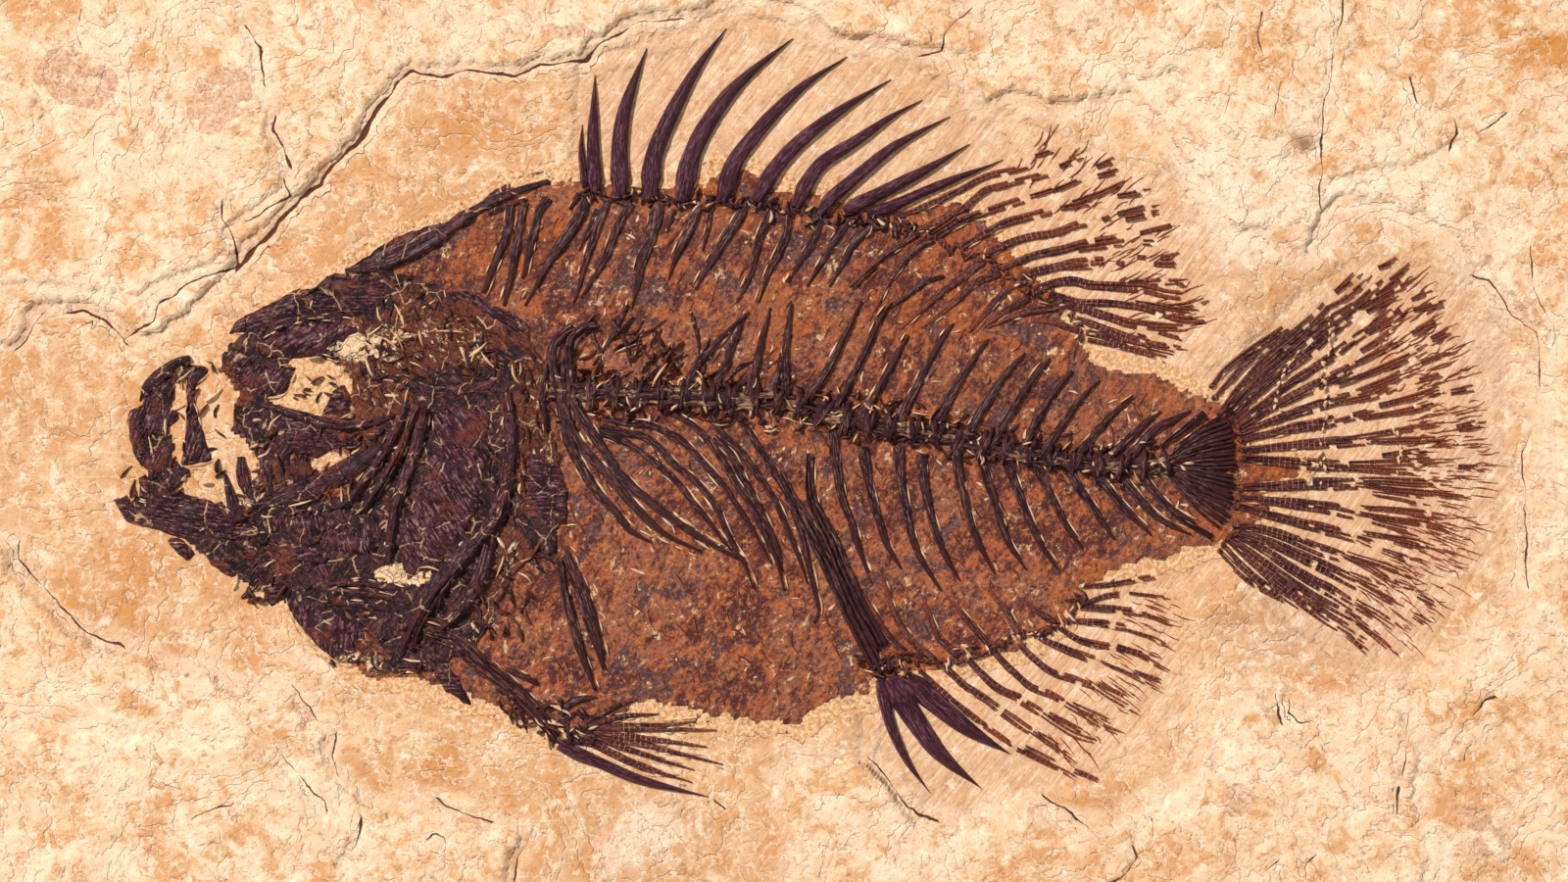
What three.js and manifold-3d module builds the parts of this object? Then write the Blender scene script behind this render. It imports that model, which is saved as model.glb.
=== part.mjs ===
// A fossil fish lying on its side in a broken slab of laminated limestone.
//
// Millimetres, +Z up. The origin is the middle of the slab's underside. The head points
// to -X and the back to +Y. The slab is split along a bedding plane at slab.bed, and the
// film of scales is inlaid flush with that plane. Every bone has a flat underside on it.

import * as THREE from 'three'
import { mergeVertices } from 'three/addons/utils/BufferGeometryUtils.js'
import Module from 'manifold-3d'

const wasm = await Module()
wasm.setup()

// Driving dimensions
const slab = { length: 172, width: 102, corner: 7, bed: 10, edgePoints: 58 }
const lamina = { root: 0.6, first: 0.8, second: 0.5, edgeInset: 1.5, edgePhase: 0.9 }
const film = { depth: 0.4, gap: 0.3, edge: 0.1 }
const clearance = 0.3

// Heights of the bones above the bed, and the width of the spines that have their full height
const bone = {
  spine: 1.2, spineWidth: 1.6, rod: 0.55, ray: 0.5, finBase: 0.6, dorsalHead: 0.9, arch: 0.9,
  centrum: 1.5, tailPlate: 0.7, tailRoot: 0.5, strand: 1, cleithrum: 1.5, girdle: 0.9, bar: 1.2,
  plate: 0.75, thinPlate: 0.6, skull: 1.1, maxilla: 1.2, ridge: 0.8, palate: 0.7
}
const plateEdge = 0.28
const rooted = 0.2
const overshoot = 1

// Heights above the underside at which the slab's broken side steps in and out
const ledges = [
  { z: 0, inset: 1.9, phase: 0.4 },
  { z: 2.1, inset: 0.7, phase: 1.1 },
  { z: 4.8, inset: 1.7, phase: 2.3 },
  { z: 5.3, inset: 0.5, phase: 2.9 },
  { z: 8.2, inset: 1.2, phase: 4.2 },
  { z: slab.bed, inset: 1.0, phase: 5.0 }
]

// Materials
const stone = { roughness: 0.9, metalness: 0 }
const limestoneMaterial = new THREE.MeshStandardMaterial({ color: 0xe9c899, ...stone })
const filmMaterial = new THREE.MeshStandardMaterial({ color: 0x8a4b2f, ...stone })
const boneMaterial = new THREE.MeshStandardMaterial({ color: 0x3e2832, roughness: 0.55 })
const rayMaterial = new THREE.MeshStandardMaterial({ color: 0x6d3830, roughness: 0.65 })

// Solids

function toSolid(geometry) {
  geometry.deleteAttribute('normal')
  geometry.deleteAttribute('uv')
  const merged = mergeVertices(geometry, 1e-4)
  return new wasm.Manifold(new wasm.Mesh({
    numProp: 3,
    vertProperties: new Float32Array(merged.attributes.position.array),
    triVerts: new Uint32Array(merged.index.array)
  }))
}

function toGeometry(solid) {
  const mesh = solid.getMesh()
  const geometry = new THREE.BufferGeometry()
  geometry.setAttribute('position', new THREE.BufferAttribute(mesh.vertProperties, 3))
  geometry.setIndex(new THREE.BufferAttribute(mesh.triVerts, 1))
  geometry.computeVertexNormals()
  return geometry
}

function shapeOf(points) {
  return new THREE.Shape(points.map(([x, y]) => new THREE.Vector2(x, y)))
}

// A straight-sided block of an outline, from z = low to z = high
function block(points, low, high) {
  const settings = { depth: high - low, bevelEnabled: false }
  const geometry = new THREE.ExtrudeGeometry(shapeOf(points), settings)
  geometry.translate(0, 0, low)
  return toSolid(geometry)
}

function valueAt(values, t) {
  const place = t * (values.length - 1)
  const low = Math.min(Math.floor(place), values.length - 2)
  return THREE.MathUtils.lerp(values[low], values[low + 1], place - low)
}

// Sections of a rod: u across from -1 to 1, v up from 0 to 1
const roofSection = [[-1, 0], [1, 0], [0, 1]]
const roundSection = [[-1, 0], [1, 0], [0.75, 0.7], [0, 1], [-0.75, 0.7]]

// A rod of varying width that lies along a curve on the bed. grow swells it on every side.
function rodSolid({ path, width, height, section = roofSection, steps }, grow) {
  const points = path.map(([x, y]) => new THREE.Vector3(x, y, 0))
  const curve = new THREE.CatmullRomCurve3(points, false, 'centripetal')
  const stations = steps ?? Math.max(2, path.length - 1)
  const settings = { depth: 1, steps: stations, bevelEnabled: false }
  const geometry = new THREE.ExtrudeGeometry(shapeOf(section), settings)
  const place = geometry.attributes.position
  const widest = Math.max(...width)
  for (let i = 0; i < place.count; i += 1) {
    const t = place.getZ(i)
    const along = curve.getTangentAt(t)
    const centre = curve.getPointAt(t).addScaledVector(along, (2 * t - 1) * grow)
    const wide = valueAt(width, t)
    const across = place.getX(i) * (wide / 2 + grow)
    const top = height * Math.sqrt(wide / widest) + grow
    const up = place.getY(i) > 0 ? place.getY(i) * top : -grow
    place.setXYZ(i, centre.x - along.y * across, centre.y + along.x * across, slab.bed + up)
  }
  return toSolid(geometry)
}

// A flat bone of a given outline with its upper edge bevelled. grow swells it on every side.
function plateSolid({ outline, height, edge = plateEdge }, grow) {
  const geometry = new THREE.ExtrudeGeometry(shapeOf(outline), {
    depth: height - edge + rooted,
    bevelThickness: edge,
    bevelSize: edge,
    bevelOffset: grow - edge,
    bevelSegments: 1
  })
  geometry.translate(0, 0, slab.bed - rooted + grow)
  return toSolid(geometry)
}

function boneSolid(forms, grow) {
  return forms
    .map((form) => (form.path ? rodSolid(form, grow) : plateSolid(form, grow)))
    .reduce((whole, form) => whole.add(form))
}

function largestOf(solid) {
  const bodies = solid.decompose()
  return bodies.reduce((best, body) => (body.volume() > best.volume() ? body : best))
}

const group = new THREE.Group()
const neighbours = []
const farCorners = [[-1, -1], [1, -1], [1, 1], [-1, 1]]
const belowBed = block(farCorners.map(([x, y]) => [x * slab.length, y * slab.width]), 0, slab.bed)

function addPiece(name, solid, material) {
  const mesh = new THREE.Mesh(toGeometry(solid), material)
  mesh.name = name
  group.add(mesh)
}

// Lays a bone on the bed, cut clear of the bones that are already there
function layBone(name, forms, material = boneMaterial) {
  const whole = boneSolid(forms, 0).subtract(belowBed)
  const clear = neighbours.reduce((left, other) => left.subtract(other), whole)
  addPiece(name, largestOf(clear), material)
  neighbours.push(boneSolid(forms, clearance))
}

// The slab

const chipWaves = [[5, 0.45], [11, 0.35], [19, 0.3], [31, 0.25]]

function chip(angle, phase) {
  const depths = chipWaves.map(([turns, depth], k) => depth * Math.sin(turns * angle + phase * (k + 1)))
  return depths.reduce((sum, depth) => sum + depth)
}

function slabOutline() {
  const [a, b, r] = [slab.length / 2, slab.width / 2, slab.corner]
  const shape = new THREE.Shape()
  shape.moveTo(-a + r, -b)
  shape.lineTo(a - r, -b)
  shape.absarc(a - r, -b + r, r, -Math.PI / 2, 0)
  shape.lineTo(a, b - r)
  shape.absarc(a - r, b - r, r, 0, Math.PI / 2)
  shape.lineTo(-a + r, b)
  shape.absarc(-a + r, b - r, r, Math.PI / 2, Math.PI)
  shape.lineTo(-a, -b + r)
  shape.absarc(-a + r, -b + r, r, Math.PI, 1.5 * Math.PI)
  return shape.getSpacedPoints(slab.edgePoints).slice(0, -1)
}

// Moves a point of the slab's outline in from the edge
function chipped(x, y, inset, phase) {
  const angle = Math.atan2(y / slab.width, x / slab.length)
  const depth = Math.max(0, inset + chip(angle, phase))
  return [x * (1 - 2 * depth / slab.length), y * (1 - 2 * depth / slab.width)]
}

function slabBody() {
  const shape = new THREE.Shape(slabOutline())
  const settings = { depth: ledges.length - 1, steps: ledges.length - 1, bevelEnabled: false }
  const geometry = new THREE.ExtrudeGeometry(shape, settings)
  const place = geometry.attributes.position
  for (let i = 0; i < place.count; i += 1) {
    const ledge = ledges[Math.round(place.getZ(i))]
    const [x, y] = chipped(place.getX(i), place.getY(i), ledge.inset, ledge.phase)
    place.setXYZ(i, x, y, ledge.z)
  }
  geometry.computeBoundingBox()
  const { min, max } = geometry.boundingBox
  geometry.translate(-(min.x + max.x) / 2, -(min.y + max.y) / 2, 0)
  geometry.scale(slab.length / (max.x - min.x), slab.width / (max.y - min.y), 1)
  return toSolid(geometry)
}

// Edge of the upper layer above, right of and below the fish, left to right and round
const upperLayer = [
  [-92, 9], [-78.3, 9.6], [-77, 11], [-76.4, 12.7], [-73.6, 13.3], [-71.8, 13.3], [-69.3, 12.6],
  [-66, 10], [-63.5, 10.7], [-62.3, 11.9], [-60, 13], [-58.5, 14.6], [-55.5, 17.7], [-53.5, 20.2],
  [-51, 22.8], [-49.5, 24.6], [-47.3, 26], [-46.3, 28.3], [-43, 30.9], [-41.5, 33.7], [-39.5, 36.5],
  [-38, 37.9], [-35, 37.2], [-32, 38], [-27.2, 37.1], [-25, 38.6], [-20.3, 38.9], [-19, 40.7],
  [-17, 41.4], [-15.5, 42.7], [-10, 43.2], [-6.5, 44.4], [-2, 44.4], [2.5, 43], [3.6, 41.7],
  [7, 40.4], [9.5, 40.5], [14.7, 39.4], [18.5, 39.2], [18.2, 36.4], [20, 33.8], [22, 34.4],
  [30, 33.9], [35.5, 35], [38.5, 31], [39.7, 28], [44.5, 23.5], [46, 20.8], [49, 20.7],
  [52, 18.3], [54, 18.4], [55, 22], [57, 24], [61.5, 23.5], [67.5, 21], [70, 17.3], [71.5, 17],
  [74, 12.5], [76.3, 11], [76.8, 5], [75.5, -5], [75.8, -14], [69.7, -19], [68.5, -23],
  [65, -24.5], [61, -24.6], [57, -26.4], [50, -25], [46, -25.1], [43, -28], [41, -33.5],
  [39, -35.3], [35, -37.2], [33.5, -38.6], [29.5, -38.8], [25, -36.3], [20.5, -37.3],
  [19, -38.3], [14, -38.2], [11, -34], [9, -32.2], [6, -31.9], [2, -32.2], [-0.2, -33.5],
  [-0.4, -38], [0.6, -45], [0.4, -56], [92, -56], [92, 56], [-92, 56]
]

const lowerLeftLayer = [
  [-92, -9.5], [-78, -10], [-78.2, -12.5], [-74, -17.5], [-71.5, -19.5], [-65, -21.3], [-62, -23],
  [-58, -23.2], [-57, -24.5], [-54, -25.5], [-50.2, -25.3], [-47.8, -28.8], [-46, -29.2],
  [-46, -33], [-42.5, -36.3], [-40.5, -37], [-38, -36], [-34, -37.6], [-26, -39.5], [-27.8, -45],
  [-28, -56], [-92, -56]
]

const secondLayers = [
  [
    [-92, 14.5], [-76, 15.5], [-66, 14], [-63, 15.5], [-55.8, 18.8], [-56.3, 21], [-53.9, 23],
    [-50.8, 25.2], [-50.8, 28.5], [-52, 33.3], [-53.3, 36.5], [-53.1, 39.9], [-55, 42.8],
    [-56, 56], [-92, 56]
  ],
  [
    [24, 56], [25.5, 41.2], [29, 40.7], [34, 36.4], [37, 36.2], [40, 37], [41.5, 34],
    [43.5, 31.2], [49, 28.5], [55.2, 25.8], [60, 26.9], [65.5, 27.6], [68, 29.6], [70.6, 28.4],
    [71.6, 24], [74.6, 21.6], [76.2, 15.5], [78.4, 11.4], [77.8, -2], [80, -8], [92, -10], [92, 56]
  ],
  [
    [16.5, -56], [16.8, -45], [15.6, -42.5], [19.5, -39.6], [24.7, -37.8], [31, -40.2],
    [34, -39.9], [40, -36.8], [43, -34.6], [44.2, -30.6], [46.2, -27.4], [50.5, -26.6],
    [52.8, -28.4], [56, -28.9], [60.5, -26.6], [63.5, -27], [65.5, -31], [64.8, -36],
    [66.2, -42], [66, -56]
  ],
  [
    [-92, -30], [-70, -29], [-62, -30.5], [-55, -30.3], [-51.4, -31.6], [-46.6, -38],
    [-43, -40], [-44.5, -43], [-44, -56], [-92, -56]
  ]
]

// Outline of the film of scales, from the nape over the back and round the belly
const filmOutline = [
  [-40, 17], [-36, 20.5], [-32, 23.3], [-28, 25.8], [-21, 27.2], [-14, 26], [-4, 25.5], [2, 24.5],
  [8, 23.5], [12, 23], [16, 25.5], [20, 25], [24, 22.5], [28, 20], [29, 16.5], [29.5, 13.5],
  [32, 8.5], [38, 7.5], [43.5, 5], [46, 1], [47, -2], [46, -6], [45, -9], [44, -11.5],
  [38, -12.8], [34, -14], [31, -15.5], [29, -19], [24, -22], [17, -24], [10, -25], [9, -27],
  [7, -26.5], [3.5, -28], [2, -29.5], [-6, -29], [-11, -28], [-14, -27.5], [-20, -30],
  [-24, -30], [-28.4, -28.3], [-34, -26], [-37.5, -25], [-43, -24.5], [-46, -22.5], [-50, -18],
  [-51.2, -16], [-52.6, -12.8], [-53.6, -9.6], [-53.4, -6.6], [-54.6, -3], [-53.4, 0],
  [-54, 3.4], [-55.6, 6], [-57.2, 8.6], [-56.4, 10.8], [-53.8, 12.8], [-50.2, 14.8],
  [-46.8, 16.6]
]

function addSlab() {
  const top = slab.bed + lamina.first
  const rim = slabOutline().map(({ x, y }) => chipped(x, y, lamina.edgeInset, lamina.edgePhase))
  const inEdge = block(rim, 0, top + lamina.second + overshoot)
  const root = slab.bed - lamina.root
  const layers = [upperLayer, lowerLeftLayer].map((outline) => block(outline, root, top))
  const upper = secondLayers.map((outline) => {
    return block(outline, top - lamina.root, top + lamina.second)
  })
  const raised = [...layers, ...upper].reduce((whole, layer) => whole.add(layer))
  const pocket = block(filmOutline, slab.bed - film.depth, slab.bed + overshoot)
  const body = slabBody().add(raised.intersect(inEdge)).subtract(pocket)
  addPiece('limestone_slab', body, limestoneMaterial)
}

// The film is the pocket's outline less the gap round it
function addFilm() {
  const settings = {
    depth: film.depth,
    bevelThickness: film.edge,
    bevelSize: film.edge,
    bevelOffset: -film.edge - film.gap,
    bevelSegments: 1
  }
  const geometry = new THREE.ExtrudeGeometry(shapeOf(filmOutline), settings)
  geometry.translate(0, 0, slab.bed - film.depth)
  const depthOnly = block(filmOutline, slab.bed - film.depth, slab.bed)
  addPiece('scale_film', toSolid(geometry).intersect(depthOnly), filmMaterial)
}

// Fin spines, from base to tip: path and greatest width

const dorsalSpines = [
  { wide: 0.7, path: [[-20.4, 26.9], [-20.7, 29.6], [-20.6, 32.3]] },
  { wide: 1.35, path: [[-19.3, 26.6], [-19.5, 31], [-19.4, 34], [-19.3, 37.4]] },
  { wide: 1.7, path: [[-16.7, 26.2], [-16.8, 29.7], [-16.4, 33.2], [-15.5, 36.2], [-14, 40.1]] },
  { wide: 1.75, path: [[-13.7, 25.8], [-13.3, 29], [-12.1, 32.1], [-10.6, 35.1], [-5.9, 42.1]] },
  { wide: 1.8, path: [[-10.3, 25.5], [-9.5, 28.9], [-8.1, 31.9], [-5.8, 35.2], [-3.3, 37.7], [0.9, 41.1]] },
  { wide: 1.6, path: [[-6.1, 25.5], [-5, 28.5], [-3, 31.2], [-0.6, 33.9], [2.3, 36.5], [6.4, 39.2]] },
  { wide: 1.5, path: [[-2.4, 25.5], [-1, 27.7], [1, 30], [3.6, 32.2], [6.6, 34.3], [10.9, 36.9]] },
  { wide: 1.4, path: [[1.6, 24.8], [2.5, 26.6], [4, 28.5], [7.3, 30.6], [10.8, 33], [14.1, 34.8]] },
  { wide: 1.3, path: [[4.2, 23.9], [5, 24.9], [7.3, 26.9], [10.7, 29.7], [13.2, 31.2], [16.9, 33.1]] },
  { wide: 1.35, path: [[7.1, 23.9], [9.5, 25.1], [12.4, 26.6], [15.4, 28.2], [18.9, 30.3]] },
  { wide: 1.1, path: [[9.5, 23.4], [10.7, 23.8], [14, 25.3], [17.3, 26.7], [22.3, 28.7]] }
]

const analSpines = [
  { wide: 1.1, path: [[10, -25.8], [10.9, -29], [12.6, -32.7], [14.9, -35.9]] },
  { wide: 2.2, path: [[11.4, -25.1], [13.6, -28.8], [16.1, -32.1], [20.1, -35.4]] },
  { wide: 2, path: [[13.3, -24.9], [17, -28], [20.6, -30.5], [23, -31.9]] }
]

const pelvicSpine = { wide: 1.1, path: [[-22, -31.5], [-18.6, -32.9], [-14.5, -34.6], [-7.7, -36.3]] }

function spine({ path, wide }) {
  const width = [0.8, 1, 1, 0.95, 0.8, 0.55, 0.12].map((share) => share * wide)
  const height = bone.spine * Math.sqrt(wide / bone.spineWidth)
  return { path, width, height, section: roundSection, steps: path.length + 2 }
}

// Rods, rays and bars as short lists: path, width at its ends, height

function rods(paths, width, height) {
  return paths.map((path) => ({ path, width, height }))
}

const dorsalHeads = {
  path: [
    [-20.6, 25.1], [-17, 25], [-14, 24.8], [-10.5, 24.5], [-6.5, 24.5], [-2.8, 24.4],
    [1, 23.6], [4.6, 22.5], [8, 22.4], [10, 22.3], [11, 22]
  ],
  width: [1.1, 0.7, 1.3, 0.7, 1.2, 0.7, 1.3, 0.7, 1.3, 0.7, 1.3, 0.7, 1.3, 0.7, 1.2, 0.7, 1.1],
  height: bone.dorsalHead,
  steps: 16
}

const dorsalRods = [
  [[-20, 25.1], [-21.9, 21.2], [-24, 18.2], [-26.3, 13.8]],
  [[-17.5, 24.8], [-19.1, 20.8], [-20.6, 17], [-21.5, 13.9]],
  [[-15.5, 24.5], [-17.3, 21.2], [-20.4, 14.9]],
  [[-12.8, 24.5], [-13.7, 20.8], [-14.7, 17], [-15.5, 13.5]],
  [[-8.6, 24.3], [-9.9, 21.1], [-10.9, 18.7], [-12, 16]],
  [[-7.4, 24.3], [-8.2, 19.7]],
  [[-3.8, 24.3], [-5.2, 21.8], [-7.4, 18.1], [-9.1, 15.3]],
  [[-1.4, 23.9], [-2.7, 19.7], [-3.8, 16.6], [-5.5, 13.7]],
  [[0.7, 23.4], [-0.5, 18.9], [-1.7, 16.2], [-2.9, 13.7]],
  [[3.9, 22.6], [2.4, 19.3], [0.2, 15.7]],
  [[6.4, 22.3], [4.9, 19.9], [2.9, 17], [2, 15.1]],
  [[9.1, 22.2], [7.4, 20.3], [5.9, 18], [4.4, 15.3]]
]

const softDorsalBase = {
  path: [
    [12, 22.3], [13.4, 21.3], [15.6, 20.4], [18, 19.3], [20.1, 18.6], [22, 17.2], [24, 16.1],
    [25.8, 15.2], [27.4, 14.6], [28.6, 13.8], [29.8, 12.2], [30.6, 10.9]
  ],
  width: [0.9, 0.7, 1, 0.7, 1, 0.7, 1, 0.7, 1, 0.7, 0.9],
  height: bone.finBase,
  steps: 10
}

const softDorsalRods = [
  [[13.4, 21], [9.7, 18.5], [6.6, 15.7]],
  [[15.2, 20.5], [13.5, 19.7], [11, 16.8], [9.5, 13.9], [8.7, 12.2]],
  [[20.4, 18.4], [18.2, 16.8], [14.9, 14.2], [11.9, 11.5]],
  [[22, 17.1], [19.3, 16.1], [17.2, 14], [14, 11.5]],
  [[24.2, 16], [23.2, 15.8], [20.9, 13.5], [18.8, 11]],
  [[28.4, 13.8], [27.4, 13.5], [23.7, 12.8], [20.7, 11.5]]
]

const softDorsalRays = [
  [[11.8, 22.7], [13.3, 23.5], [18.2, 25.7], [21.5, 27.2], [25.2, 28.1]],
  [[13.2, 21.4], [15.7, 22.5], [18.2, 23.7], [20.3, 25.5], [26.8, 27.3], [30.8, 29]],
  [[15.3, 20.6], [19, 22.8], [22.8, 24.1], [27.6, 25.4], [30.4, 26.6], [33.6, 28.4]],
  [[18.2, 19.5], [20.9, 21.3], [23, 22.4], [26.2, 23.1], [32.2, 25.1], [35.2, 26.5]],
  [[20.2, 18.8], [22.8, 20.1], [27.6, 21.2], [32, 22.1], [38.2, 24.3]],
  [[22.1, 17.4], [25.5, 18.9], [28.3, 19.4], [34.5, 20.5], [41, 22.1]],
  [[24.2, 16.2], [25.1, 17.2], [28.1, 17.8], [32.9, 18.2], [41, 18.2]],
  [[25.8, 15.3], [29.5, 16.3], [34.5, 15.7], [38, 15.6], [41.2, 14.8]],
  [[27.4, 14.8], [30.2, 14.1], [36.9, 13.5], [42.6, 12.5]],
  [[36.9, 13.5], [43.5, 14.6]],
  [[28.3, 14.2], [30.6, 13.3], [35.7, 11.8], [42.6, 11.5]],
  [[29.9, 12.3], [34.5, 10.8], [38, 9.6], [41.2, 9.2]],
  [[30.6, 11.1], [33.6, 9.6], [36.8, 8.7]]
]

const supraneurals = [
  [[-28, 24.1], [-28.3, 21.6], [-29.4, 18.4], [-30.6, 15.3]],
  [[-26.5, 24.4], [-27.3, 20.1], [-27.8, 17], [-28.5, 13.8]],
  [[-24, 24.8], [-25.2, 23], [-25.8, 20.1], [-26.6, 16.6]]
]

// Vertebral column

const columnAxis = [
  [-19, 5], [-12, 4.6], [-4, 4.1], [1, 4], [4.8, 2.6], [9, 1.7], [14.7, 0.85], [18.9, 0],
  [23.2, -1.1], [27.4, -1.7], [31.6, -2.3], [35.9, -2.5], [38.6, -2.4]
]

const column = {
  path: columnAxis,
  width: Array.from({ length: 43 }, (_, k) => (k % 2 ? 1.35 : 2.35 - 0.008 * k)),
  height: bone.centrum,
  section: roundSection,
  steps: 42
}

const neuralSpines = [
  [[-10.6, 4.6], [-9, 7], [-4.4, 12.4]],
  [[-7.4, 4.4], [-5.2, 9.5], [-3.6, 13.2]],
  [[-3.7, 4.2], [-2.3, 10.1], [-1.3, 13.4]],
  [[-0.4, 4], [0.1, 9.7], [0.8, 14.1]],
  [[2, 3.8], [5.2, 8.9], [6.6, 11.2], [7.9, 14.3]],
  [[4.9, 2.8], [8.1, 8.7], [9.7, 11.6], [11, 14.1]],
  [[7.8, 2.2], [10.8, 7.5], [12.7, 10.8]],
  [[11.4, 1.4], [13.8, 6.5], [17.3, 12]],
  [[15, 0.9], [17.2, 5.1], [20.9, 10.4]],
  [[18.4, 0.2], [21.5, 5.4], [24.6, 9]],
  [[21, -0.6], [24, 4.5], [27.1, 8.5]],
  [[24.2, -1.2], [26.5, 3.7], [29.4, 7.2]],
  [[26.3, -1.5], [29.1, 2.8], [32.2, 6.2]],
  [[29.6, -1.9], [32.5, 1.7], [35.7, 4.4]],
  [[32.3, -2.2], [35.9, 0.6], [38.5, 3]],
  [[34.7, -2.3], [37.8, 1.1], [41.5, 3.1]]
]

const haemalSpines = [
  [[4.8, 2.6], [5.3, -2.3], [6, -6], [7.5, -10.6], [8.3, -13.2]],
  [[7.9, 1.8], [8.7, -4.7], [9.9, -8.6], [11.9, -13]],
  [[11.3, 1.3], [12.1, -4.7], [12.6, -7.7], [13.8, -11.8], [16, -15.2]],
  [[13.6, 0.9], [14.4, -4.8], [15.5, -9.3], [17.9, -14.2]],
  [[17.4, 0.2], [18.4, -5.9], [19.5, -9.9], [21.5, -13.5]],
  [[19.8, -0.4], [21.7, -7], [22.9, -10.4], [24.7, -13.1]],
  [[22.4, -1.1], [24.6, -7], [26, -10.2], [27.8, -13]],
  [[25.4, -1.6], [27.7, -6.5], [28.8, -8.7], [30.4, -10.9]],
  [[28.6, -2], [31, -6.2], [33.7, -10]],
  [[31.2, -2.4], [35, -7], [37.5, -9.6]],
  [[33.6, -2.6], [37.8, -7.6], [41.5, -9.6]],
  [[36, -2.8], [38.6, -6], [41.9, -8.4]]
]

const ribPaths = [
  [[-18.8, 0.6], [-16.4, -0.3], [-14, -1.7], [-11, -4.2], [-9.3, -6.4], [-7.7, -8.4], [-6.1, -10.4]],
  [[-18.8, 1.6], [-16.4, 1], [-14.4, 0.4], [-9.1, -4], [-7, -6.8], [-5.7, -9.3], [-3.1, -15]],
  [[-18.6, 2.8], [-14, 2], [-10.6, 0.2], [-8.4, -1.9], [-4.9, -6.4], [-2.9, -9.7], [-1.5, -12.5]],
  [[-11.3, 3], [-9.3, 1.6], [-6.4, -1.5], [-4.5, -4.2], [-2.5, -7.6], [-1, -11], [0, -15.2]],
  [[-8, 2.8], [-5.8, 0.4], [-3.9, -1.6], [-1.4, -5], [0.4, -8.6], [2, -13.4]],
  [[-4.6, 2.6], [-2.6, -0.6], [-0.6, -3.6], [1, -7], [2.1, -10.6], [3.5, -17.4], [3, -18.6]]
]

// Tail

const hypurals = [
  [[38.9, -2.1], [42.4, 0.2], [45.6, 1.4]],
  [[38.9, -2.2], [42.6, -0.9], [45.8, -0.2]],
  [[38.9, -2.4], [42.6, -2.2], [45.9, -2]],
  [[38.9, -2.6], [42.4, -3.6], [45.6, -4.4]],
  [[38.9, -2.8], [42, -4.8], [45.2, -6.4]],
  [[38.9, -3], [41.6, -5.8], [44.8, -8.2]]
]

const upperTailRays = [
  [[44.3, 3.2], [46.6, 6.9], [48.8, 9.4], [51, 11.4]],
  [[44.6, 3], [48.7, 7.9], [51.6, 10.5], [55.3, 13.8], [60, 16.9]],
  [[45, 2.8], [49.2, 7], [52.2, 9.7], [58.5, 14], [61.4, 16.4]],
  [[45.6, 2.6], [49.8, 6.2], [55.3, 10.8], [58.5, 13.4], [65.1, 16.8]],
  [[46.3, 2.4], [50.9, 5.3], [56.1, 8.8], [60.9, 12.5], [63.1, 13.8], [67.5, 14.2]],
  [[46.6, 1.9], [50.5, 3.8], [55.3, 6], [60, 8.6], [62.9, 10.3]],
  [[55.3, 5.9], [59.6, 6.9], [65.7, 9.7]],
  [[46.7, 1.2], [50.9, 2.5], [56.1, 3.9], [61.8, 6], [67.5, 6.8]],
  [[46.8, 0.5], [52.2, 1.3], [58.1, 2.4], [64, 4.2], [67.2, 5.2]],
  [[46.9, -0.4], [50.9, -0.5], [57.4, 0], [63.8, 0.8], [67.7, 1.8]],
  [[47, -1.4], [50.9, -2], [57.4, -2.3], [61.8, -2.4], [68.3, -2]]
]

// The knobs at the roots of the upper rays
const upperTailRoot = {
  path: [[45, 2.9], [46.5, 1.7], [47, 0], [47.1, -1.6]],
  width: [0.9, 0.9],
  height: bone.tailRoot
}

const middleTailRays = [
  [[46.7, -4.9], [52.2, -4.4], [58.5, -4.3], [65.1, -5.3], [70.5, -6]],
  [[46.6, -5.5], [53.1, -6.5], [58.5, -7.6], [66.2, -8.8], [69, -9.8]],
  [[46.4, -6.3], [50.5, -7.9], [58.5, -9.9], [65.9, -11.2]]
]

const lowerTailRays = [
  [[46.1, -8.8], [51.3, -9.7], [57, -11.6], [61.8, -14], [64, -15.1]],
  [[46, -9.3], [52, -11.5], [58.5, -14.5], [63.8, -17.3]],
  [[45.9, -9.7], [52.2, -13.3], [58.5, -17.1], [60.9, -18.4]],
  [[45.4, -10], [52.2, -14.9], [58.5, -18.5], [62.9, -22.6]],
  [[45.1, -10.2], [49.2, -13.6], [55.3, -18], [59.6, -20.6]],
  [[44.6, -10.6], [47.2, -14], [50.5, -15.8]]
]

// Anal fin

const firstAnalStrands = [
  [[0.3, -4.2], [2.3, -7.9], [4.6, -12.8], [7.2, -18.4], [9.6, -23.7]],
  [[2.6, -1.6], [2.8, -4.7], [4.9, -10.1], [7.5, -16.4], [9.8, -21.4]]
]

const analBase = {
  path: [
    [10.9, -22.6], [13, -22], [16, -22.6], [18.4, -21.7], [21.2, -21], [23.7, -19.9],
    [26, -19.4], [28, -18.5], [29.6, -17.4], [30.5, -15.2]
  ],
  width: [1, 0.7, 1.1, 0.7, 1.1, 0.7, 1.1, 0.7, 1, 0.7],
  height: bone.finBase,
  steps: 9
}

const analRods = [
  [[12.4, -22.1], [10.9, -20.3], [9.4, -17.4], [8.4, -15.2]],
  [[15.2, -22.4], [13.3, -20.6], [11.4, -17.9], [10, -13.6]],
  [[17.8, -22], [15.7, -19.8], [14, -15.6]],
  [[21, -20.9], [19.2, -18.8], [16.6, -15.8]],
  [[24, -19.7], [22.6, -17.2], [20.6, -15]],
  [[27.6, -18.6], [25.6, -17.2], [23.8, -16.1]]
]

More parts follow.
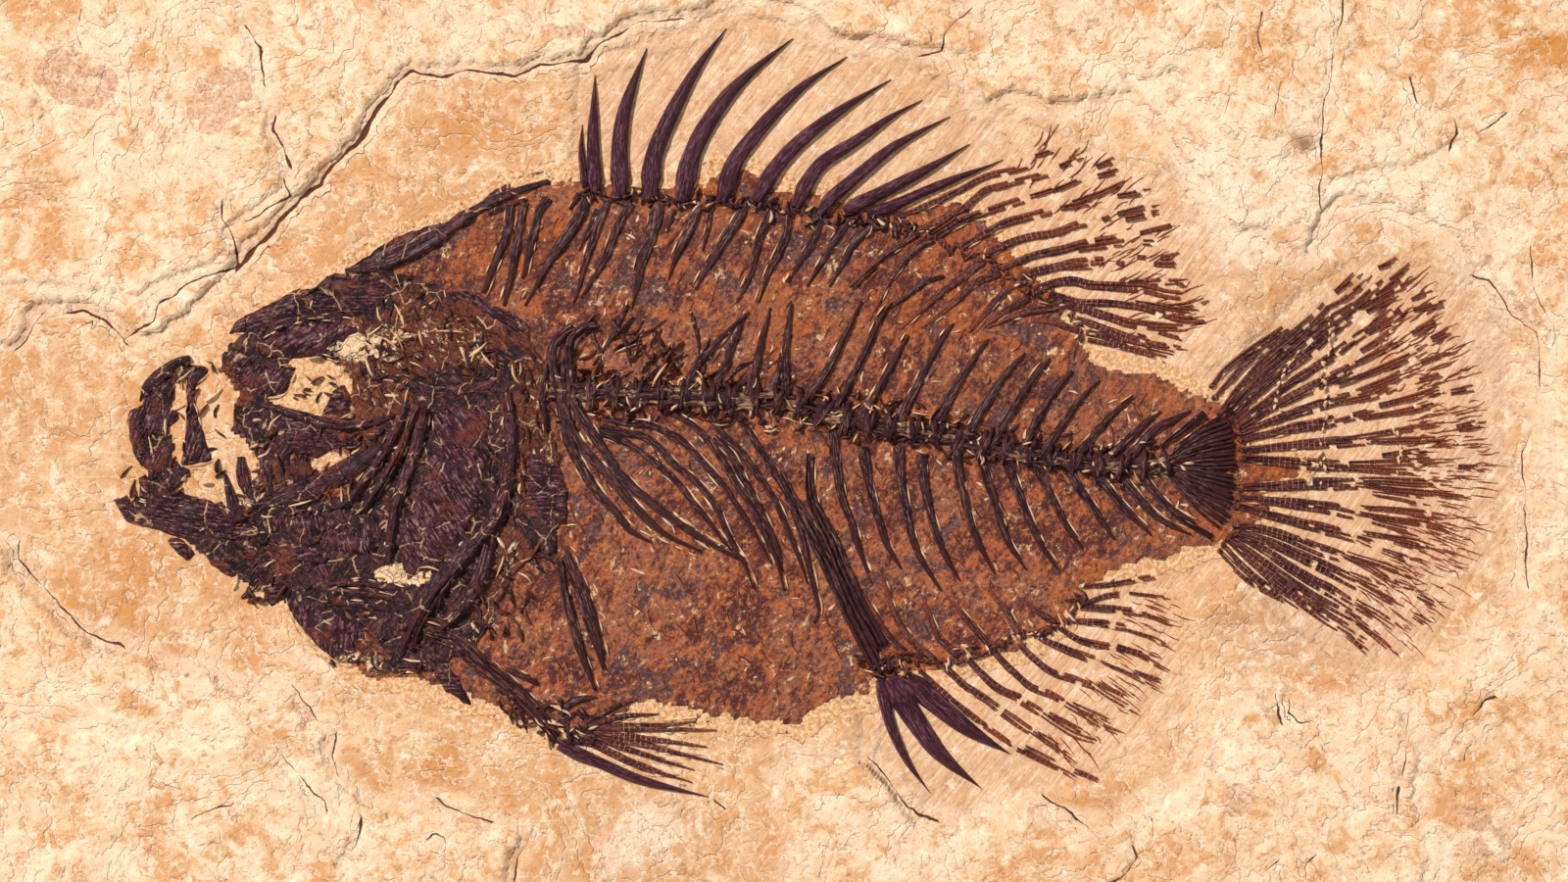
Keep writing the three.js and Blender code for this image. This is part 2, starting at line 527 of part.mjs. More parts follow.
const analRays = [
  [[13.8, -22.2], [16.4, -25.4], [19.8, -28.2], [23.6, -31], [28.7, -33.7], [30.6, -35]],
  [[16, -22.6], [18.7, -25.1], [22.6, -27.8], [26.2, -30.5], [30.6, -33.7]],
  [[18.4, -21.7], [20.6, -24.2], [23.8, -26.1], [27.9, -29], [32.8, -30.9]],
  [[21.3, -21], [23.5, -23.7], [27.2, -25.9], [30.4, -27.8], [34.7, -30]],
  [[23.7, -20], [25.5, -22.2], [29.4, -24.2], [33.3, -26.1], [36.7, -28]],
  [[26, -19.6], [28.9, -21.3], [35.2, -23.7], [38.6, -25.6]],
  [[28.1, -18.7], [30.4, -20.2], [36, -21.7], [39.6, -23.7]],
  [[29.3, -17.9], [32.3, -18.6], [37.7, -20], [39.9, -21.3]],
  [[29.9, -17], [33.5, -17], [39.9, -18.8]],
  [[30.4, -15.8], [32.8, -15.7], [39.4, -16]],
  [[30.5, -15], [34, -14.5], [37.7, -13.8]]
]

// Paired fins and their girdles

const pectoralStrands = [
  [
    [-20.4, 11.8], [-21.7, 10.4], [-22, 8.5], [-21.5, 4.5], [-19.8, 0.9], [-17.1, -2.8],
    [-14, -6], [-10.8, -8.6], [-6.6, -11.2]
  ],
  [
    [-21.3, 11.8], [-23, 10.7], [-23.7, 8.9], [-22.6, 3.6], [-20.5, -0.8], [-17.1, -4.5],
    [-13.7, -8.2], [-8.6, -11.2]
  ],
  [[-22.8, 4], [-22, 0.1], [-20.5, -3], [-17.1, -7.4], [-13.7, -10.3]]
]

const postcleithrumRods = [
  {
    path: [[-22.2, -11.6], [-20.6, -15.4], [-19.3, -19.7], [-18.4, -23.2]],
    width: [1, 1.6, 1.4, 0.5],
    height: bone.girdle
  },
  {
    path: [[-22.8, -11.9], [-22.4, -15], [-21.2, -20], [-19.3, -25.4]],
    width: [0.9, 1, 0.9, 0.4],
    height: bone.rod
  }
]

const cleithrum = {
  path: [
    [-28.2, 5], [-27.7, 0.1], [-28.4, -5.2], [-29.8, -8.6], [-33.3, -12.5], [-36.2, -15.7],
    [-38.4, -19.8], [-39.4, -22.3]
  ],
  width: [1.2, 1.6, 1.9, 1.8, 1.9, 2.1, 1.8, 0.8],
  height: bone.cleithrum,
  section: roundSection,
  steps: 9
}

const coracoid = {
  path: [[-29.8, -9.4], [-30.9, -14], [-33.3, -17.4], [-35, -19.1]],
  width: [1.6, 1.9, 1.7, 1],
  height: bone.girdle
}

const scapula = [
  [-26.4, -0.8], [-24.6, -1.2], [-22.8, -2.4], [-22, -5], [-22.2, -8.4], [-24.4, -9],
  [-26, -8], [-26.8, -4]
]

const posttemporal = [
  [-36, 15.7], [-33.5, 15.3], [-31.7, 15.2], [-29.8, 13.9], [-27.4, 12.8], [-25.5, 11.5],
  [-26.5, 10.7], [-28.3, 11.6], [-30.2, 12.4], [-31.4, 14], [-33.4, 14.5]
]

const pelvicGirdle = {
  path: [
    [-36.4, -19.6], [-33.5, -20.6], [-30.3, -23.2], [-27.4, -25.6], [-24.9, -28.1],
    [-23.2, -30.3]
  ],
  width: [1.2, 1.8, 1.8, 1.9, 1.7, 1],
  height: bone.girdle
}

const pelvicRays = [
  [[-20.4, -30.3], [-16.4, -32.3], [-12.8, -33.7], [-9.4, -34.9]],
  [[-19.8, -30.1], [-15.2, -31.7], [-9.1, -33.6]],
  [[-19.4, -29.9], [-14.5, -30.9], [-6.2, -33]],
  [[-19.4, -29.6], [-15.2, -30.2], [-7.9, -31.2]],
  [[-19.5, -29.3], [-15.2, -29.3], [-6.9, -29.5]],
  [[-19.9, -29], [-16.4, -28.1], [-12.8, -27.8]],
  [[-20.2, -28.7], [-17.6, -27.3], [-15, -26.3]]
]

// Head

const premaxillaArc = {
  path: [[-60.6, 8.5], [-62, 8], [-64, 6.4], [-65.1, 5.1]],
  width: [0.6, 1.1, 1.4, 1],
  height: bone.skull
}

const premaxillaPlates = [
  [
    [-63.9, 6.4], [-62, 6.7], [-61.9, 5.6], [-63.2, 5], [-63, 3.8], [-61.8, 3.1], [-61.8, 2],
    [-64.3, 0.3], [-65.7, 0.3], [-65.6, 2.2], [-65.2, 5.3]
  ],
  [
    [-66.7, 3.1], [-65.3, 4], [-64.6, 3.4], [-65.2, 0.4], [-64.6, -2.1], [-65.3, -2.9],
    [-66.3, -1.8], [-67, 1.9]
  ],
  [[-65.2, -1.7], [-62.8, 0.3], [-62.5, -0.4], [-62.7, -3.2], [-63.2, -4.3], [-65.4, -2.7]]
]

const maxillaOutline = [
  [-61.5, 7.9], [-59.1, 7.6], [-58.7, 6.9], [-60, 5.5], [-59.8, 3], [-58.9, -0.4], [-58.1, -1.9],
  [-59.6, -2.4], [-61.5, -2.5], [-61.2, -0.7], [-60.9, 4.1]
]

const lowerJawOutline = [
  [-68.4, -6.1], [-66.9, -5.5], [-66.4, -6.5], [-65, -6.5], [-63.9, -5.3], [-62.2, -5.1], [-59.3, -5.8],
  [-57.9, -6.4], [-55.3, -8.6], [-53.3, -8.4], [-53, -10.1], [-58.9, -10.4], [-61.7, -9.9], [-67.2, -8.2]
]

const coronoid = {
  path: [[-57, -3.4], [-56.4, -5.6], [-55.6, -8.2]],
  width: [0.3, 1.2, 2],
  height: bone.girdle
}

const skullPlates = [
  [
    [-47.8, 15.8], [-45.1, 16.8], [-42.1, 16.8], [-40.5, 15.8], [-40.7, 14], [-42.1, 12.4],
    [-45.1, 12.6], [-48.1, 12.9]
  ],
  [
    [-56.2, 11.4], [-55.7, 12.7], [-53.3, 13.3], [-51.3, 14.7], [-50, 15.3], [-48.7, 15.5],
    [-48.6, 12.8], [-50.4, 12.2], [-53.6, 11]
  ],
  [
    [-54.1, 10.2], [-50.4, 11.4], [-48.1, 12], [-43.2, 11.7], [-42.4, 10.8], [-46, 9.4],
    [-45.3, 8.1], [-47.8, 8.6], [-52.3, 8], [-53.8, 8.9]
  ]
]

const nasalOutline = [
  [-57, 8.6], [-55.4, 10], [-53.9, 8.4], [-52.2, 7.6], [-49.8, 7.4], [-50.8, 4.9], [-52.4, 4.4],
  [-54.4, 4.6], [-55.8, 6.2]
]

const braincaseOutline = [
  [-43.6, 7], [-42.2, 10], [-40, 12.8], [-37, 14.8], [-34, 14], [-31.8, 13.4], [-30.4, 11.4],
  [-28.9, 9.6], [-29.4, 8.2], [-30.6, 6.8], [-35.8, 6.6], [-37.6, 4.6], [-39.4, 3.6], [-43, 4.2]
]

const parasphenoid = {
  path: [[-53.4, 3.8], [-50.6, 2.9], [-48.1, 2.2], [-45.1, 1.5], [-41.8, 1.8], [-39.7, 2.7]],
  width: [0.5, 0.9, 1, 1, 0.9, 0.5],
  height: bone.strand
}

const palateOutline = [
  [-52.5, 2.2], [-50.6, 3], [-48.8, 2.2], [-45.1, 1.2], [-43.2, -0.3], [-46, -0.8], [-47.8, -1.9],
  [-50.2, -1.2], [-51.8, 0.4]
]

const jawHingePlates = [
  [[-52.2, -7.6], [-46.7, -7.3], [-44.3, -8.4], [-44.7, -9.7], [-49.4, -9.9], [-52.4, -9.6]],
  [[-48.2, -9.4], [-44.3, -9.3], [-42.3, -7.2], [-40.8, -8.6], [-41, -11.6], [-43.5, -11.8], [-46.2, -11.3]]
]

const pterygoidForms = [
  {
    path: [[-53.5, -6.5], [-49.8, -5.2], [-46.7, -4], [-43.4, -2.2], [-40.6, -0.3]],
    width: [1.6, 2.2, 2.2, 1.8, 1],
    height: bone.palate
  },
  { path: [[-55.4, -1.6], [-55, -4.4], [-53.6, -6.6]], width: [0.6, 1.2, 1.2], height: bone.palate },
  { path: [[-53.2, -0.8], [-52.6, -3.6], [-52.4, -6.4]], width: [0.7, 1.4, 1.4], height: bone.palate },
  { path: [[-49.4, -1.6], [-49.2, -3.6], [-48.6, -5]], width: [0.6, 1.8, 2], height: bone.girdle }
]

const preopercleBars = [
  [[-38.2, 3.8], [-39.9, 0.1], [-42.3, -3.5], [-44.5, -6.4], [-46.3, -6.9]],
  [[-37.4, 3.6], [-38.9, -0.4], [-40.8, -4], [-43, -7.2]],
  [[-36.7, 3.4], [-37.4, -0.4], [-38.6, -3.8], [-39.6, -6.7], [-40, -9.6], [-40.4, -12.5]]
]

const opercleOutline = [
  [-35.8, 3.4], [-29.9, 4], [-29.5, -0.8], [-30.3, -3], [-30.6, -6.8], [-32.6, -10], [-35.4, -13.2],
  [-38.6, -14.4], [-39.4, -10.6], [-37.9, -6.7], [-36, -1.1]
]

const hyomandibularOutline = [
  [-37.8, 4.6], [-35.8, 5.9], [-33.5, 6.2], [-30.5, 6.3], [-28.7, 7.6], [-28.9, 5.9], [-30.2, 4.6],
  [-35.6, 4.1], [-37.4, 3.4]
]

const gillRayStem = {
  path: [[-47.4, -12.6], [-45.9, -15.2], [-45.6, -16.6]],
  width: [1.4, 1.6, 1.2],
  height: bone.ridge
}

const gillRays = [
  [[-46.2, -14.4], [-43.3, -14.4], [-40.4, -14.9], [-37.6, -15]],
  [[-46, -15.3], [-43, -15.5], [-39.4, -16.2], [-37.9, -16.1]],
  [[-45.8, -16.4], [-41.8, -16.9], [-39.4, -17.3]]
]

const throatOutline = [
  [-50.8, -15.9], [-49.1, -15.9], [-46.8, -17.4], [-40.6, -18.3], [-42.3, -19.4], [-43.3, -22.8],
  [-46, -22.3], [-48.2, -20.3], [-50.1, -17.9]
]

const napeRidge = {
  path: [
    [-44.7, 17.2], [-42.2, 17.8], [-40, 18.3], [-36.7, 20], [-33.3, 22.3], [-30, 24.3],
    [-27, 25.6], [-24, 26.5]
  ],
  width: [0.7, 1.3, 1.6, 1.6, 1.4, 1.2, 0.9, 0.6],
  height: bone.ridge
}

// Widths from root to tip
const taper = {
  dorsalRod: [1.1, 0.9, 0.3],
  softRod: [0.8, 0.9, 0.3],
  ray: [0.6, 0.95, 0.8, 0.3],
  supraneural: [0.8, 0.9, 0.4],
  rib: [0.6, 0.9, 0.8, 0.3],
  firstSupport: [0.5, 1.3, 1.7, 1.6],
  neural: [1.1, 0.7, 0.3],
  haemal: [1.2, 0.8, 0.3],
  tailPlate: [0.9, 1.5, 2.2],
  tailRay: [0.9, 1.1, 1.2, 0.9, 0.3],
  strand: [1.3, 1.2, 1, 0.4],
  pelvicRay: [0.8, 0.8, 0.4],
  bar: [1.4, 1.3, 1.1, 0.5],
  gillRay: [0.8, 0.7, 0.4]
}

// Low bones that run on under others come first, then the taller ones that bridge them
addSlab()
addFilm()

dorsalSpines.forEach((form, k) => layBone(`dorsal_spine_${k + 1}`, [spine(form)]))
analSpines.forEach((form, k) => layBone(`anal_spine_${k + 1}`, [spine(form)]))
layBone('pelvic_spine', [spine(pelvicSpine)])

layBone('dorsal_fin_supports', [dorsalHeads, ...rods(dorsalRods, taper.dorsalRod, bone.rod)])
layBone('soft_dorsal_fin', [
  softDorsalBase,
  ...rods(softDorsalRods, taper.softRod, bone.rod),
  ...rods(softDorsalRays, taper.ray, bone.ray)
], rayMaterial)
supraneurals.forEach((path, k) => {
  layBone(`supraneural_${k + 1}`, rods([path], taper.supraneural, bone.rod))
})

layBone('soft_anal_fin', [
  analBase,
  ...rods(analRods, taper.softRod, bone.rod),
  ...rods(analRays, taper.ray, bone.ray)
], rayMaterial)

ribPaths.forEach((path, k) => layBone(`rib_${k + 1}`, rods([path], taper.rib, bone.rod)))
layBone('first_anal_support', rods(firstAnalStrands, taper.firstSupport, bone.strand))
layBone('vertebral_column', [
  column,
  ...rods(neuralSpines, taper.neural, bone.arch),
  ...rods(haemalSpines, taper.haemal, bone.arch)
])
layBone('tail_plates', rods(hypurals, taper.tailPlate, bone.tailPlate))
layBone('upper_tail_rays', [upperTailRoot, ...rods(upperTailRays, taper.tailRay, bone.ray)], rayMaterial)
layBone('middle_tail_rays', rods(middleTailRays, taper.tailRay, bone.ray), rayMaterial)
layBone('lower_tail_rays', rods(lowerTailRays, taper.tailRay, bone.ray), rayMaterial)

layBone('pectoral_fin', rods(pectoralStrands, taper.strand, bone.strand))
layBone('cleithrum', [cleithrum, coracoid])
layBone('scapula', [{ outline: scapula, height: bone.plate }])
layBone('postcleithrum', postcleithrumRods)
layBone('posttemporal', [{ outline: posttemporal, height: bone.skull }])
layBone('pelvic_girdle', [pelvicGirdle])
layBone('pelvic_rays', rods(pelvicRays, taper.pelvicRay, bone.ray), rayMaterial)

layBone('preopercle', [
  ...rods(preopercleBars, taper.bar, bone.bar),
  { outline: hyomandibularOutline, height: bone.strand }
])
layBone('opercle', [{ outline: opercleOutline, height: bone.plate }])
layBone('nape_ridge', [napeRidge])
skullPlates.forEach((outline, k) => {
  layBone(`skull_plate_${k + 1}`, [{ outline, height: bone.skull }])
})
layBone('nasal_bone', [{ outline: nasalOutline, height: bone.ridge }])
layBone('parasphenoid', [parasphenoid, { outline: palateOutline, height: bone.thinPlate }])
layBone('premaxilla', [
  premaxillaArc,
  ...premaxillaPlates.map((outline) => ({ outline, height: bone.skull }))
])
layBone('maxilla', [{ outline: maxillaOutline, height: bone.maxilla }])
layBone('lower_jaw', [{ outline: lowerJawOutline, height: bone.skull }, coronoid])
layBone('jaw_hinge', jawHingePlates.map((outline) => ({ outline, height: bone.girdle })))
layBone('pterygoid', pterygoidForms)
layBone('throat_plate', [{ outline: throatOutline, height: bone.plate }])
layBone('gill_rays', [gillRayStem, ...rods(gillRays, taper.gillRay, bone.ridge)])
layBone('braincase', [{ outline: braincaseOutline, height: bone.thinPlate }])

export default group
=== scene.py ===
import math

import bpy
import numpy as np
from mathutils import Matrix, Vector, geometry


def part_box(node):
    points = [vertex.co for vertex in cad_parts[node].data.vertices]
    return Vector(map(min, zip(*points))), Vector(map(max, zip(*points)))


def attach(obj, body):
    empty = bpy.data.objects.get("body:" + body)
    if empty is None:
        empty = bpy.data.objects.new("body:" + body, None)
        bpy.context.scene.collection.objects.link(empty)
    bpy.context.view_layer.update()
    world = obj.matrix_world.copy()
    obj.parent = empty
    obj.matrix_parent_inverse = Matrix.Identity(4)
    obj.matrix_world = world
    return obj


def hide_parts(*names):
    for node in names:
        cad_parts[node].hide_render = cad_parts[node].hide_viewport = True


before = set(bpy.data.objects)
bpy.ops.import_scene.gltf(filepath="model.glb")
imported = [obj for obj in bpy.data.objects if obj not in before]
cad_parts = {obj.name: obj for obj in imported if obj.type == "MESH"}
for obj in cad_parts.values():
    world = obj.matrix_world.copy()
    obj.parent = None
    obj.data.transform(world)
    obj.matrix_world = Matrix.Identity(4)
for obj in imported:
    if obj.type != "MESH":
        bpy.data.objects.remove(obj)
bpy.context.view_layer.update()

# A fossil fish in its limestone slab. Tables are in millimetres on the bedding plane, x towards
# the tail and y towards the back fin. Heights in tables are above the bedding plane.
mm = 0.001
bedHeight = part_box("dorsal_spine_4")[0].z / mm
slabLow, slabHigh = (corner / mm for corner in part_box("limestone_slab"))

# Camera: straight above, the frame is 160 mm wide on the bedding plane
view = {"frameWidth": 160.0, "lens": 85.0, "sensor": 36.0, "clipStart": 0.01}


def addCamera():
    data = bpy.data.cameras.new("overhead")
    data.lens, data.sensor_width = view["lens"], view["sensor"]
    data.clip_start = view["clipStart"]
    camera = bpy.data.objects.new("overhead", data)
    away = view["frameWidth"] * view["lens"] / view["sensor"]
    camera.location = (0, 0, (bedHeight + away) * mm)
    bpy.context.scene.collection.objects.link(camera)
    bpy.context.scene.camera = camera


addCamera()

# Light: a raking window from the upper left, a soft fill from above and a pale room
light = {
    "key": {"place": (-0.88, 0.8, 1.5), "size": 0.16, "power": 45.6, "colour": (1.0, 0.97, 0.93)},
    "fill": {"place": (0.25, -0.3, 0.55), "size": 0.7, "power": 1.2, "colour": (1.0, 0.96, 0.95)},
    "room": {"strength": 0.16, "colour": (1, 0.98, 0.95, 1)},
}


def addLight(name, place, size, power, colour):
    data = bpy.data.lights.new(name, "AREA")
    data.size, data.energy, data.color = size, power, colour
    lamp = bpy.data.objects.new(name, data)
    lamp.location = place
    lamp.rotation_euler = (-Vector(place)).to_track_quat("-Z", "Y").to_euler()
    bpy.context.scene.collection.objects.link(lamp)


def addRoom(strength, colour):
    room = bpy.data.worlds.new("room")
    room.use_nodes = True
    background = room.node_tree.nodes["Background"]
    background.inputs["Color"].default_value = colour
    background.inputs["Strength"].default_value = strength
    bpy.context.scene.world = room


for lampName in ("key", "fill"):
    addLight(lampName, **light[lampName])
addRoom(**light["room"])
bpy.context.scene.view_settings.view_transform = "Standard"


# Shader maths

def paint(red, green, blue):
    # a screen colour of 0 to 255 as Blender's own
    def linear(level):
        share = level / 255
        return share / 12.92 if share <= 0.04045 else ((share + 0.055) / 1.055) ** 2.4
    return (linear(red), linear(green), linear(blue), 1.0)


class Wire:
    # an output socket that can stand in a sum
    def __init__(self, finish, socket):
        self.finish, self.socket = finish, socket

    def maths(self, operation, first, second=0):
        return self.finish.node("ShaderNodeMath", {"operation": operation}, {0: first, 1: second})

    def changed(self, operation):
        return self.maths(operation, self)

    def __add__(self, other):
        return self.maths("ADD", self, other)

    def __radd__(self, other):
        return self.maths("ADD", other, self)

    def __sub__(self, other):
        return self.maths("SUBTRACT", self, other)

    def __rsub__(self, other):
        return self.maths("SUBTRACT", other, self)

    def __mul__(self, other):
        return self.maths("MULTIPLY", self, other)

    def __rmul__(self, other):
        return self.maths("MULTIPLY", other, self)

    def __truediv__(self, other):
        return self.maths("DIVIDE", self, other)


class Finish:
    # one material and the nodes that make it
    def __init__(self, name):
        self.material = bpy.data.materials.new(name)
        self.material.use_nodes = True
        self.tree = self.material.node_tree
        self.shader = self.tree.nodes["Principled BSDF"]

    def node(self, kind, settings=None, sockets=None, out=0):
        made = self.tree.nodes.new(kind)
        for name, value in (settings or {}).items():
            setattr(made, name, value)
        for name, value in (sockets or {}).items():
            self.plug(made.inputs[name], value)
        return Wire(self, made.outputs[out])

    def plug(self, socket, value):
        if isinstance(value, Wire):
            self.tree.links.new(value.socket, socket)
        else:
            socket.default_value = value

    def field(self, name, out="Fac"):
        return self.node("ShaderNodeAttribute", {"attribute_name": name}, out=out)

    def place(self):
        # the surface point in millimetres
        point = self.node("ShaderNodeTexCoord", out="Object")
        return self.scaled(point, (1 / mm, 1 / mm, 1 / mm))

    def scaled(self, vector, by):
        return self.node("ShaderNodeVectorMath", {"operation": "MULTIPLY"}, {0: vector, 1: by})

    def turned(self, vector, degrees):
        turn = (0, 0, math.radians(degrees))
        return self.node("ShaderNodeVectorRotate", {"rotation_type": "EULER_XYZ"},
                         {"Vector": vector, "Rotation": turn})

    def noise(self, vector, size, detail=4.0, rough=0.55, twist=0.0, out=0):
        return self.node("ShaderNodeTexNoise", {}, {"Vector": vector, "Scale": 1 / size, "Detail": detail,
                                                    "Roughness": rough, "Distortion": twist}, out)

    def ease(self, value, low, high):
        # 0 at low and 1 at high, with soft ends
        return self.node("ShaderNodeMapRange", {"interpolation_type": "SMOOTHSTEP"},
                         {"Value": value, "From Min": low, "From Max": high})

    def part(self, value):
        # the share of the way from one whole number to the next
        return value.changed("FRACT")

    def ledges(self, value):
        # flat steps with short risers
        riser = 0.16
        return value.changed("FLOOR") + self.ease(self.part(value), 0.0, riser)

    def webs(self, vector, size, thin, wide):
        # the lines between broken pieces
        cells = self.node("ShaderNodeTexVoronoi", {"feature": "DISTANCE_TO_EDGE"},
                          {"Vector": vector, "Scale": 1 / size}, out="Distance")
        return self.ease(cells, wide, thin)

    def bent(self, vector, size, by):
        # moves the points about, so that straight lines wander
        stray = self.noise(vector, size, 3, 0.5, out="Color")
        return self.node("ShaderNodeVectorMath", {"operation": "ADD"}, {0: vector, 1: self.scaled(stray, (by, by, by))})

    def mix(self, factor, first, second):
        return self.node("ShaderNodeMix", {"data_type": "RGBA"}, {0: factor, 6: first, 7: second}, out=2)

    def finish(self, colour, roughness, height, depth, **fixed):
        # depth is the bump's in millimetres
        normal = self.node("ShaderNodeBump", {}, {"Height": height, "Distance": depth * mm, "Strength": 1.0})
        self.plug(self.shader.inputs["Base Color"], colour)
        self.plug(self.shader.inputs["Roughness"], roughness)
        self.plug(self.shader.inputs["Normal"], normal)
        for name, value in fixed.items():
            self.shader.inputs[name].default_value = value
        return self.material


# Fields over the plane

lattice = np.random.default_rng(11).random((256, 256))


def smooth(value, low, high):
    share = np.clip((value - low) / (high - low), 0, 1)
    return share * share * (3 - 2 * share)


def grainOf(x, y, seed):
    # one layer of smooth noise from 0 to 1, a unit wide
    column, row = np.floor(x).astype(int), np.floor(y).astype(int)
    across, up = smooth(x - column, 0, 1), smooth(y - row, 0, 1)
    column, row = column + 37 * seed, row + 91 * seed

    def corner(i, j):
        return lattice[(column + i) & 255, (row + j) & 255]

    low = corner(0, 0) * (1 - across) + corner(1, 0) * across
    high = corner(0, 1) * (1 - across) + corner(1, 1) * across
    return low * (1 - up) + high * up


def cloud(x, y, size, seed, octaves=4, rough=0.5):
    # layered noise from about -1 to 1, with features of the given size
    total, reach, share = np.zeros(np.shape(x)), 0.0, 1.0
    for octave in range(octaves):
        # each octave is turned and shifted, so that no lattice shows
        turn = 0.6 * octave + seed
        u = (x * math.cos(turn) + y * math.sin(turn)) / size
        v = (y * math.cos(turn) - x * math.sin(turn)) / size
        total += share * (2 * grainOf(u + 31.7 * octave, v - 12.3 * octave, seed) - 1)
        reach += share
        share *= rough
        size /= 2.03
    return total / reach * 1.6


def terrace(value, steps, sharp):
    # cuts a smooth field into flat flakes with steep edges; also gives each flake's number
    level = np.floor(value * steps)
    rise = smooth(value * steps - level, 0.5 - sharp, 0.5 + sharp)
    return (level + rise) / steps, level + (rise > 0.5)


def near(x, y, points, margin):
    # which points of the plane lie in the box round a few points
    low, high = np.min(points, axis=0) - margin, np.max(points, axis=0) + margin
    return (x > low[0]) & (x < high[0]) & (y > low[1]) & (y < high[1])


def distanceTo(x, y, line, reach):
    # distance to a line of points, or reach where it is further. With a whole reach the squares of the
    # distances are whole too, so that the rock's edges rise in steps.
    line = np.asarray(line, float)
    best = np.full(np.shape(x), reach * reach)
    close = near(x, y, line, reach)
    px, py = x[close], y[close]
    found = np.full(px.shape, reach * reach)
    for (ax, ay), (bx, by) in zip(line[:-1], line[1:]):
        dx, dy = bx - ax, by - ay
        share = np.clip(((px - ax) * dx + (py - ay) * dy) / (dx * dx + dy * dy + 1e-12), 0, 1)
        found = np.minimum(found, (px - ax - share * dx) ** 2 + (py - ay - share * dy) ** 2)
    best[close] = found
    return np.sqrt(best)


def besideLine(x, y, line, reach):
    # signed distance across a line, with how far a point lies past the line's ends
    line = np.asarray(line, float)
    best, side = np.full(np.shape(x), reach), np.ones(np.shape(x))
    past = np.zeros(np.shape(x))
    close = near(x, y, line, reach)
    px, py = x[close], y[close]
    found, turn, beyond = np.full(px.shape, reach), np.ones(px.shape), np.zeros(px.shape)
    for k, ((ax, ay), (bx, by)) in enumerate(zip(line[:-1], line[1:])):
        dx, dy = bx - ax, by - ay
        length = math.hypot(dx, dy)
        along = ((px - ax) * dx + (py - ay) * dy) / length
        share = np.clip(along / length, 0, 1)
        away = np.hypot(px - ax - share * dx, py - ay - share * dy)
        over = np.maximum(-along if k == 0 else 0, along - length if k == len(line) - 2 else 0)
        closer = away < found
        found = np.where(closer, away, found)
        turn = np.where(closer, np.sign(dx * (py - ay) - dy * (px - ax)), turn)
        beyond = np.where(closer, over, beyond)
    best[close], side[close], past[close] = found, turn, beyond
    return best, side, past


def within(x, y, outline):
    odd = np.zeros(np.shape(x), bool)
    outline = np.asarray(outline, float)
    for (ax, ay), (bx, by) in zip(outline, np.roll(outline, -1, axis=0)):
        if ay != by:
            crosses = (ay > y) != (by > y)
            odd ^= crosses & (x < ax + (y - ay) * (bx - ax) / (by - ay))
    return odd


def depthIn(x, y, outline, reach):
    # distance from an outline's edge, above 0 inside and below 0 outside, held to the reach
    away = distanceTo(x, y, [*outline, outline[0]], reach)
    return np.where(within(x, y, outline), away, -away)


# The rock's layers, broken edges and marks

slabLook = {
    "spacing": 0.27, "trianglesKept": 188000, "firstStep": 0.62, "secondStep": 0.36,
    "sideLevels": 22, "edgeBlend": 7.0, "corner": 7.0, "sideBeds": 7, "footBevel": 0.6,
    "crackDepth": 0.6, "lipRise": 0.14, "pitDepth": 0.35, "reach": 6,
}

# Outlines of the rock's upper layers, which run on past the slab's edge
upperLayer = [
    [-92, 9], [-78.3, 9.6], [-77, 11], [-76.4, 12.7], [-73.6, 13.3], [-71.8, 13.3], [-69.3, 12.6],
    [-66, 10], [-63.5, 10.7], [-62.3, 11.9], [-60, 13], [-58.5, 14.6], [-55.5, 17.7], [-53.5, 20.2],
    [-51, 22.8], [-49.5, 24.6], [-47.3, 26], [-46.3, 28.3], [-43, 30.9], [-41.5, 33.7], [-39.5, 36.5],
    [-38, 37.9], [-35, 37.2], [-32, 38], [-27.2, 37.1], [-25, 38.6], [-20.3, 38.9], [-19, 40.7],
    [-17, 41.4], [-15.5, 42.7], [-10, 43.2], [-6.5, 44.4], [-2, 44.4], [2.5, 43], [3.6, 41.7],
    [7, 40.4], [9.5, 40.5], [14.7, 39.4], [18.5, 39.2], [18.2, 36.4], [20, 33.8], [22, 34.4],
    [30, 33.9], [35.5, 35], [38.5, 31], [39.7, 28], [44.5, 23.5], [46, 20.8], [49, 20.7],
    [52, 18.3], [54, 18.4], [55, 22], [57, 24], [61.5, 23.5], [67.5, 21], [70, 17.3], [71.5, 17],
    [74, 12.5], [76.3, 11], [76.8, 5], [75.5, -5], [75.8, -14], [69.7, -19], [68.5, -23],
    [65, -24.5], [61, -24.6], [57, -26.4], [50, -25], [46, -25.1], [43, -28], [41, -33.5],
    [39, -35.3], [35, -37.2], [33.5, -38.6], [29.5, -38.8], [25, -36.3], [20.5, -37.3],
    [19, -38.3], [14, -38.2], [11, -34], [9, -32.2], [6, -31.9], [2, -32.2], [-0.2, -33.5],
    [-0.4, -38], [0.6, -45], [0.4, -56], [92, -56], [92, 56], [-92, 56],
]
lowerLeftLayer = [
    [-92, -9.5], [-78, -10], [-78.2, -12.5], [-74, -17.5], [-71.5, -19.5], [-65, -21.3], [-62, -23],
    [-58, -23.2], [-57, -24.5], [-54, -25.5], [-50.2, -25.3], [-47.8, -28.8], [-46, -29.2],
    [-46, -33], [-42.5, -36.3], [-40.5, -37], [-38, -36], [-34, -37.6], [-26, -39.5], [-27.8, -45],
    [-28, -56], [-92, -56],
]
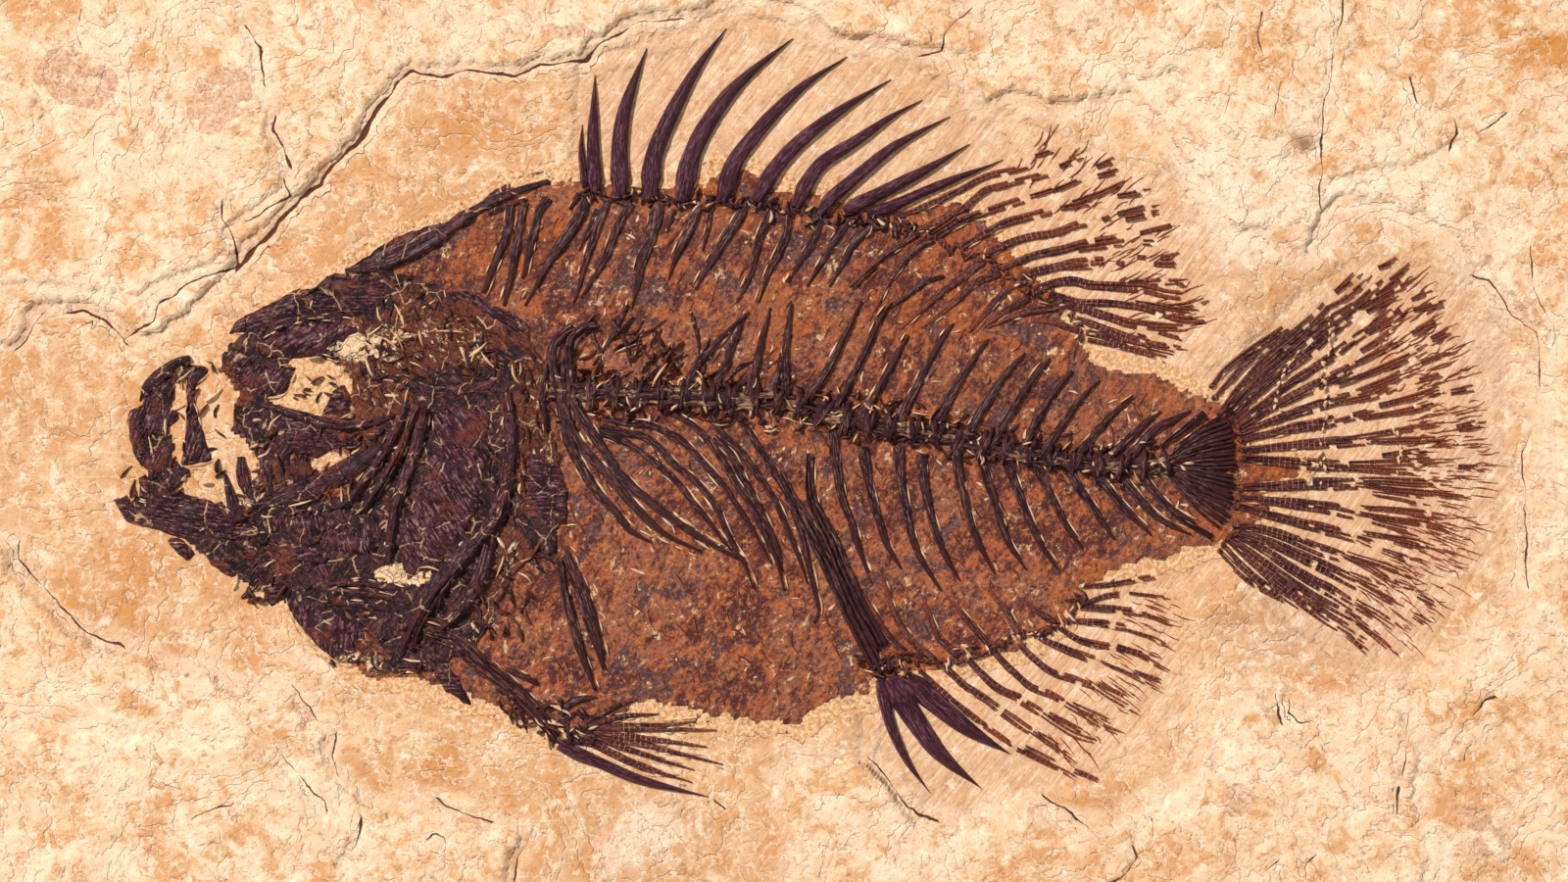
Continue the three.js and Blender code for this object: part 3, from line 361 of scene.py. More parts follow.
secondLayers = [
    [
        [-92, 14.5], [-76, 15.5], [-66, 14], [-63, 15.5], [-55.8, 18.8], [-56.3, 21], [-53.9, 23],
        [-50.8, 25.2], [-50.8, 28.5], [-52, 33.3], [-53.3, 36.5], [-53.1, 39.9], [-55, 42.8],
        [-56, 56], [-92, 56],
    ],
    [
        [24, 56], [25.5, 41.2], [29, 40.7], [34, 36.4], [37, 36.2], [40, 37], [41.5, 34],
        [43.5, 31.2], [49, 28.5], [55.2, 25.8], [60, 26.9], [65.5, 27.6], [68, 29.6], [70.6, 28.4],
        [71.6, 24], [74.6, 21.6], [76.2, 15.5], [78.4, 11.4], [77.8, -2], [80, -8], [92, -10], [92, 56],
    ],
    [
        [16.5, -56], [16.8, -45], [15.6, -42.5], [19.5, -39.6], [24.7, -37.8], [31, -40.2],
        [34, -39.9], [40, -36.8], [43, -34.6], [44.2, -30.6], [46.2, -27.4], [50.5, -26.6],
        [52.8, -28.4], [56, -28.9], [60.5, -26.6], [63.5, -27], [65.5, -31], [64.8, -36],
        [66.2, -42], [66, -56],
    ],
    [
        [-92, -30], [-70, -29], [-62, -30.5], [-55, -30.3], [-51.4, -31.6], [-46.6, -38],
        [-43, -40], [-44.5, -43], [-44, -56], [-92, -56],
    ],
]

# Cracks: width and depth, then the line
cracks = [
    (0.2, 0.25, [[-71.4, 44], [-72.2, 42.1], [-71.6, 40.1]]),
    (0.3, 0.35, [[-54.9, 42.5], [-53.3, 40.3], [-53.3, 38.2], [-53.1, 36.2]]),
    (0.3, 0.3, [[-51.9, 33.1], [-52, 31.7], [-51.1, 29.8], [-50.4, 27.8]]),
    (0.25, 0.3, [[-51.1, 26.5], [-50.4, 24.9], [-52.9, 23.5], [-54.8, 22.2]]),
    (0.3, 0.35, [[-56.9, 24.7], [-57.4, 22.6], [-56.4, 21.2], [-55.7, 19.8], [-55.7, 17.7]]),
    (0.3, 0.4, [[-55.8, 17.7], [-59.5, 16.7], [-61.9, 15], [-64, 14], [-64.4, 12.2], [-66.9, 10.9]]),
    (0.5, 0.5, [[-56, 17.2], [-53.5, 20], [-51, 22.8], [-49.3, 24.8], [-47.3, 26.2], [-46.2, 28.2],
                [-43.1, 31], [-41.5, 33.8], [-39.4, 36.6], [-38, 37.9]]),
    (0.35, 0.35, [[-38, 37.9], [-35, 37.2], [-32, 38], [-27.2, 37.1], [-25, 38.6], [-20.3, 38.9],
                 [-19, 40.7], [-17, 41.4], [-15.5, 42.7], [-10, 43.2]]),
    (0.25, 0.25, [[-75.5, 13], [-76.7, 11.8], [-77.5, 10.1], [-78.4, 9.3]]),
    (0.3, 0.3, [[-74.7, 12.6], [-71.4, 13.2], [-69.3, 12.4], [-66.9, 9.9]]),
    (0.25, 0.25, [[19.3, 43.8], [17.8, 42.7], [16.4, 41.3], [16.3, 39.7], [13.9, 39.3]]),
    (0.25, 0.25, [[56.8, 45], [56.7, 42.5], [56.1, 39.6], [55.6, 36.7], [54.8, 34.2], [54.8, 28.1],
                  [54.5, 25.6], [54.7, 23.5]]),
    (0.2, 0.2, [[48.8, 43.9], [48.4, 41], [48.8, 39.6]]),
    (0.15, 0.2, [[50.6, 36.7], [50, 33]]),
    (0.25, 0.25, [[68.3, 32.8], [68.5, 31.5], [68, 30.6], [67.9, 29.6]]),
    (0.25, 0.25, [[70.7, 31.5], [72.1, 32.3], [73.5, 33.3]]),
    (0.2, 0.2, [[45.4, 34.8], [45, 33.5]]),
    (0.2, 0.2, [[63.8, 36.9], [64.2, 34.6]]),
    (0.3, 0.3, [[-78, -10.2], [-78, -12], [-76, -14.3], [-74.2, -16.5], [-71, -19.6], [-67.4, -21]]),
    (0.25, 0.3, [[-50.2, -25.2], [-49, -26.8], [-47.7, -28.6]]),
    (0.25, 0.3, [[-51.3, -32], [-49.5, -34], [-46.8, -36.7], [-46.6, -38]]),
    (0.2, 0.25, [[-45.7, -30], [-46.1, -32.2], [-45.5, -34]]),
    (0.3, 0.3, [[-43, -38.5], [-43.2, -40.3], [-43.9, -41.6]]),
    (0.2, 0.2, [[-35.4, -36.5], [-34.2, -37.6], [-29.8, -38.9]]),
    (0.2, 0.2, [[-36.4, -40.6], [-35.6, -40.1], [-34.6, -40.4], [-34.3, -41.3], [-35, -42], [-36, -41.8]]),
    (0.3, 0.3, [[-25.7, -39.6], [-27.1, -42.5], [-27.5, -44.8]]),
    (0.15, 0.2, [[-63.2, -35.1], [-61.6, -35.5]]),
    (0.2, 0.2, [[-60.3, -38.3], [-56, -37.1]]),
    (0.3, 0.35, [[8.8, -32.4], [9.8, -33.3], [10.6, -34.3], [11.6, -35.8], [12.7, -37.4],
                 [14.2, -38.3], [15.6, -38.8]]),
    (0.2, 0.25, [[-7.2, -36.7], [-6.1, -37.7]]),
    (0.3, 0.3, [[26.4, -36.1], [28.9, -37.7], [31, -39.4], [32.1, -40.8]]),
    (0.35, 0.35, [[35.7, -41.5], [36, -42.6], [35, -44], [33.2, -44.9]]),
    (0.25, 0.25, [[37.5, -38.7], [37.6, -40.3]]),
    (0.2, 0.2, [[20.3, -44.9], [21.7, -44.6]]),
    (0.25, 0.3, [[50.3, -25.7], [50.5, -27.3], [50.8, -28.7]]),
    (0.25, 0.3, [[51.7, -26.3], [51.6, -27.7], [52.7, -28.7], [54, -28.5]]),
    (0.2, 0.25, [[63.8, -28], [63.3, -31], [62.7, -34]]),
    (0.3, 0.35, [[62.5, -35.3], [62.4, -38]]),
    (0.3, 0.35, [[72.3, -26.3], [71.2, -26.5], [70.8, -27.3], [70.2, -27.8]]),
    (0.2, 0.25, [[70, -30.7], [69.3, -31.5], [69.1, -32.5]]),
    (0.2, 0.2, [[54.2, -42], [53, -43.3], [53, -44.3]]),
    (0.2, 0.2, [[50.3, -43], [49, -43.7]]),
    (0.2, 0.2, [[76.3, 1], [75.3, -1.3], [75.8, -5.7], [75.7, -12.3], [76, -15]]),
    (0.2, 0.2, [[70.3, 17], [72.1, 16.3], [74.3, 12.7], [76.8, 10.9], [77.1, 5.5]]),
    (0.2, 0.2, [[76, 19.9], [76.4, 15.2], [78.2, 12], [78.6, 8.7]]),
]

# Soft patches: centre, half width, half height, strength
ochrePatches = [
    [22.5, 40.5, 3, 1.2, 1], [22, 33.4, 2.2, 0.9, 1], [56.5, 28.5, 2, 2, 1], [61.5, 28.2, 2, 1.6, 1],
    [59.5, 37, 3, 1.4, 0.8], [77, 41.5, 4.5, 3, 1.2], [-35, -32.6, 3, 2, 0.7], [17.7, -39.7, 3, 2, 0.8],
    [-62, 3, 9, 8, 0.5], [-66, -14, 10, 5, 0.4], [40, 25.5, 3, 3, 0.5], [72, -35, 6, 5, 0.5],
    [-30, 33, 8, 4, 0.5], [-72, 24, 7, 5, 0.4], [28, -42, 6, 3, 0.5],
]
brownPatches = [
    [-72.5, 36.8, 3, 1.6, 0.5], [72.3, -40.7, 2, 1.4, 0.8], [39.2, 27.4, 1.3, 1, 0.7],
    [-52, 27.5, 1, 4, 0.4], [-13, 39.4, 1.2, 1, 0.4], [-57, 12.8, 2, 1.2, 0.5], [71.5, 0, 2.6, 13, 0.42],
    [52, -19, 9, 3, 0.42], [66, 13, 5, 4, 0.3], [66, -14, 5, 4, 0.3], [44, 12, 5, 6, 0.25],
]
palePatches = [
    [47.5, 24.5, 7, 5.5, 1.2], [62.5, 24.7, 6.5, 2.4, 1],
    [-14.2, -40, 4.2, 4, 1.2], [47, -33.2, 2, 2.6, 1], [-47, -22.5, 4.5, 3.5, 0.8], [72, 5, 2.4, 15, 0.5],
    [55, -21, 8, 2.4, 0.35], [-66, 33, 8, 6, 0.5], [-40, 42, 9, 2.5, 0.5], [10, -41, 5, 3, 0.7],
]
discs = [
    [-73.4, 37.2, 3.2, 1.9, 1], [-70.4, 36.2, 2.6, 1.9, 1], [-57.5, 34.4, 2.6, 3, 0.8], [-76.6, 25.6, 1.8, 1.4, 0.7],
    [46.5, -36.4, 2, 1.6, 0.7], [70, -38, 3, 2, 0.7], [-22, 41.6, 3, 1.2, 0.7],
]
# Small pits: place and radius
pits = [
    [-69.4, 37.1, 0.5], [-76.4, 34.5, 0.6], [71.9, 18.5, 0.6], [-59, -32, 0.4], [-59.7, -35.8, 0.35],
    [-60.9, -23.9, 0.35], [6.6, -44.2, 0.4], [53.1, 30.3, 1.5],
]

# Outline of the film of scales, from the nape over the back and round the belly
filmOutline = [
    [-44.6, 17.8], [-41.2, 19.9], [-38, 21.7], [-34.5, 22.6], [-31.4, 24.3], [-28.2, 26.7], [-21, 27.6],
    [-18.4, 27.2], [-14.6, 26.6], [-10, 26.7], [-6.5, 28.4], [-3, 28.2], [-0.5, 26.4], [3.5, 26], [8, 24.8],
    [12, 24], [15, 25.2], [18, 25.4], [20, 23.4], [22.6, 21], [24.6, 19.4], [26.2, 17.4], [27.8, 15.4],
    [29.4, 13.2], [32, 8.5], [38, 7.5], [43.2, 5], [45.4, 4.6], [48, 4.4], [49.4, 2.2], [48.6, 0.2], [50, -1.4],
    [53.6, -2.3], [53.2, -4.1], [49.8, -5.2], [50.8, -7.4], [48.6, -9], [46.4, -10.8], [44, -11.4], [38, -12.8],
    [34, -14], [31, -15.5], [29, -19], [24, -22], [17, -24], [10, -25], [9, -27], [7, -26.5], [3.5, -28],
    [2, -29.5], [-6, -29], [-11, -28], [-14, -27.5], [-20, -30], [-24, -30], [-28.4, -28.3], [-34, -26],
    [-37.5, -25], [-43, -24.5], [-46, -22.5], [-50, -18], [-51.2, -16], [-52.6, -12.8], [-53.6, -9.6],
    [-53.4, -6.6], [-54.6, -3], [-53.4, 0], [-54, 3.4], [-55.6, 6], [-57.2, 8.6], [-56.4, 10.8], [-53.8, 12.8],
    [-50.2, 14.8], [-46.8, 16.6],
]
# The prepared ground round the fins
finArea = [
    [-21, 27], [-20, 38], [-6, 43], [8, 40], [19, 34], [34, 28], [44, 22], [45, 12], [43, 8.6],
    [48, 9], [54, 15], [60, 18], [68, 16], [73, 8], [73, -8], [67, -18], [63, -24], [55, -20],
    [46, -13], [41, -16], [41, -26], [34, -33], [24, -35], [17, -38], [8, -33], [10, -24],
    [30, -15], [46, -9], [46, 1], [30, 12], [16, 25],
]


def patches(x, y, spots):
    # a mask of soft-edged, uneven ellipses
    total = np.zeros(np.shape(x))
    for cx, cy, rx, ry, strength in spots:
        away = np.sqrt(((x - cx) / rx) ** 2 + ((y - cy) / ry) ** 2)
        total += strength * smooth(1.5 + 0.5 * cloud(x, y, 3, 5) - away, 0, 0.8)
    return np.clip(total, 0, 1.3)


# Lines along the broken edges that face the light: a low lip, painted with highlight
litEdgeLines = [
    [[36, -40], [40, -35.3], [41.3, -31.3], [43.1, -26.9], [45.3, -24.2], [47.6, -22.9], [50.2, -23], [52.9, -24.9],
     [55.1, -26.5], [57.8, -26.7], [60, -25.8], [62.2, -24.9], [64, -26.4]],
    [[50.4, -24.6], [46.7, -25.3], [44.6, -26.4], [44.4, -28.7], [43, -33], [42, -38]],
    [[64.8, -26], [64.4, -29.6], [63.1, -32.2], [64.2, -34.9], [64.2, -38.4], [65.6, -41.1], [65.8, -46]],
    [[75.6, -8], [75.6, -13.6], [76.4, -16.2], [75.1, -18.9]], [[50.4, -23.4], [50.6, -27], [52.4, -28.6]],
    [[70, 19.6], [71.8, 16.8], [74.6, 15], [76.4, 12.6]], [[75.4, 8], [75, 4], [76, 0.6], [75.2, -3]],
    [[-64, -38.4], [-58.8, -37], [-56, -38.6]], [[-80, -22.6], [-74, -24.6], [-71, -27.4], [-66, -28.4]],
]


def rockFields(x, y):
    # height above the bedding plane, and the masks that colour the rock
    wx = x + 0.55 * cloud(x, y, 3.2, 1) + 0.16 * cloud(x, y, 0.8, 2, 2)
    wy = y + 0.55 * cloud(x, y, 3.2, 3) + 0.16 * cloud(x, y, 0.8, 4, 2)
    reach = slabLook["reach"]
    first = np.maximum(depthIn(wx, wy, upperLayer, reach), depthIn(wx, wy, lowerLeftLayer, reach))
    second = np.max([depthIn(wx, wy, outline, reach) for outline in secondLayers], axis=0)
    lag = np.maximum(0.7 + 0.9 * cloud(x, y, 9, 6, 3), 0)

    def step(inside):
        # most of a step comes at its broken edge, and the rest a little further in
        return 0.84 * smooth(inside, 0, 0.24) + 0.16 * smooth(inside - lag, 0, 0.3)

    onLayer = smooth(first, -0.4, 1.2)

    flakes, level = terrace(0.5 + 0.34 * cloud(wx, wy, 8.5, 7, 5, 0.56), 9, 0.09)
    chips, chipLevel = terrace(0.5 + 0.34 * cloud(wx, wy, 3.1, 8, 5, 0.6), 7, 0.12)
    height = slabLook["firstStep"] * step(first) + slabLook["secondStep"] * step(second)
    height += (flakes - 0.5) * (0.16 + 0.5 * onLayer) + (chips - 0.5) * (0.06 + 0.24 * onLayer)
    height += 0.1 * cloud(x, y, 26, 9, 3) + 0.035 * cloud(x, y, 0.9, 10, 3)

    gap, across, wide = np.zeros(np.shape(x)), np.ones(np.shape(x)), np.zeros(np.shape(x))
    bentX, bentY = wx * 0.45 + x * 0.55, wy * 0.45 + y * 0.55
    for width, depth, line in cracks:
        away, side, past = besideLine(bentX, bentY, line, 1.0)
        half = 0.5 * width * np.maximum(1 + 0.7 * cloud(x, y, 1.7, 12, 2), 0.25)
        height -= slabLook["crackDepth"] * depth * np.exp(-(away / np.maximum(half, 0.16)) ** 2)
        closer = away < np.abs(across)
        across = np.where(closer, side * away, across)
        wide = np.where(closer, half * (1 - smooth(past, 0, 0.3)), wide)
    # painted highlight along the broken edges of both upper layers
    edgeHighlight = 1 - smooth(np.minimum(np.abs(first - 0.2), np.abs(second - 0.2)), 0, 0.32)
    lipX, lipY = wx + 0.55 * cloud(x, y, 1.9, 15, 3), wy + 0.55 * cloud(x, y, 1.9, 16, 3)
    for line in litEdgeLines:
        away, _, past = besideLine(lipX, lipY, line, 1.0)
        lip = (1 - smooth(away, 0.05, 0.3)) * (1 - smooth(past, 0, 0.3)) * smooth(cloud(x, y, 4, 17, 3), -0.5, 0.1)
        edgeHighlight, height = np.maximum(edgeHighlight, lip), height + slabLook["lipRise"] * lip
    for cx, cy, radius in pits:
        hollow = np.exp(-((x - cx) ** 2 + (y - cy) ** 2) / (radius * radius))
        height -= slabLook["pitDepth"] * min(radius, 0.8) * hollow
        gap = np.maximum(gap, 0.6 * hollow)

    tone = 0.42 * np.sin(level * 2.4) + 0.3 * np.sin(chipLevel * 4.1 + level) + 0.5 * cloud(x, y, 14, 13, 4)
    fins = depthIn(x, y, finArea, reach)
    return {
        "height": height,
        "gap": gap,
        "edgeHighlight": edgeHighlight,
        "across": across,
        "wide": wide,
        "tone": tone,
        "layer": onLayer,
        "ochre": patches(x, y, ochrePatches),
        "stain": patches(x, y, brownPatches),
        "pale": patches(x, y, palePatches),
        "disc": patches(x, y, discs),
        "worked": smooth(fins, -2.5, 1.5) * (1 - onLayer),
    }


def filmDepth(x, y):
    # how far inside the film's torn edge a point is
    wx = x + 0.5 * cloud(x, y, 2.6, 21, 4, 0.6) + 0.25 * cloud(x, y, 0.9, 22, 2)
    wy = y + 0.5 * cloud(x, y, 2.6, 23, 4, 0.6) + 0.25 * cloud(x, y, 0.9, 24, 2)
    return depthIn(wx, wy, filmOutline, slabLook["reach"])


# Meshes from arrays

def meshObject(name, points, triangles, fields, material):
    mesh = bpy.data.meshes.new(name)
    count = len(triangles)
    mesh.vertices.add(len(points))
    mesh.vertices.foreach_set("co", (np.asarray(points) * mm).astype(np.float32).ravel())
    mesh.loops.add(3 * count)
    mesh.loops.foreach_set("vertex_index", np.asarray(triangles, np.int32).ravel())
    mesh.polygons.add(count)
    mesh.polygons.foreach_set("loop_start", np.arange(0, 3 * count, 3, dtype=np.int32))
    mesh.update(calc_edges=True)
    mesh.shade_smooth()
    writeFields(mesh, fields)
    mesh.materials.append(material)
    piece = bpy.data.objects.new(name, mesh)
    bpy.context.scene.collection.objects.link(piece)
    return piece


def writeFields(mesh, fields):
    # values for each point, which the finishes read
    for name, values in fields.items():
        values = np.asarray(values, np.float32)
        if values.ndim == 1:
            mesh.attributes.new(name, "FLOAT", "POINT").data.foreach_set("value", values)
        else:
            mesh.attributes.new(name, "FLOAT_VECTOR", "POINT").data.foreach_set("vector", values.ravel())


def standFor(piece, slotName, *nodes):
    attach(piece, "root")
    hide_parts(*nodes)
    return piece


def gridFaces(rows, columns):
    corner = (np.arange(rows - 1)[:, None] * columns + np.arange(columns - 1)).ravel()
    first = np.stack([corner, corner + 1, corner + columns + 1], axis=1)
    second = np.stack([corner, corner + columns + 1, corner + columns], axis=1)
    return np.concatenate([first, second])


def ringFaces(rings, size):
    faces = []
    here, ahead = np.arange(size), (np.arange(size) + 1) % size
    for ring in range(rings - 1):
        low, high = ring * size, (ring + 1) * size
        faces.append(np.stack([low + here, low + ahead, high + ahead], axis=1))
        faces.append(np.stack([low + here, high + ahead, high + here], axis=1))
    return np.concatenate(faces)


def closedSheet(faces, count):
    # the faces of a sheet, the same again on an underside of as many points, and walls round its border
    directed = np.concatenate([faces[:, [0, 1]], faces[:, [1, 2]], faces[:, [2, 0]]])
    _, first, shared = np.unique(np.sort(directed, axis=1), axis=0, return_index=True, return_counts=True)
    rim = directed[first[shared == 1]]
    return np.concatenate([
        faces, faces[:, ::-1] + count,
        np.stack([rim[:, 1], rim[:, 0], rim[:, 0] + count], axis=1),
        np.stack([rim[:, 1], rim[:, 0] + count, rim[:, 1] + count], axis=1),
    ])


def tornSheet(outline, depthOf, look):
    # a grid over an outline: the triangles that reach inside it, with their outer corners pulled to its edge
    low, high = np.min(outline, axis=0) - look["margin"], np.max(outline, axis=0) + look["margin"]
    columns, rows = ((high - low) / look["spacing"]).astype(int)
    x, y = np.meshgrid(np.linspace(low[0], high[0], columns), np.linspace(low[1], high[1], rows))
    inside = depthOf(x, y)
    uphillY, uphillX = np.gradient(inside, y[1, 0] - y[0, 0], x[0, 1] - x[0, 0])
    slope = np.maximum(np.hypot(uphillX, uphillY), look["leastSlope"])
    outside = (inside < look["edge"]) & (inside > look["furthest"])
    short = np.where(outside, np.minimum(look["edge"] - inside, look["pull"]), 0)
    x, y = (x + short * uphillX / slope ** 2).ravel(), (y + short * uphillY / slope ** 2).ravel()
    faces = gridFaces(rows, columns)
    faces = faces[(inside.ravel() > look["edge"])[faces].any(axis=1)]
    used = np.unique(faces)
    number = np.full(len(x), -1)
    number[used] = np.arange(len(used))
    return x[used], y[used], number[faces]


# The slab

def rockLook(f, at):
    # colour and relief of the split limestone
    tone, layer, worked = f.field("tone"), f.field("layer"), f.field("worked")
    coarse = f.noise(at, 6, 4, 0.62, 0.3)
    grain = f.noise(at, 0.42, 4, 0.74)
    flecks = f.noise(at, 1.1, 5, 0.74, 0.5)
    mottle = f.noise(at, 2.4, 4, 0.7, 0.8)
    flakes = f.noise(at, 13, 6, 0.56, 0.25) * 15
    chips = f.noise(at, 4.2, 4, 0.6, 0.3) * 8
    warmth = f.ease(0.5 + 0.3 * tone + 1.1 * (coarse - 0.5) + 0.5 * (mottle - 0.5), 0.0, 1.0)
    onBed = f.mix(warmth, paint(236, 196, 154), paint(202, 146, 98))
    onTop = f.mix(warmth, paint(246, 218, 184), paint(228, 182, 138))
    colour = f.mix(layer, onBed, onTop)
    colour = f.mix(f.ease(coarse + 0.4 * (flecks - 0.5), 0.54, 0.64) * 0.7, colour, paint(214, 150, 90))
    colour = f.mix(f.ease(mottle, 0.52, 0.64) * 0.75, colour, paint(212, 154, 98))
    colour = f.mix(f.ease(mottle, 0.46, 0.34) * 0.55, colour, paint(253, 232, 202))
    colour = f.mix(f.field("ochre") * f.ease(coarse + 0.5 * (mottle - 0.5), 0.36, 0.6) * 0.8, colour,
                   paint(206, 138, 66))
    colour = f.mix(f.field("pale") * f.ease(coarse - 0.6 * (mottle - 0.5), 0.36, 0.54) * 0.55, colour,
                   paint(250, 228, 202))
    colour = f.mix(f.field("stain") * f.ease(mottle, 0.36, 0.54) * 0.75, colour, paint(170, 126, 96))
    disc = f.ease(f.field("disc") + 0.3 * (flecks - 0.5), 0.4, 0.5)
    colour = f.mix(disc * 0.75, colour, f.mix(f.ease(grain, 0.45, 0.6), paint(222, 176, 140), paint(184, 134, 104)))
    streak = f.noise(f.scaled(f.turned(at, -52), (0.22, 2.4, 1)), 1.0, 4, 0.7)
    colour = f.mix(worked * 0.5, colour, paint(232, 190, 152))
    colour = f.mix(worked * f.ease(streak, 0.47, 0.62) * 0.55, colour, paint(196, 140, 108))
    colour = f.mix(worked * f.ease(streak, 0.46, 0.36) * 0.4, colour, paint(252, 224, 192))
    # painted shade along the flakes' risers, and painted highlight just beside them
    edges = f.ease(f.part(flakes), 0.13, 0.0) * f.ease(coarse, 0.4, 0.56) * (1 - 0.7 * worked)
    rims = f.ease(f.part(flakes), 0.8, 1.0) * (1 - worked)
    colour = f.mix(rims * 0.4, colour, paint(255, 240, 218))
    colour = f.mix(edges * 0.42, colour, paint(184, 126, 84))
    # painted shade on the chips' risers
    chipEdgeShade = f.ease(f.part(chips), 0.16, 0.0) * f.ease(flecks, 0.46, 0.6)
    colour = f.mix(chipEdgeShade * 0.16, colour, paint(186, 128, 84))
    colour = f.mix(f.ease(flecks, 0.57, 0.69) * 0.75, colour, paint(186, 126, 78))
    colour = f.mix(f.ease(flecks, 0.44, 0.34) * 0.6, colour, paint(254, 238, 214))
    colour = f.mix(f.ease(grain, 0.56, 0.72) * 0.7, colour, paint(166, 108, 68))
    # painted highlight along the broken edges and lips
    colour = f.mix(f.field("edgeHighlight") * f.ease(mottle, 0.42, 0.52) * 0.75, colour, paint(255, 240, 216))
    across = f.field("across") + 0.34 * (flecks - 0.5)
    # painted shade in the cracks
    crackShade = f.ease(0.7 * f.field("wide") - across.changed("ABSOLUTE"), 0.0, 0.08)
    colour = f.mix(crackShade, colour, paint(92, 44, 26))
    colour = f.mix(f.ease(f.field("gap"), 0.15, 0.85) * 0.9, colour, paint(96, 52, 32))
    height = (0.3 * grain + 0.5 * flecks + 0.4 * mottle + worked * streak * 0.5 - 0.9 * crackShade
              + (1 - 0.75 * worked) * (0.26 * f.ledges(flakes) + 0.12 * f.ledges(chips)))
    return colour, height


def limestoneFinish():
    f = Finish("limestone")
    at = f.place()
    colour, height = rockLook(f, at)
    up = f.node("ShaderNodeSeparateXYZ", {}, {0: at}, out=2)
    side = f.ease(up, bedHeight - 0.9, bedHeight - 1.9)
    bands = f.noise(f.scaled(at, (0.06, 0.06, 1.3)), 1.0, 4, 0.7)
    colour = f.mix(side * 0.55, colour, paint(190, 142, 98))
    colour = f.mix(side * f.ease(bands, 0.46, 0.6) * 0.7, colour, paint(150, 100, 64))
    return f.finish(colour, 0.92, height, 0.36)


def squeezed(x, y, a, b):
    # pulls the corners of a rectangular grid in to the slab's round corners
    r = slabLook["corner"]
    cx, cy = np.maximum(np.abs(x) - (a - r), 0), np.maximum(np.abs(y) - (b - r), 0)
    reach = np.maximum(cx, cy)
    length = np.sqrt(cx * cx + cy * cy)
    share = np.where(length > 1e-6, reach / np.maximum(length, 1e-6), 1.0)
    return (np.sign(x) * (np.minimum(np.abs(x), a - r) + cx * share),
            np.sign(y) * (np.minimum(np.abs(y), b - r) + cy * share))


def chipDepth(x, y, level):
    # how far the broken side stands back from the slab's outline at a height of 0 to 1
    bed = np.floor(level * slabLook["sideBeds"])
    shift = 17.3 * bed
    ledge = 0.55 + 0.5 * math.sin(bed * 2.9)
    return np.clip(ledge + 0.75 * cloud(x + shift, y - shift, 11, 31, 3)
                   + 0.3 * cloud(x * 1.7 + shift, y * 1.7, 2.2, 32, 3), 0, 2.4)


def drawnIn(x, y, back, a, b):
    # moves points in towards the slab's middle
    length = np.maximum(np.hypot(x / a, y / b), 0.5)
    return x - back * (x / a) / length, y - back * (y / b) / length


def thin(piece, kept):
    # keeps a share of the triangles
    piece.modifiers.new("fewer", "DECIMATE").ratio = kept
    graph = bpy.context.evaluated_depsgraph_get()
    mesh = bpy.data.meshes.new_from_object(piece.evaluated_get(graph))
    piece.modifiers.clear()
    piece.data = mesh
    return mesh


def addSlab():
    a, b = (slabHigh.x - slabLow.x) / 2, (slabHigh.y - slabLow.y) / 2
    columns, rows = int(2 * a / slabLook["spacing"]), int(2 * b / slabLook["spacing"])
    x, y = np.meshgrid(np.linspace(-a, a, columns), np.linspace(-b, b, rows))
    loop = np.concatenate([
        np.arange(columns - 1),
        np.arange(rows - 1) * columns + columns - 1,
        (rows - 1) * columns + np.arange(columns - 1, 0, -1),
        np.arange(rows - 1, 0, -1) * columns,
    ])
    inward = np.minimum(a - np.abs(x), b - np.abs(y))
    x, y = squeezed(x, y, a, b)
    sideX, sideY = x.ravel()[loop], y.ravel()[loop]
    edge = 1 - smooth(inward, 0, slabLook["edgeBlend"])
    x, y = drawnIn(x, y, chipDepth(x, y, 0.99) * edge ** 3, a, b)
    rise = rockFields(x.ravel(), y.ravel())["height"].reshape(x.shape)
    z = bedHeight + rise - 0.5 * (1 - smooth(inward, 0, 1.0))
    top = np.stack([x.ravel(), y.ravel(), z.ravel()], axis=1)

    levels, rings = slabLook["sideLevels"], []
    for k in range(1, levels + 1):
        share = 1 - k / levels
        back = chipDepth(sideX, sideY, share) + slabLook["footBevel"] * (1 - smooth(np.array(share), 0, 0.06))
        rings.append(np.stack([*drawnIn(sideX, sideY, back, a, b), top[loop, 2] * share], axis=1))
    middle = np.zeros((1, 3))
    points = np.concatenate([top, *rings, middle])
    start, size = len(top), len(loop)
    here, ahead = np.arange(size), (np.arange(size) + 1) % size
    last = start + (levels - 1) * size
    triangles = np.concatenate([
        gridFaces(rows, columns),
        np.stack([loop, start + here, start + ahead], axis=1),
        np.stack([loop, start + ahead, loop[ahead]], axis=1),
        ringFaces(levels, size)[:, ::-1] + start,
        np.stack([last + ahead, last + here, np.full(size, len(points) - 1)], axis=1),
    ])

    piece = meshObject("limestoneSlab", points, triangles, {}, limestoneFinish())
    mesh = thin(piece, slabLook["trianglesKept"] / len(triangles))
    final = np.zeros(3 * len(mesh.vertices))
    mesh.vertices.foreach_get("co", final)
    final = final.reshape(-1, 3) / mm
    fields = rockFields(final[:, 0], final[:, 1])
    fields["gap"] = fields["gap"] * smooth(final[:, 2], bedHeight - 1.5, bedHeight - 0.9)
    del fields["height"]
    writeFields(mesh, fields)
    print("slab:", len(mesh.polygons), "triangles")
    return standFor(piece, "limestone", "limestone_slab")


addSlab()


# The film of scales

filmLook = {
    "thick": 0.16, "under": 0.12, "margin": 1.5, "spacing": 0.36,
    "edge": -0.3, "furthest": -1.2, "pull": 0.5, "leastSlope": 0.4,
}


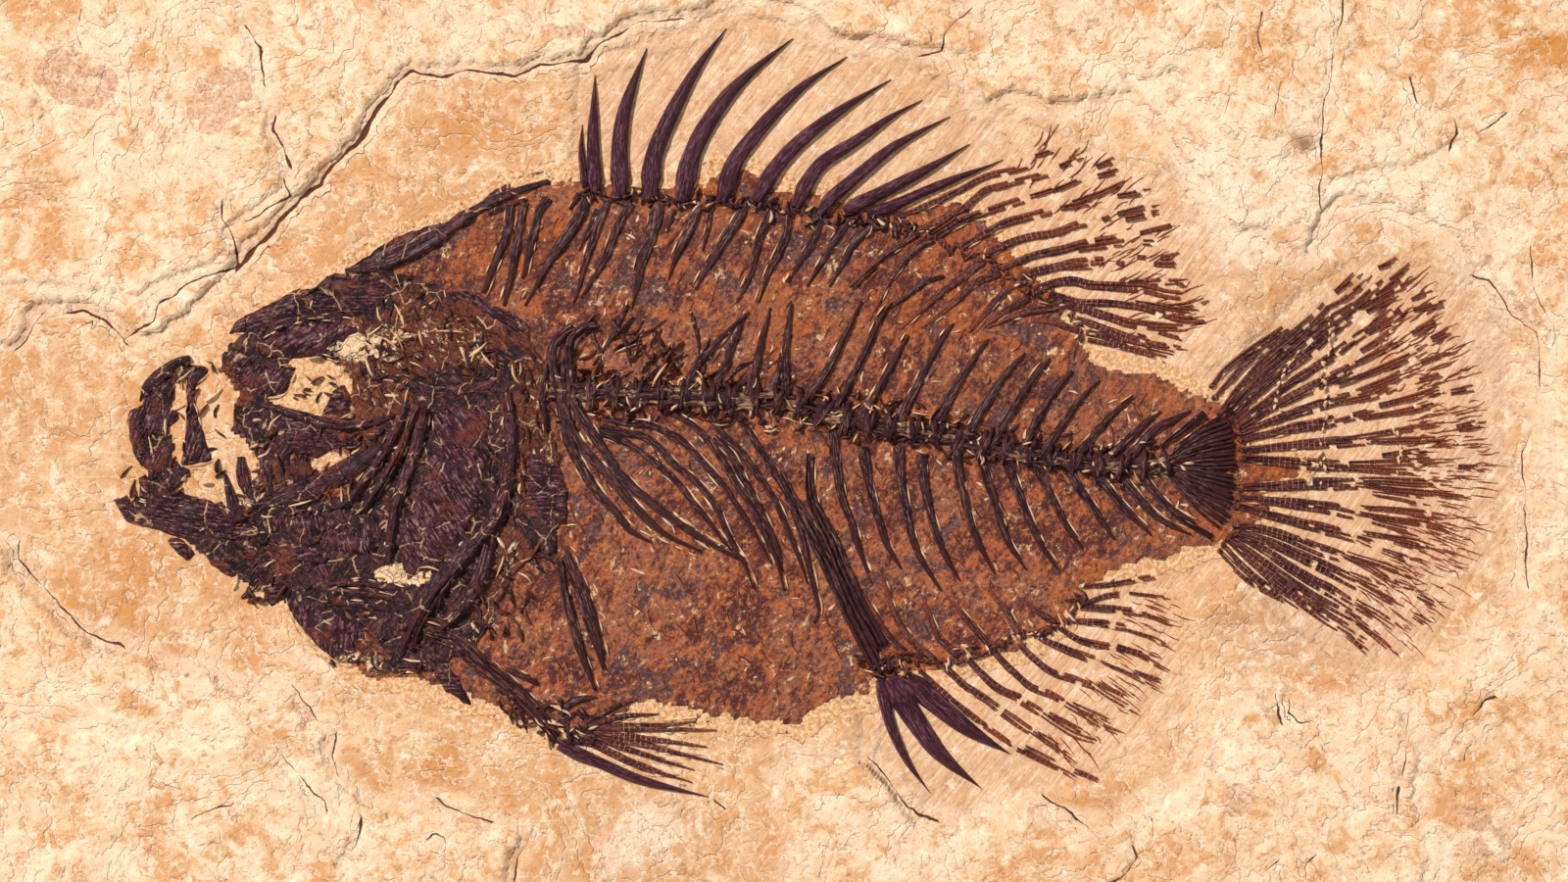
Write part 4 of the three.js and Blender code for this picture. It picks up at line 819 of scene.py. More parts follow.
def filmRise(x, y):
    # the film's height above the rock
    inside = filmDepth(x, y)
    swell = 0.07 * cloud(x, y, 5, 41, 4, 0.6) + 0.05 * cloud(x, y, 1.3, 42, 3)
    patch = terrace(0.5 + 0.3 * cloud(x, y, 3.6, 43, 5, 0.6), 6, 0.1)[0] - 0.5
    return smooth(inside, -0.25, 0.35) * (filmLook["thick"] + swell + 0.16 * patch)


def filmFinish():
    f = Finish("scaleFilm")
    at = f.place()
    slope = f.scaled(f.turned(at, -58), (0.8, 1.3, 1))
    wide = f.noise(at, 9, 4, 0.62, 0.4)
    patch = f.noise(slope, 2.6, 5, 0.72, 0.5)
    fine = f.noise(slope, 0.8, 5, 0.76, 0.3)
    spots = f.noise(at, 2.0, 5, 0.76, 0.6)
    grain = f.noise(at, 0.42, 4, 0.76)
    colour = f.mix(f.ease(patch + 0.5 * (wide - 0.5), 0.44, 0.57), paint(104, 45, 40), paint(190, 98, 56))
    colour = f.mix(f.ease(wide + 0.9 * (spots - 0.5), 0.48, 0.56) * 0.85, colour, paint(170, 104, 76))
    colour = f.mix(f.ease(fine, 0.52, 0.62) * 0.75, colour, paint(222, 132, 72))
    colour = f.mix(f.ease(fine, 0.48, 0.37) * 0.9, colour, paint(76, 30, 34))
    colour = f.mix(f.field("rust") * f.ease(patch, 0.36, 0.6) * 0.8, colour, paint(198, 104, 42))
    colour = f.mix(f.field("gloom") * f.ease(patch, 0.6, 0.4) * 0.55, colour, paint(74, 36, 44))
    greys = f.ease(f.noise(at, 4.5, 4, 0.66, 0.5) + 0.2 * (spots - 0.5), 0.58, 0.605)
    colour = f.mix(greys * 0.85, colour, f.mix(f.ease(fine, 0.44, 0.58), paint(88, 54, 60), paint(130, 88, 84)))
    colour = f.mix(f.ease(grain, 0.54, 0.66) * 0.65, colour, paint(230, 154, 100))
    colour = f.mix(f.ease(grain, 0.46, 0.34) * 0.7, colour, paint(66, 24, 30))
    cream = f.mix(f.ease(grain, 0.4, 0.6), paint(218, 150, 92), paint(250, 212, 166))
    colour = f.mix(f.ease(spots + 0.4 * (fine - 0.5) + 0.2 * (grain - 0.5), 0.62, 0.64), colour, cream)
    bare = f.ease(f.field("bare") + 0.9 * (spots - 0.5) + 0.7 * (fine - 0.5), 0.46, 0.54)
    colour = f.mix(bare, colour, cream)
    height = (1 - 0.5 * bare) * (0.5 * patch + 0.8 * fine + 0.6 * grain) - 0.2 * greys
    return f.finish(colour, 0.55 + 0.3 * grain, height, 0.75)


# Rusty, dark and bare patches of the film
rustPatches = [
    [-27, 20, 5, 4, 1], [0, 13, 5, 3, 0.8], [20, 13, 8, 3, 0.9], [18, 21, 6, 3, 0.8], [38, 4.5, 6, 2, 0.6],
    [8, 24, 3, 1, 1], [-16, 25, 12, 1.2, 0.8], [-41, 13, 3, 3, 0.9], [42, -9, 4, 2, 0.6], [12, -23, 6, 2, 0.6],
    [-44, -21, 4, 3, 0.9], [-6, 22, 3, 2, 0.7], [30, -17, 4, 3, 0.7], [50, 1, 5, 9, 0.9], [24, 19, 3, 3, 0.9],
]
gloomPatches = [
    [-28, 15, 7, 6, 0.7], [-10, 20, 14, 4, 0.8], [-30, 0, 6, 8, 0.7], [34, 5.5, 8, 3, 0.7],
    [-3, 5, 18, 3, 0.5], [-47, 3, 6, 8, 0.6], [-34, -20, 6, 6, 0.6], [22, 5, 10, 3, 0.4],
    [-40, 18.5, 5, 2, 0.9], [40, -4, 6, 6, 0.6],
]
barePatches = [
    [-19, 3.6, 2, 0.8, 0.5], [-47.6, 5.4, 3.8, 3.2, 1.2], [-51.8, 4.6, 1.6, 0.7, 1], [-46, -2.3, 2.2, 1.6, 1],
    [-57, -2.9, 2.6, 2.6, 1.2], [-9.6, 6.2, 1, 0.5, 0.9], [27.4, 9.2, 2.4, 0.6, 0.6], [-38.5, 8, 4, 4, 0.35],
    [-33, 11.5, 3.5, 2, 0.35], [-45, 11, 2, 0.8, 0.6], [-51, -12, 3, 2.4, 0.4], [-17, 6, 5, 1.6, 0.42],
    [-8, 5.6, 5, 1.4, 0.42], [1, 4.4, 5, 1.5, 0.42], [10, 2.2, 5, 1.4, 0.4], [20, 0.4, 6, 1.3, 0.38],
    [32, -2, 6, 1.2, 0.36], [-26.5, -12, 2.6, 2.4, 0.45], [-24, 3, 1.4, 5, 0.4], [-31, 20, 3, 2, 0.3],
    [-8, 18, 12, 5, 0.18], [10, -8, 10, 9, 0.18], [14, 16, 8, 5, 0.18], [48, -1, 3, 7, 0.3],
]


def addFilm():
    x, y, faces = tornSheet(filmOutline, filmDepth, filmLook)
    inside = filmDepth(x, y)
    rock = bedHeight + rockFields(x, y)["height"]
    z = rock + filmRise(x, y) - 0.1 * (1 - smooth(inside, -0.35, 0.1))
    top = np.stack([x, y, z], axis=1)
    bottom = np.stack([x, y, np.minimum(z, rock) - filmLook["under"]], axis=1)
    fields = {
        "rust": patches(x, y, rustPatches),
        "gloom": patches(x, y, gloomPatches),
        "bare": np.maximum(patches(x, y, barePatches) * 0.8,
                           0.25 * smooth(inside, 2.2, 0.6) + 0.5 * smooth(inside, 0.6, -0.2)),
    }
    fields = {name: np.tile(values, 2) for name, values in fields.items()}
    triangles = closedSheet(faces, len(x))
    piece = meshObject("scaleFilm", np.concatenate([top, bottom]), triangles, fields, filmFinish())
    print("film:", len(triangles), "triangles")
    return standFor(piece, "scale_film", "scale_film")


addFilm()


# Ground under the bones, looked up from a grid

groundLook = {"low": (-76.0, -42.0), "high": (76.0, 46.0), "spacing": 0.5}


def makeGround():
    (lowX, lowY), (highX, highY) = groundLook["low"], groundLook["high"]
    x, y = np.meshgrid(np.arange(lowX, highX, groundLook["spacing"]), np.arange(lowY, highY, groundLook["spacing"]))
    return rockFields(x, y)["height"] + filmRise(x, y) + bedHeight


groundGrid = makeGround()


def groundAt(x, y):
    column = (np.asarray(x) - groundLook["low"][0]) / groundLook["spacing"]
    row = (np.asarray(y) - groundLook["low"][1]) / groundLook["spacing"]
    rows, columns = groundGrid.shape
    column, row = np.clip(column, 0, columns - 1.001), np.clip(row, 0, rows - 1.001)
    i, j = row.astype(int), column.astype(int)
    up, across = row - i, column - j
    low = groundGrid[i, j] * (1 - across) + groundGrid[i, j + 1] * across
    high = groundGrid[i + 1, j] * (1 - across) + groundGrid[i + 1, j + 1] * across
    return low * (1 - up) + high * up


# Rods, rays and plates

formLook = {"step": 0.34, "sunk": 0.3, "sides": 8, "thinnest": 0.03, "broken": 0.55, "roundness": 0.8, "stiff": 9}
plateLook = {"spacing": 0.42, "dome": 0.9, "ragged": 0.16, "relief": 0.16, "cell": 2.4}


class Heap:
    # closed forms gathered into one mesh, with the fields that their finish reads
    def __init__(self):
        self.points, self.faces, self.count = [], [], 0
        self.fields = {"grain": [], "tip": [], "groove": [], "pale": []}

    def add(self, points, faces, **fields):
        self.points.append(points)
        self.faces.append(faces + self.count)
        self.count += len(points)
        for name, gathered in self.fields.items():
            values = fields.get(name, 0.0)
            shape = (len(points), 3) if name == "grain" else (len(points),)
            gathered.append(np.broadcast_to(values, shape).astype(float))

    def piece(self, name, finish, slotName, *nodes):
        fields = {key: np.concatenate(values) for key, values in self.fields.items()}
        made = meshObject(name, np.concatenate(self.points), np.concatenate(self.faces), fields, finish)
        return standFor(made, slotName, *nodes)


def curveThrough(path, step):
    # points at even spacing along a smooth curve through the path
    points = np.asarray(path, float)
    if len(points) > 2:
        ends = np.vstack([2 * points[0] - points[1], points, 2 * points[-1] - points[-2]])
        share = np.linspace(0, 1, 12, endpoint=False)[:, None]
        parts = []
        for a, b, c, d in zip(ends[:-3], ends[1:-2], ends[2:-1], ends[3:]):
            parts.append(0.5 * (2 * b + (c - a) * share + (2 * a - 5 * b + 4 * c - d) * share ** 2
                                + (3 * b - 3 * c + d - a) * share ** 3))
        points = np.vstack(parts + [points[-1:]])
    along = np.concatenate([[0], np.cumsum(np.hypot(*np.diff(points, axis=0).T))])
    count = max(4, int(along[-1] / step) + 2)
    even = np.linspace(0, along[-1], count)
    return np.stack([np.interp(even, along, points[:, 0]), np.interp(even, along, points[:, 1])], axis=1), even


def sideways(line):
    # unit vectors across a line, to its left
    ahead = np.gradient(line, axis=0)
    ahead /= np.maximum(np.hypot(*ahead.T), 1e-9)[:, None]
    return np.stack([-ahead[:, 1], ahead[:, 0]], axis=1)


def wander(length, size, seed):
    # noise along a line
    return cloud(length, np.full(len(length), seed * 3.7), size, seed % 17, 3)


def addRod(heap, path, widths, height, seed, wobble=0.09, ridges=3, ridgeDepth=0.16, crack=0.04, bend=0.05,
           sides=formLook["sides"], pale=0.0, tips=(0, 1)):
    # a rod or ray with a grained round back, flat underneath and sunk in the ground
    line, along = curveThrough(path, formLook["step"])
    count = len(line)
    share = along / along[-1]
    across = sideways(line)
    half = np.interp(share, np.linspace(0, 1, len(widths)), widths) / 2
    half = np.maximum(half * (1 + wobble * wander(along, 1.6, seed)), formLook["thinnest"])
    line = line + across * (bend * wander(along, 2.2, seed + 5))[:, None]
    tall = height * np.sqrt(half / half.max()) * (1 + wobble * wander(along, 1.1, seed + 9))
    broken = np.random.default_rng(seed + 1000).random(count) < crack
    tall = np.where(broken, tall * formLook["broken"], tall)
    turn = np.linspace(math.pi, 0, sides + 1)
    over, up = np.cos(turn), np.sin(turn) ** formLook["roundness"]
    rib = 1 + ridgeDepth * np.sin(ridges * 2 * turn[None, :] + 0.9 * wander(along, 3, seed + 3)[:, None] + seed)
    stiff = min(formLook["stiff"], count // 2 * 2 - 1)
    padded = np.pad(groundAt(line[:, 0], line[:, 1]), stiff // 2, mode="edge")
    ground = np.convolve(padded, np.ones(stiff) / stiff, "valid")[:count]
    foot = (ground - formLook["sunk"])[:, None]
    x, y = (np.pad(line[:, axis, None] + across[:, axis, None] * half[:, None] * over, ((0, 0), (1, 1)), mode="edge")
            for axis in (0, 1))
    z = np.concatenate([foot, ground[:, None] + tall[:, None] * up * rib, foot], axis=1)
    size = sides + 3
    grain = np.stack([
        np.repeat(along, size),
        np.tile(np.concatenate([[-1.2], over, [1.2]]), count) * np.repeat(half, size) * 2,
        np.full(count * size, seed * 5.3),
    ], axis=1)
    last = (count - 1) * size
    fan = np.arange(1, size - 1)
    start = np.stack([np.zeros_like(fan), fan + 1, fan], axis=1)
    end = np.stack([np.full_like(fan, last), last + fan, last + fan + 1], axis=1)
    faces = np.concatenate([ringFaces(count, size)[:, ::-1], start[:, ::-1], end[:, ::-1]])
    heap.add(np.stack([x, y, z], axis=2).reshape(-1, 3), faces, grain=grain,
             tip=np.repeat(np.interp(share, [0, 1], tips), size), pale=pale)


def addBundle(heap, path, wide, shares, height, seed, strands=3):
    # a bone split lengthwise into strands that lie side by side
    line, _ = curveThrough(path, 0.8)
    side = sideways(line)
    spread = np.interp(np.linspace(0, 1, len(line)), np.linspace(0, 1, len(shares)), shares)[:, None]
    random = np.random.default_rng(seed + 300)
    for k in range(strands):
        place = (k + 0.5) / strands - 0.5
        each = wide / strands * (0.72 + 0.3 * random.random())
        addRod(heap, line + side * spread * wide * place, [share * each for share in shares],
               height * (0.75 + 0.4 * random.random()), seed + 11 * k, ridges=1, ridgeDepth=0.15, wobble=0.16)


def addLump(heap, x, y, size, height, angle, seed):
    # a short knob, the end of a bone seen from above
    dx, dy = 0.5 * size * math.cos(angle), 0.5 * size * math.sin(angle)
    addRod(heap, [[x - dx, y - dy], [x, y], [x + dx, y + dy]],
           [0.45 * size, 0.95 * size, 0.5 * size], height, seed, wobble=0.25, sides=6, ridges=1)


def shatter(x, y, size, seed):
    # broken cells: nearness to a break, a tone for each cell and its tilt
    column, row = np.floor(x / size), np.floor(y / size)
    nearest, second = np.full(np.shape(x), 9.0), np.full(np.shape(x), 9.0)
    tone, tilt = np.zeros(np.shape(x)), np.zeros(np.shape(x))
    for i in (-1, 0, 1):
        for j in (-1, 0, 1):
            cx, cy = (column + i).astype(int), (row + j).astype(int)
            ox = lattice[(cx + 13 * seed) & 255, (cy + 7) & 255]
            oy = lattice[(cx + 71) & 255, (cy + 29 * seed) & 255]
            dx, dy = x / size - cx - ox, y / size - cy - oy
            away = np.hypot(dx, dy)
            second = np.minimum(second, np.maximum(nearest, away))
            closer = away < nearest
            tone = np.where(closer, (ox * 7 + oy * 3) % 1, tone)
            tilt = np.where(closer, dx * (oy - 0.5) + dy * (ox - 0.5), tilt)
            nearest = np.minimum(nearest, away)
    return second - nearest, tone, tilt


def addPlate(heap, outline, height, seed, cracked=1.0, cell=plateLook["cell"], turn=0.0):
    # a thin bone with a torn outline, a domed face and crushed cracks
    spacing, ragged = plateLook["spacing"], plateLook["ragged"]
    closed = np.vstack([outline, outline[:1]])
    along = np.concatenate([[0], np.cumsum(np.hypot(*np.diff(closed, axis=0).T))])
    count = max(8, int(along[-1] / spacing))
    even = np.linspace(0, along[-1], count, endpoint=False)
    rim = np.stack([np.interp(even, along, closed[:, 0]), np.interp(even, along, closed[:, 1])], axis=1)
    rim[:, 0] += ragged * cloud(rim[:, 0] * 1.1, rim[:, 1] * 1.1, 1.1, seed % 23 + 1, 3)
    rim[:, 1] += ragged * cloud(rim[:, 0] * 1.1, rim[:, 1] * 1.1, 1.1, seed % 19 + 3, 3)
    low, high = rim.min(axis=0), rim.max(axis=0)
    random = np.random.default_rng(seed + 77)
    x, y = np.meshgrid(np.arange(low[0], high[0], spacing), np.arange(low[1], high[1], spacing * 0.87))
    x = (x + 0.5 * spacing * (np.arange(x.shape[0]) % 2)[:, None]).ravel()
    y = y.ravel()
    x, y = x + 0.12 * spacing * random.normal(size=x.shape), y + 0.12 * spacing * random.normal(size=y.shape)
    clear = depthIn(x, y, rim, 3.0) > 0.55 * spacing
    flat = [Vector(p) for p in np.vstack([rim, np.stack([x[clear], y[clear]], axis=1)])]
    edges = [(k, (k + 1) % count) for k in range(count)]
    placed, _, triangles, *_ = geometry.delaunay_2d_cdt(flat, edges, [], 1, 1e-5)
    x, y = np.array([[p.x, p.y] for p in placed]).T
    faces = np.array([t for t in triangles if len(t) == 3])
    inside = distanceTo(x, y, [*rim, rim[0]], 6.0)
    bentX, bentY = x + 0.5 * cloud(x, y, 1.5, 51, 2), y + 0.5 * cloud(x, y, 1.5, 52, 2)
    gap, tone, tilt = shatter(bentX, bentY, cell, seed % 11 + 1)
    groove = cracked * (1 - smooth(gap, 0.02, 0.2))
    u = x * math.cos(turn) + y * math.sin(turn)
    v = y * math.cos(turn) - x * math.sin(turn)
    top = height * (1 - np.exp(-inside / (0.45 * plateLook["dome"] + 0.05)))
    top = top * (1 + plateLook["relief"] * cloud(u * 0.35, v * 1.6, 1.0, seed % 13 + 2, 3)
                 + 0.2 * cloud(x, y, 3.2, seed % 7 + 4, 2)
                 + cracked * (0.25 * (tone - 0.5) + 0.7 * tilt)) - 0.14 * groove * np.minimum(inside, 1)
    ground = np.mean(groundAt(x, y)) * 0.6 + groundAt(x, y) * 0.4
    upper = np.stack([x, y, ground + top], axis=1)
    lower = np.stack([x, y, np.full(len(x), ground.min() - formLook["sunk"])], axis=1)
    grain = np.stack([u, v, np.full(len(x), seed * 3.1)], axis=1)
    heap.add(np.concatenate([upper, lower]), closedSheet(faces, len(x)), grain=np.concatenate([grain, grain]),
             groove=np.tile(0.75 * (tone - 0.5) * cracked, 2))


# Finishes of the bones

boneLooks = {
    "spineBone": {
        "dark": (50, 9, 29), "middle": (84, 27, 50), "highlight": (154, 98, 112), "tipColour": (72, 30, 36),
        "seam": (190, 140, 112), "gloss": 0.07, "grooves": 0.4},
    "skeletonBone": {
        "dark": (48, 13, 28), "middle": (82, 34, 46), "highlight": (190, 138, 120), "tipColour": (82, 36, 40),
        "seam": (232, 180, 138), "gloss": 0.08},
    "headBone": {
        "dark": (46, 11, 28), "middle": (86, 36, 52), "highlight": (174, 124, 116), "tipColour": (78, 42, 52),
        "seam": (238, 188, 144), "gloss": 0.1, "grooves": 0.5, "webs": 4.4},
    "finRayBone": {
        "dark": (56, 16, 32), "middle": (104, 44, 44), "highlight": (166, 106, 86), "tipColour": (150, 72, 48),
        "seam": (232, 180, 136), "gloss": 0.04, "grooves": 0.3, "segments": 0.55},
    "creamMatrix": {
        "dark": (222, 170, 124), "middle": (248, 212, 170), "highlight": (255, 236, 208), "tipColour": (240, 200, 156),
        "seam": (200, 146, 104), "grooveShade": (200, 146, 104), "gloss": 0.0, "grooves": 0.2},
    "rustyShreds": {
        "dark": (84, 36, 32), "middle": (146, 76, 48), "highlight": (190, 118, 76), "tipColour": (130, 66, 44),
        "seam": (216, 164, 118), "gloss": 0.0},
}


def boneFinish(name, dark, middle, highlight, tipColour, seam, gloss, grooveShade=(22, 8, 15), grooves=0.7, webs=0.0,
               segments=0.0):
    # webs is the size of the broken pieces and segments the length of a ray's joints, 0 for none
    dark, middle, highlight, tipColour, seam, grooveShade = (
        paint(*colour) for colour in (dark, middle, highlight, tipColour, seam, grooveShade))
    f = Finish(name)
    grain = f.field("grain", "Vector")
    tip, tone, pale = f.field("tip"), f.field("groove"), f.field("pale")
    at = f.place()
    streak = f.noise(f.scaled(grain, (0.3, 5.5, 1)), 1.0, 6, 0.7)
    fleck = f.noise(f.scaled(grain, (1.3, 3.6, 1)), 1.0, 6, 0.74)
    blotch = f.noise(at, 2.2, 5, 0.66)
    fine = f.noise(at, 0.3, 4, 0.74)
    colour = f.mix(f.ease(streak + 0.5 * (blotch - 0.5) + 0.3 * tone, 0.4, 0.6), dark, middle)
    # painted highlight on the raised flecks along the grain
    colour = f.mix(f.ease(fleck + 0.7 * (streak - 0.5), 0.51, 0.64) * 0.9, colour, highlight)
    # painted shade in the low flecks between the grain's ridges
    colour = f.mix(f.ease(fleck + 0.5 * (streak - 0.5), 0.46, 0.34) * 0.9, colour, grooveShade)
    colour = f.mix(f.ease(tip + 0.8 * (streak - 0.5), 0.42, 1.05), colour, tipColour)
    colour = f.mix(f.ease(pale + 1.3 * (fleck - 0.5), 0.4, 0.62), colour, seam)
    height = 0.8 * streak + 0.5 * fleck + 0.25 * fine
    if webs:
        lines = f.webs(f.bent(at, 2.4, 1.5), webs, 0.004, 0.03)
        small = f.webs(f.bent(at, 1.4, 0.9), webs * 0.4, 0.0, 0.045)
        colour = f.mix(small * 0.6, colour, paint(30, 12, 20))
        colour = f.mix(lines * f.ease(blotch + 0.3 * (fine - 0.5), 0.47, 0.54), colour, seam)
        rusty = f.ease(f.noise(at, 4.5, 5, 0.74, 0.4) + 0.3 * (fleck - 0.5), 0.54, 0.62)
        colour = f.mix(rusty * 0.7, colour, paint(128, 60, 44))
        height = height - 0.7 * lines - 0.4 * small
    if segments:
        along = f.node("ShaderNodeSeparateXYZ", {}, {0: grain})
        joint = f.ease(f.part(along / segments + 0.5 * blotch), 0.2, 0.02) * f.ease(tip, 0.06, 0.2)
        colour = f.mix(joint * f.ease(fine + 0.5 * (blotch - 0.5), 0.42, 0.6) * 0.9, colour, seam)
        height = height - 0.8 * joint
    return f.finish(colour, 0.38 + 0.3 * fleck, height, grooves, **{
        "Coat Weight": gloss, "Coat Roughness": 0.35, "Specular IOR Level": 0.3})


spineFinish, skeletonFinish, headFinish, rayFinish, matrixFinish, rustyFinish = (
    boneFinish(name, **look) for name, look in boneLooks.items())
matrixHeap, shredHeap = Heap(), Heap()  # cream flecks of rock and rusty shreds, from every part of the fish


def addRim(path, half, seed, side=1, share=0.5, length=1.7, wide=0.2, height=0.34):
    # broken cream lines of rock along one edge of a bone, which also serve as painted highlight on that edge
    line, along = curveThrough(path, 0.5)
    edge = line + sideways(line) * half * side
    random = np.random.default_rng(seed + 500)
    start = random.random() * length
    while start < along[-1]:
        stop = start + length * (0.4 + random.random())
        keep = (along >= start) & (along <= stop)
        if random.random() < share and keep.sum() > 2:
            addRod(matrixHeap, edge[keep], [0.05, wide * (0.7 + 0.8 * random.random()), 0.05], height,
                   seed + int(start * 10), sides=4, crack=0.1)
        start = stop + length * 0.3 * random.random()


def addShard(heap, spot, angle, length, wide, height, seed, random):
    # a slightly bowed splinter
    reach = 0.5 * length * np.array([math.cos(angle), math.sin(angle)])
    bow = 0.08 * length * random.normal() * np.array([-math.sin(angle), math.cos(angle)])
    addRod(heap, [spot - reach, spot + bow, spot + reach], [wide * 0.3, wide, wide * 0.7, 0.08], height, seed,
           sides=5, ridges=1, ridgeDepth=0.1, wobble=0.2)


def addRow(heap, rods, taper, height, seed, rims=(), ends=(), **shape):
    # rods laid alike, each a path or a width and a path. The taper is in shares of that width and the ends in
    # millimetres. A rim is its distance from the middle, its step in the seed and what addRim takes.
    for k, rod in enumerate(rods):
        wide, path = rod if isinstance(rod, tuple) else (1, rod)
        addRod(heap, path, [share * wide for share in taper] + list(ends), height, seed + k, **shape)
        for half, later, rim in rims:
            addRim(path, half * wide, seed + later + k, **rim)
    return heap


# Fin spines

spineLook = {
    "height": 1.2, "fullWidth": 1.6, "taper": [0.7, 1.22, 1.02, 0.96, 0.88, 0.72, 0.5, 0.24, 0.03],
    "rootLength": 1.1, "sides": 14,
}

# Widths and lines
dorsalSpines = [
    (0.75, [[-20.4, 26.9], [-20.7, 29.6], [-20.6, 32.3]]),
    (1.35, [[-19.3, 26.4], [-19.5, 31], [-19.4, 34], [-19.3, 37.4]]),
    (1.7, [[-16.7, 26], [-16.8, 29.7], [-16.4, 33.2], [-15.5, 36.2], [-14, 40.1]]),
    (1.75, [[-13.7, 25.6], [-13.3, 29], [-12.1, 32.1], [-10.6, 35.1], [-8.8, 38.2], [-5.9, 42.1]]),
    (1.8, [[-10.3, 25.4], [-9.5, 28.9], [-8.1, 31.9], [-5.8, 35.2], [-3.3, 37.7], [0.9, 41.1]]),
    (1.6, [[-6.1, 25.4], [-5, 28.5], [-3, 31.2], [-0.6, 33.9], [2.3, 36.5], [6.4, 39.2]]),
    (1.5, [[-2.4, 25.4], [-1, 27.7], [1, 30], [3.6, 32.2], [6.6, 34.3], [10.9, 36.9]]),
    (1.4, [[1.6, 24.8], [2.5, 26.6], [4, 28.5], [7.3, 30.6], [10.8, 33], [14.1, 34.8]]),
    (1.3, [[4.2, 23.9], [5, 24.9], [7.3, 26.9], [10.7, 29.7], [13.2, 31.2], [16.9, 33.1]]),
    (1.35, [[7.1, 23.9], [9.5, 25.1], [12.4, 26.6], [15.4, 28.2], [18.9, 30.3]]),
    (1.1, [[9.5, 23.4], [10.7, 23.8], [14, 25.3], [17.3, 26.7], [20.7, 28], [22.3, 28.7]]),
]
analSpines = [
    (1.15, [[10, -25.4], [10.9, -29], [12.6, -32.7], [14.9, -35.9]]),
    (2.2, [[11.4, -25.1], [12.3, -26.8], [13.6, -28.8], [15.3, -31.2], [17, -32.9], [20.1, -35.4]]),
    (2.15, [[13.3, -24.9], [15.3, -26.6], [17, -28], [18.7, -29.3], [20.6, -30.5], [23.05, -31.9]]),
]
pelvicSpine = (1.15, [[-22, -31.5], [-18.6, -32.9], [-14.5, -34.6], [-7.7, -36.3]])


def addSpine(name, node, wide, path, seed):
    heap = Heap()
    height = spineLook["height"] * math.sqrt(wide / spineLook["fullWidth"])
    first, second = np.asarray(path[0], float), np.asarray(path[1], float)
    root = first + (first - second) / np.hypot(*(second - first)) * spineLook["rootLength"]
    addRod(heap, [list(root)] + path, [share * wide for share in spineLook["taper"]], height, seed, wobble=0.03,
           ridges=2, ridgeDepth=0.07, crack=0.0, bend=0.0, sides=spineLook["sides"])
    heap.piece(name, spineFinish, "bone", node)


for k, (wide, path) in enumerate(dorsalSpines):
    addSpine(f"dorsalSpine{k + 1}", f"dorsal_spine_{k + 1}", wide, path, 10 + k)
for k, (wide, path) in enumerate(analSpines):
    addSpine(f"analSpine{k + 1}", f"anal_spine_{k + 1}", wide, path, 30 + k)
addSpine("pelvicSpine", "pelvic_spine", *pelvicSpine, 40)
print("fin spines laid")


# Supports of the dorsal fin

dorsalRods = [
    (1.25, [[-20, 25.2], [-21, 22.7], [-22.7, 20.1], [-24, 18.2], [-25.4, 15.6], [-26.4, 13.8]]),
    (0.9, [[-18, 24.6], [-19.2, 21.4], [-20.4, 17.6], [-21.4, 14.1]]),
    (0.9, [[-15.6, 24.3], [-17, 21.8], [-18.3, 18.6], [-19.9, 15.9], [-20.7, 14.6]]),
    (0.7, [[-19, 23.6], [-20, 21.4], [-20.9, 19.4]]),
    (1.35, [[-12.8, 24.3], [-13.5, 21.2], [-14.4, 18.6], [-14.9, 16.4], [-15.5, 13.5]]),
    (1.1, [[-8.7, 24], [-9.9, 21.1], [-10.9, 18.9], [-11.8, 16.5]]),
    (0.6, [[-7.4, 24], [-7.8, 21.4], [-8.3, 19.4]]),
    (1.1, [[-3.8, 24.4], [-4.8, 22.4], [-6.1, 20.5], [-7.4, 18.3], [-9, 15.4]]),
    (0.9, [[-1.3, 23.6], [-2.2, 21.6], [-2.9, 19.2], [-3.5, 16.8], [-4.8, 14.1]]),
    (0.9, [[0.5, 23], [0.2, 21], [-0.5, 19.4], [-1.6, 17], [-2.6, 14.1]]),
    (0.8, [[3.7, 22.5], [2.8, 20.2], [1.7, 18.3], [0.4, 16.1]]),
    (0.9, [[6.5, 22.4], [5.3, 20.7], [4.1, 18.5], [2.4, 15.7]]),
    (0.8, [[9, 22], [7.2, 20.2], [6.1, 18.3], [4.6, 15.7]]),
    (0.5, [[-16, 13.9], [-17.5, 10.8], [-19.1, 8.1]]),
    (0.5, [[-20.9, 25.3], [-21.8, 23.6]]),
    (0.5, [[-11.2, 23.6], [-12, 21.2]]),
    (0.5, [[7, 15.6], [9.4, 17.7]]),
]
knobLine = [[-20.6, 25.1], [-17, 25], [-14, 24.8], [-10.5, 24.5], [-6.5, 24.5], [-2.8, 24.4], [1, 23.6],
            [4.6, 22.5], [8, 22.4], [11, 22], [13.3, 21.3]]


def addKnobs(heap, line, spacing, size, height, seed, spread=0.35):
    # the knobbed joints in a row of fin supports, with flecks of rock among them
    places, _ = curveThrough(line, spacing)
    random = np.random.default_rng(seed)
    for k, place in enumerate(places):
        for j in range(2):
            spot = place + random.normal(0, spread, 2)
            addShard(heap, spot, random.random() * math.pi, size * (0.7 + 1.3 * random.random()),
                     size * (0.35 + 0.4 * random.random()), height * (0.6 + 0.6 * random.random()),
                     seed + 7 * k + j, random)
        if random.random() < 0.5:
            spot = place + random.normal(0, 1.6 * spread, 2)
            addShard(matrixHeap, spot, random.random() * math.pi, 0.6 + random.random(),
                     0.16 + 0.3 * random.random(), height * 0.9, seed + 7 * k + 4, random)


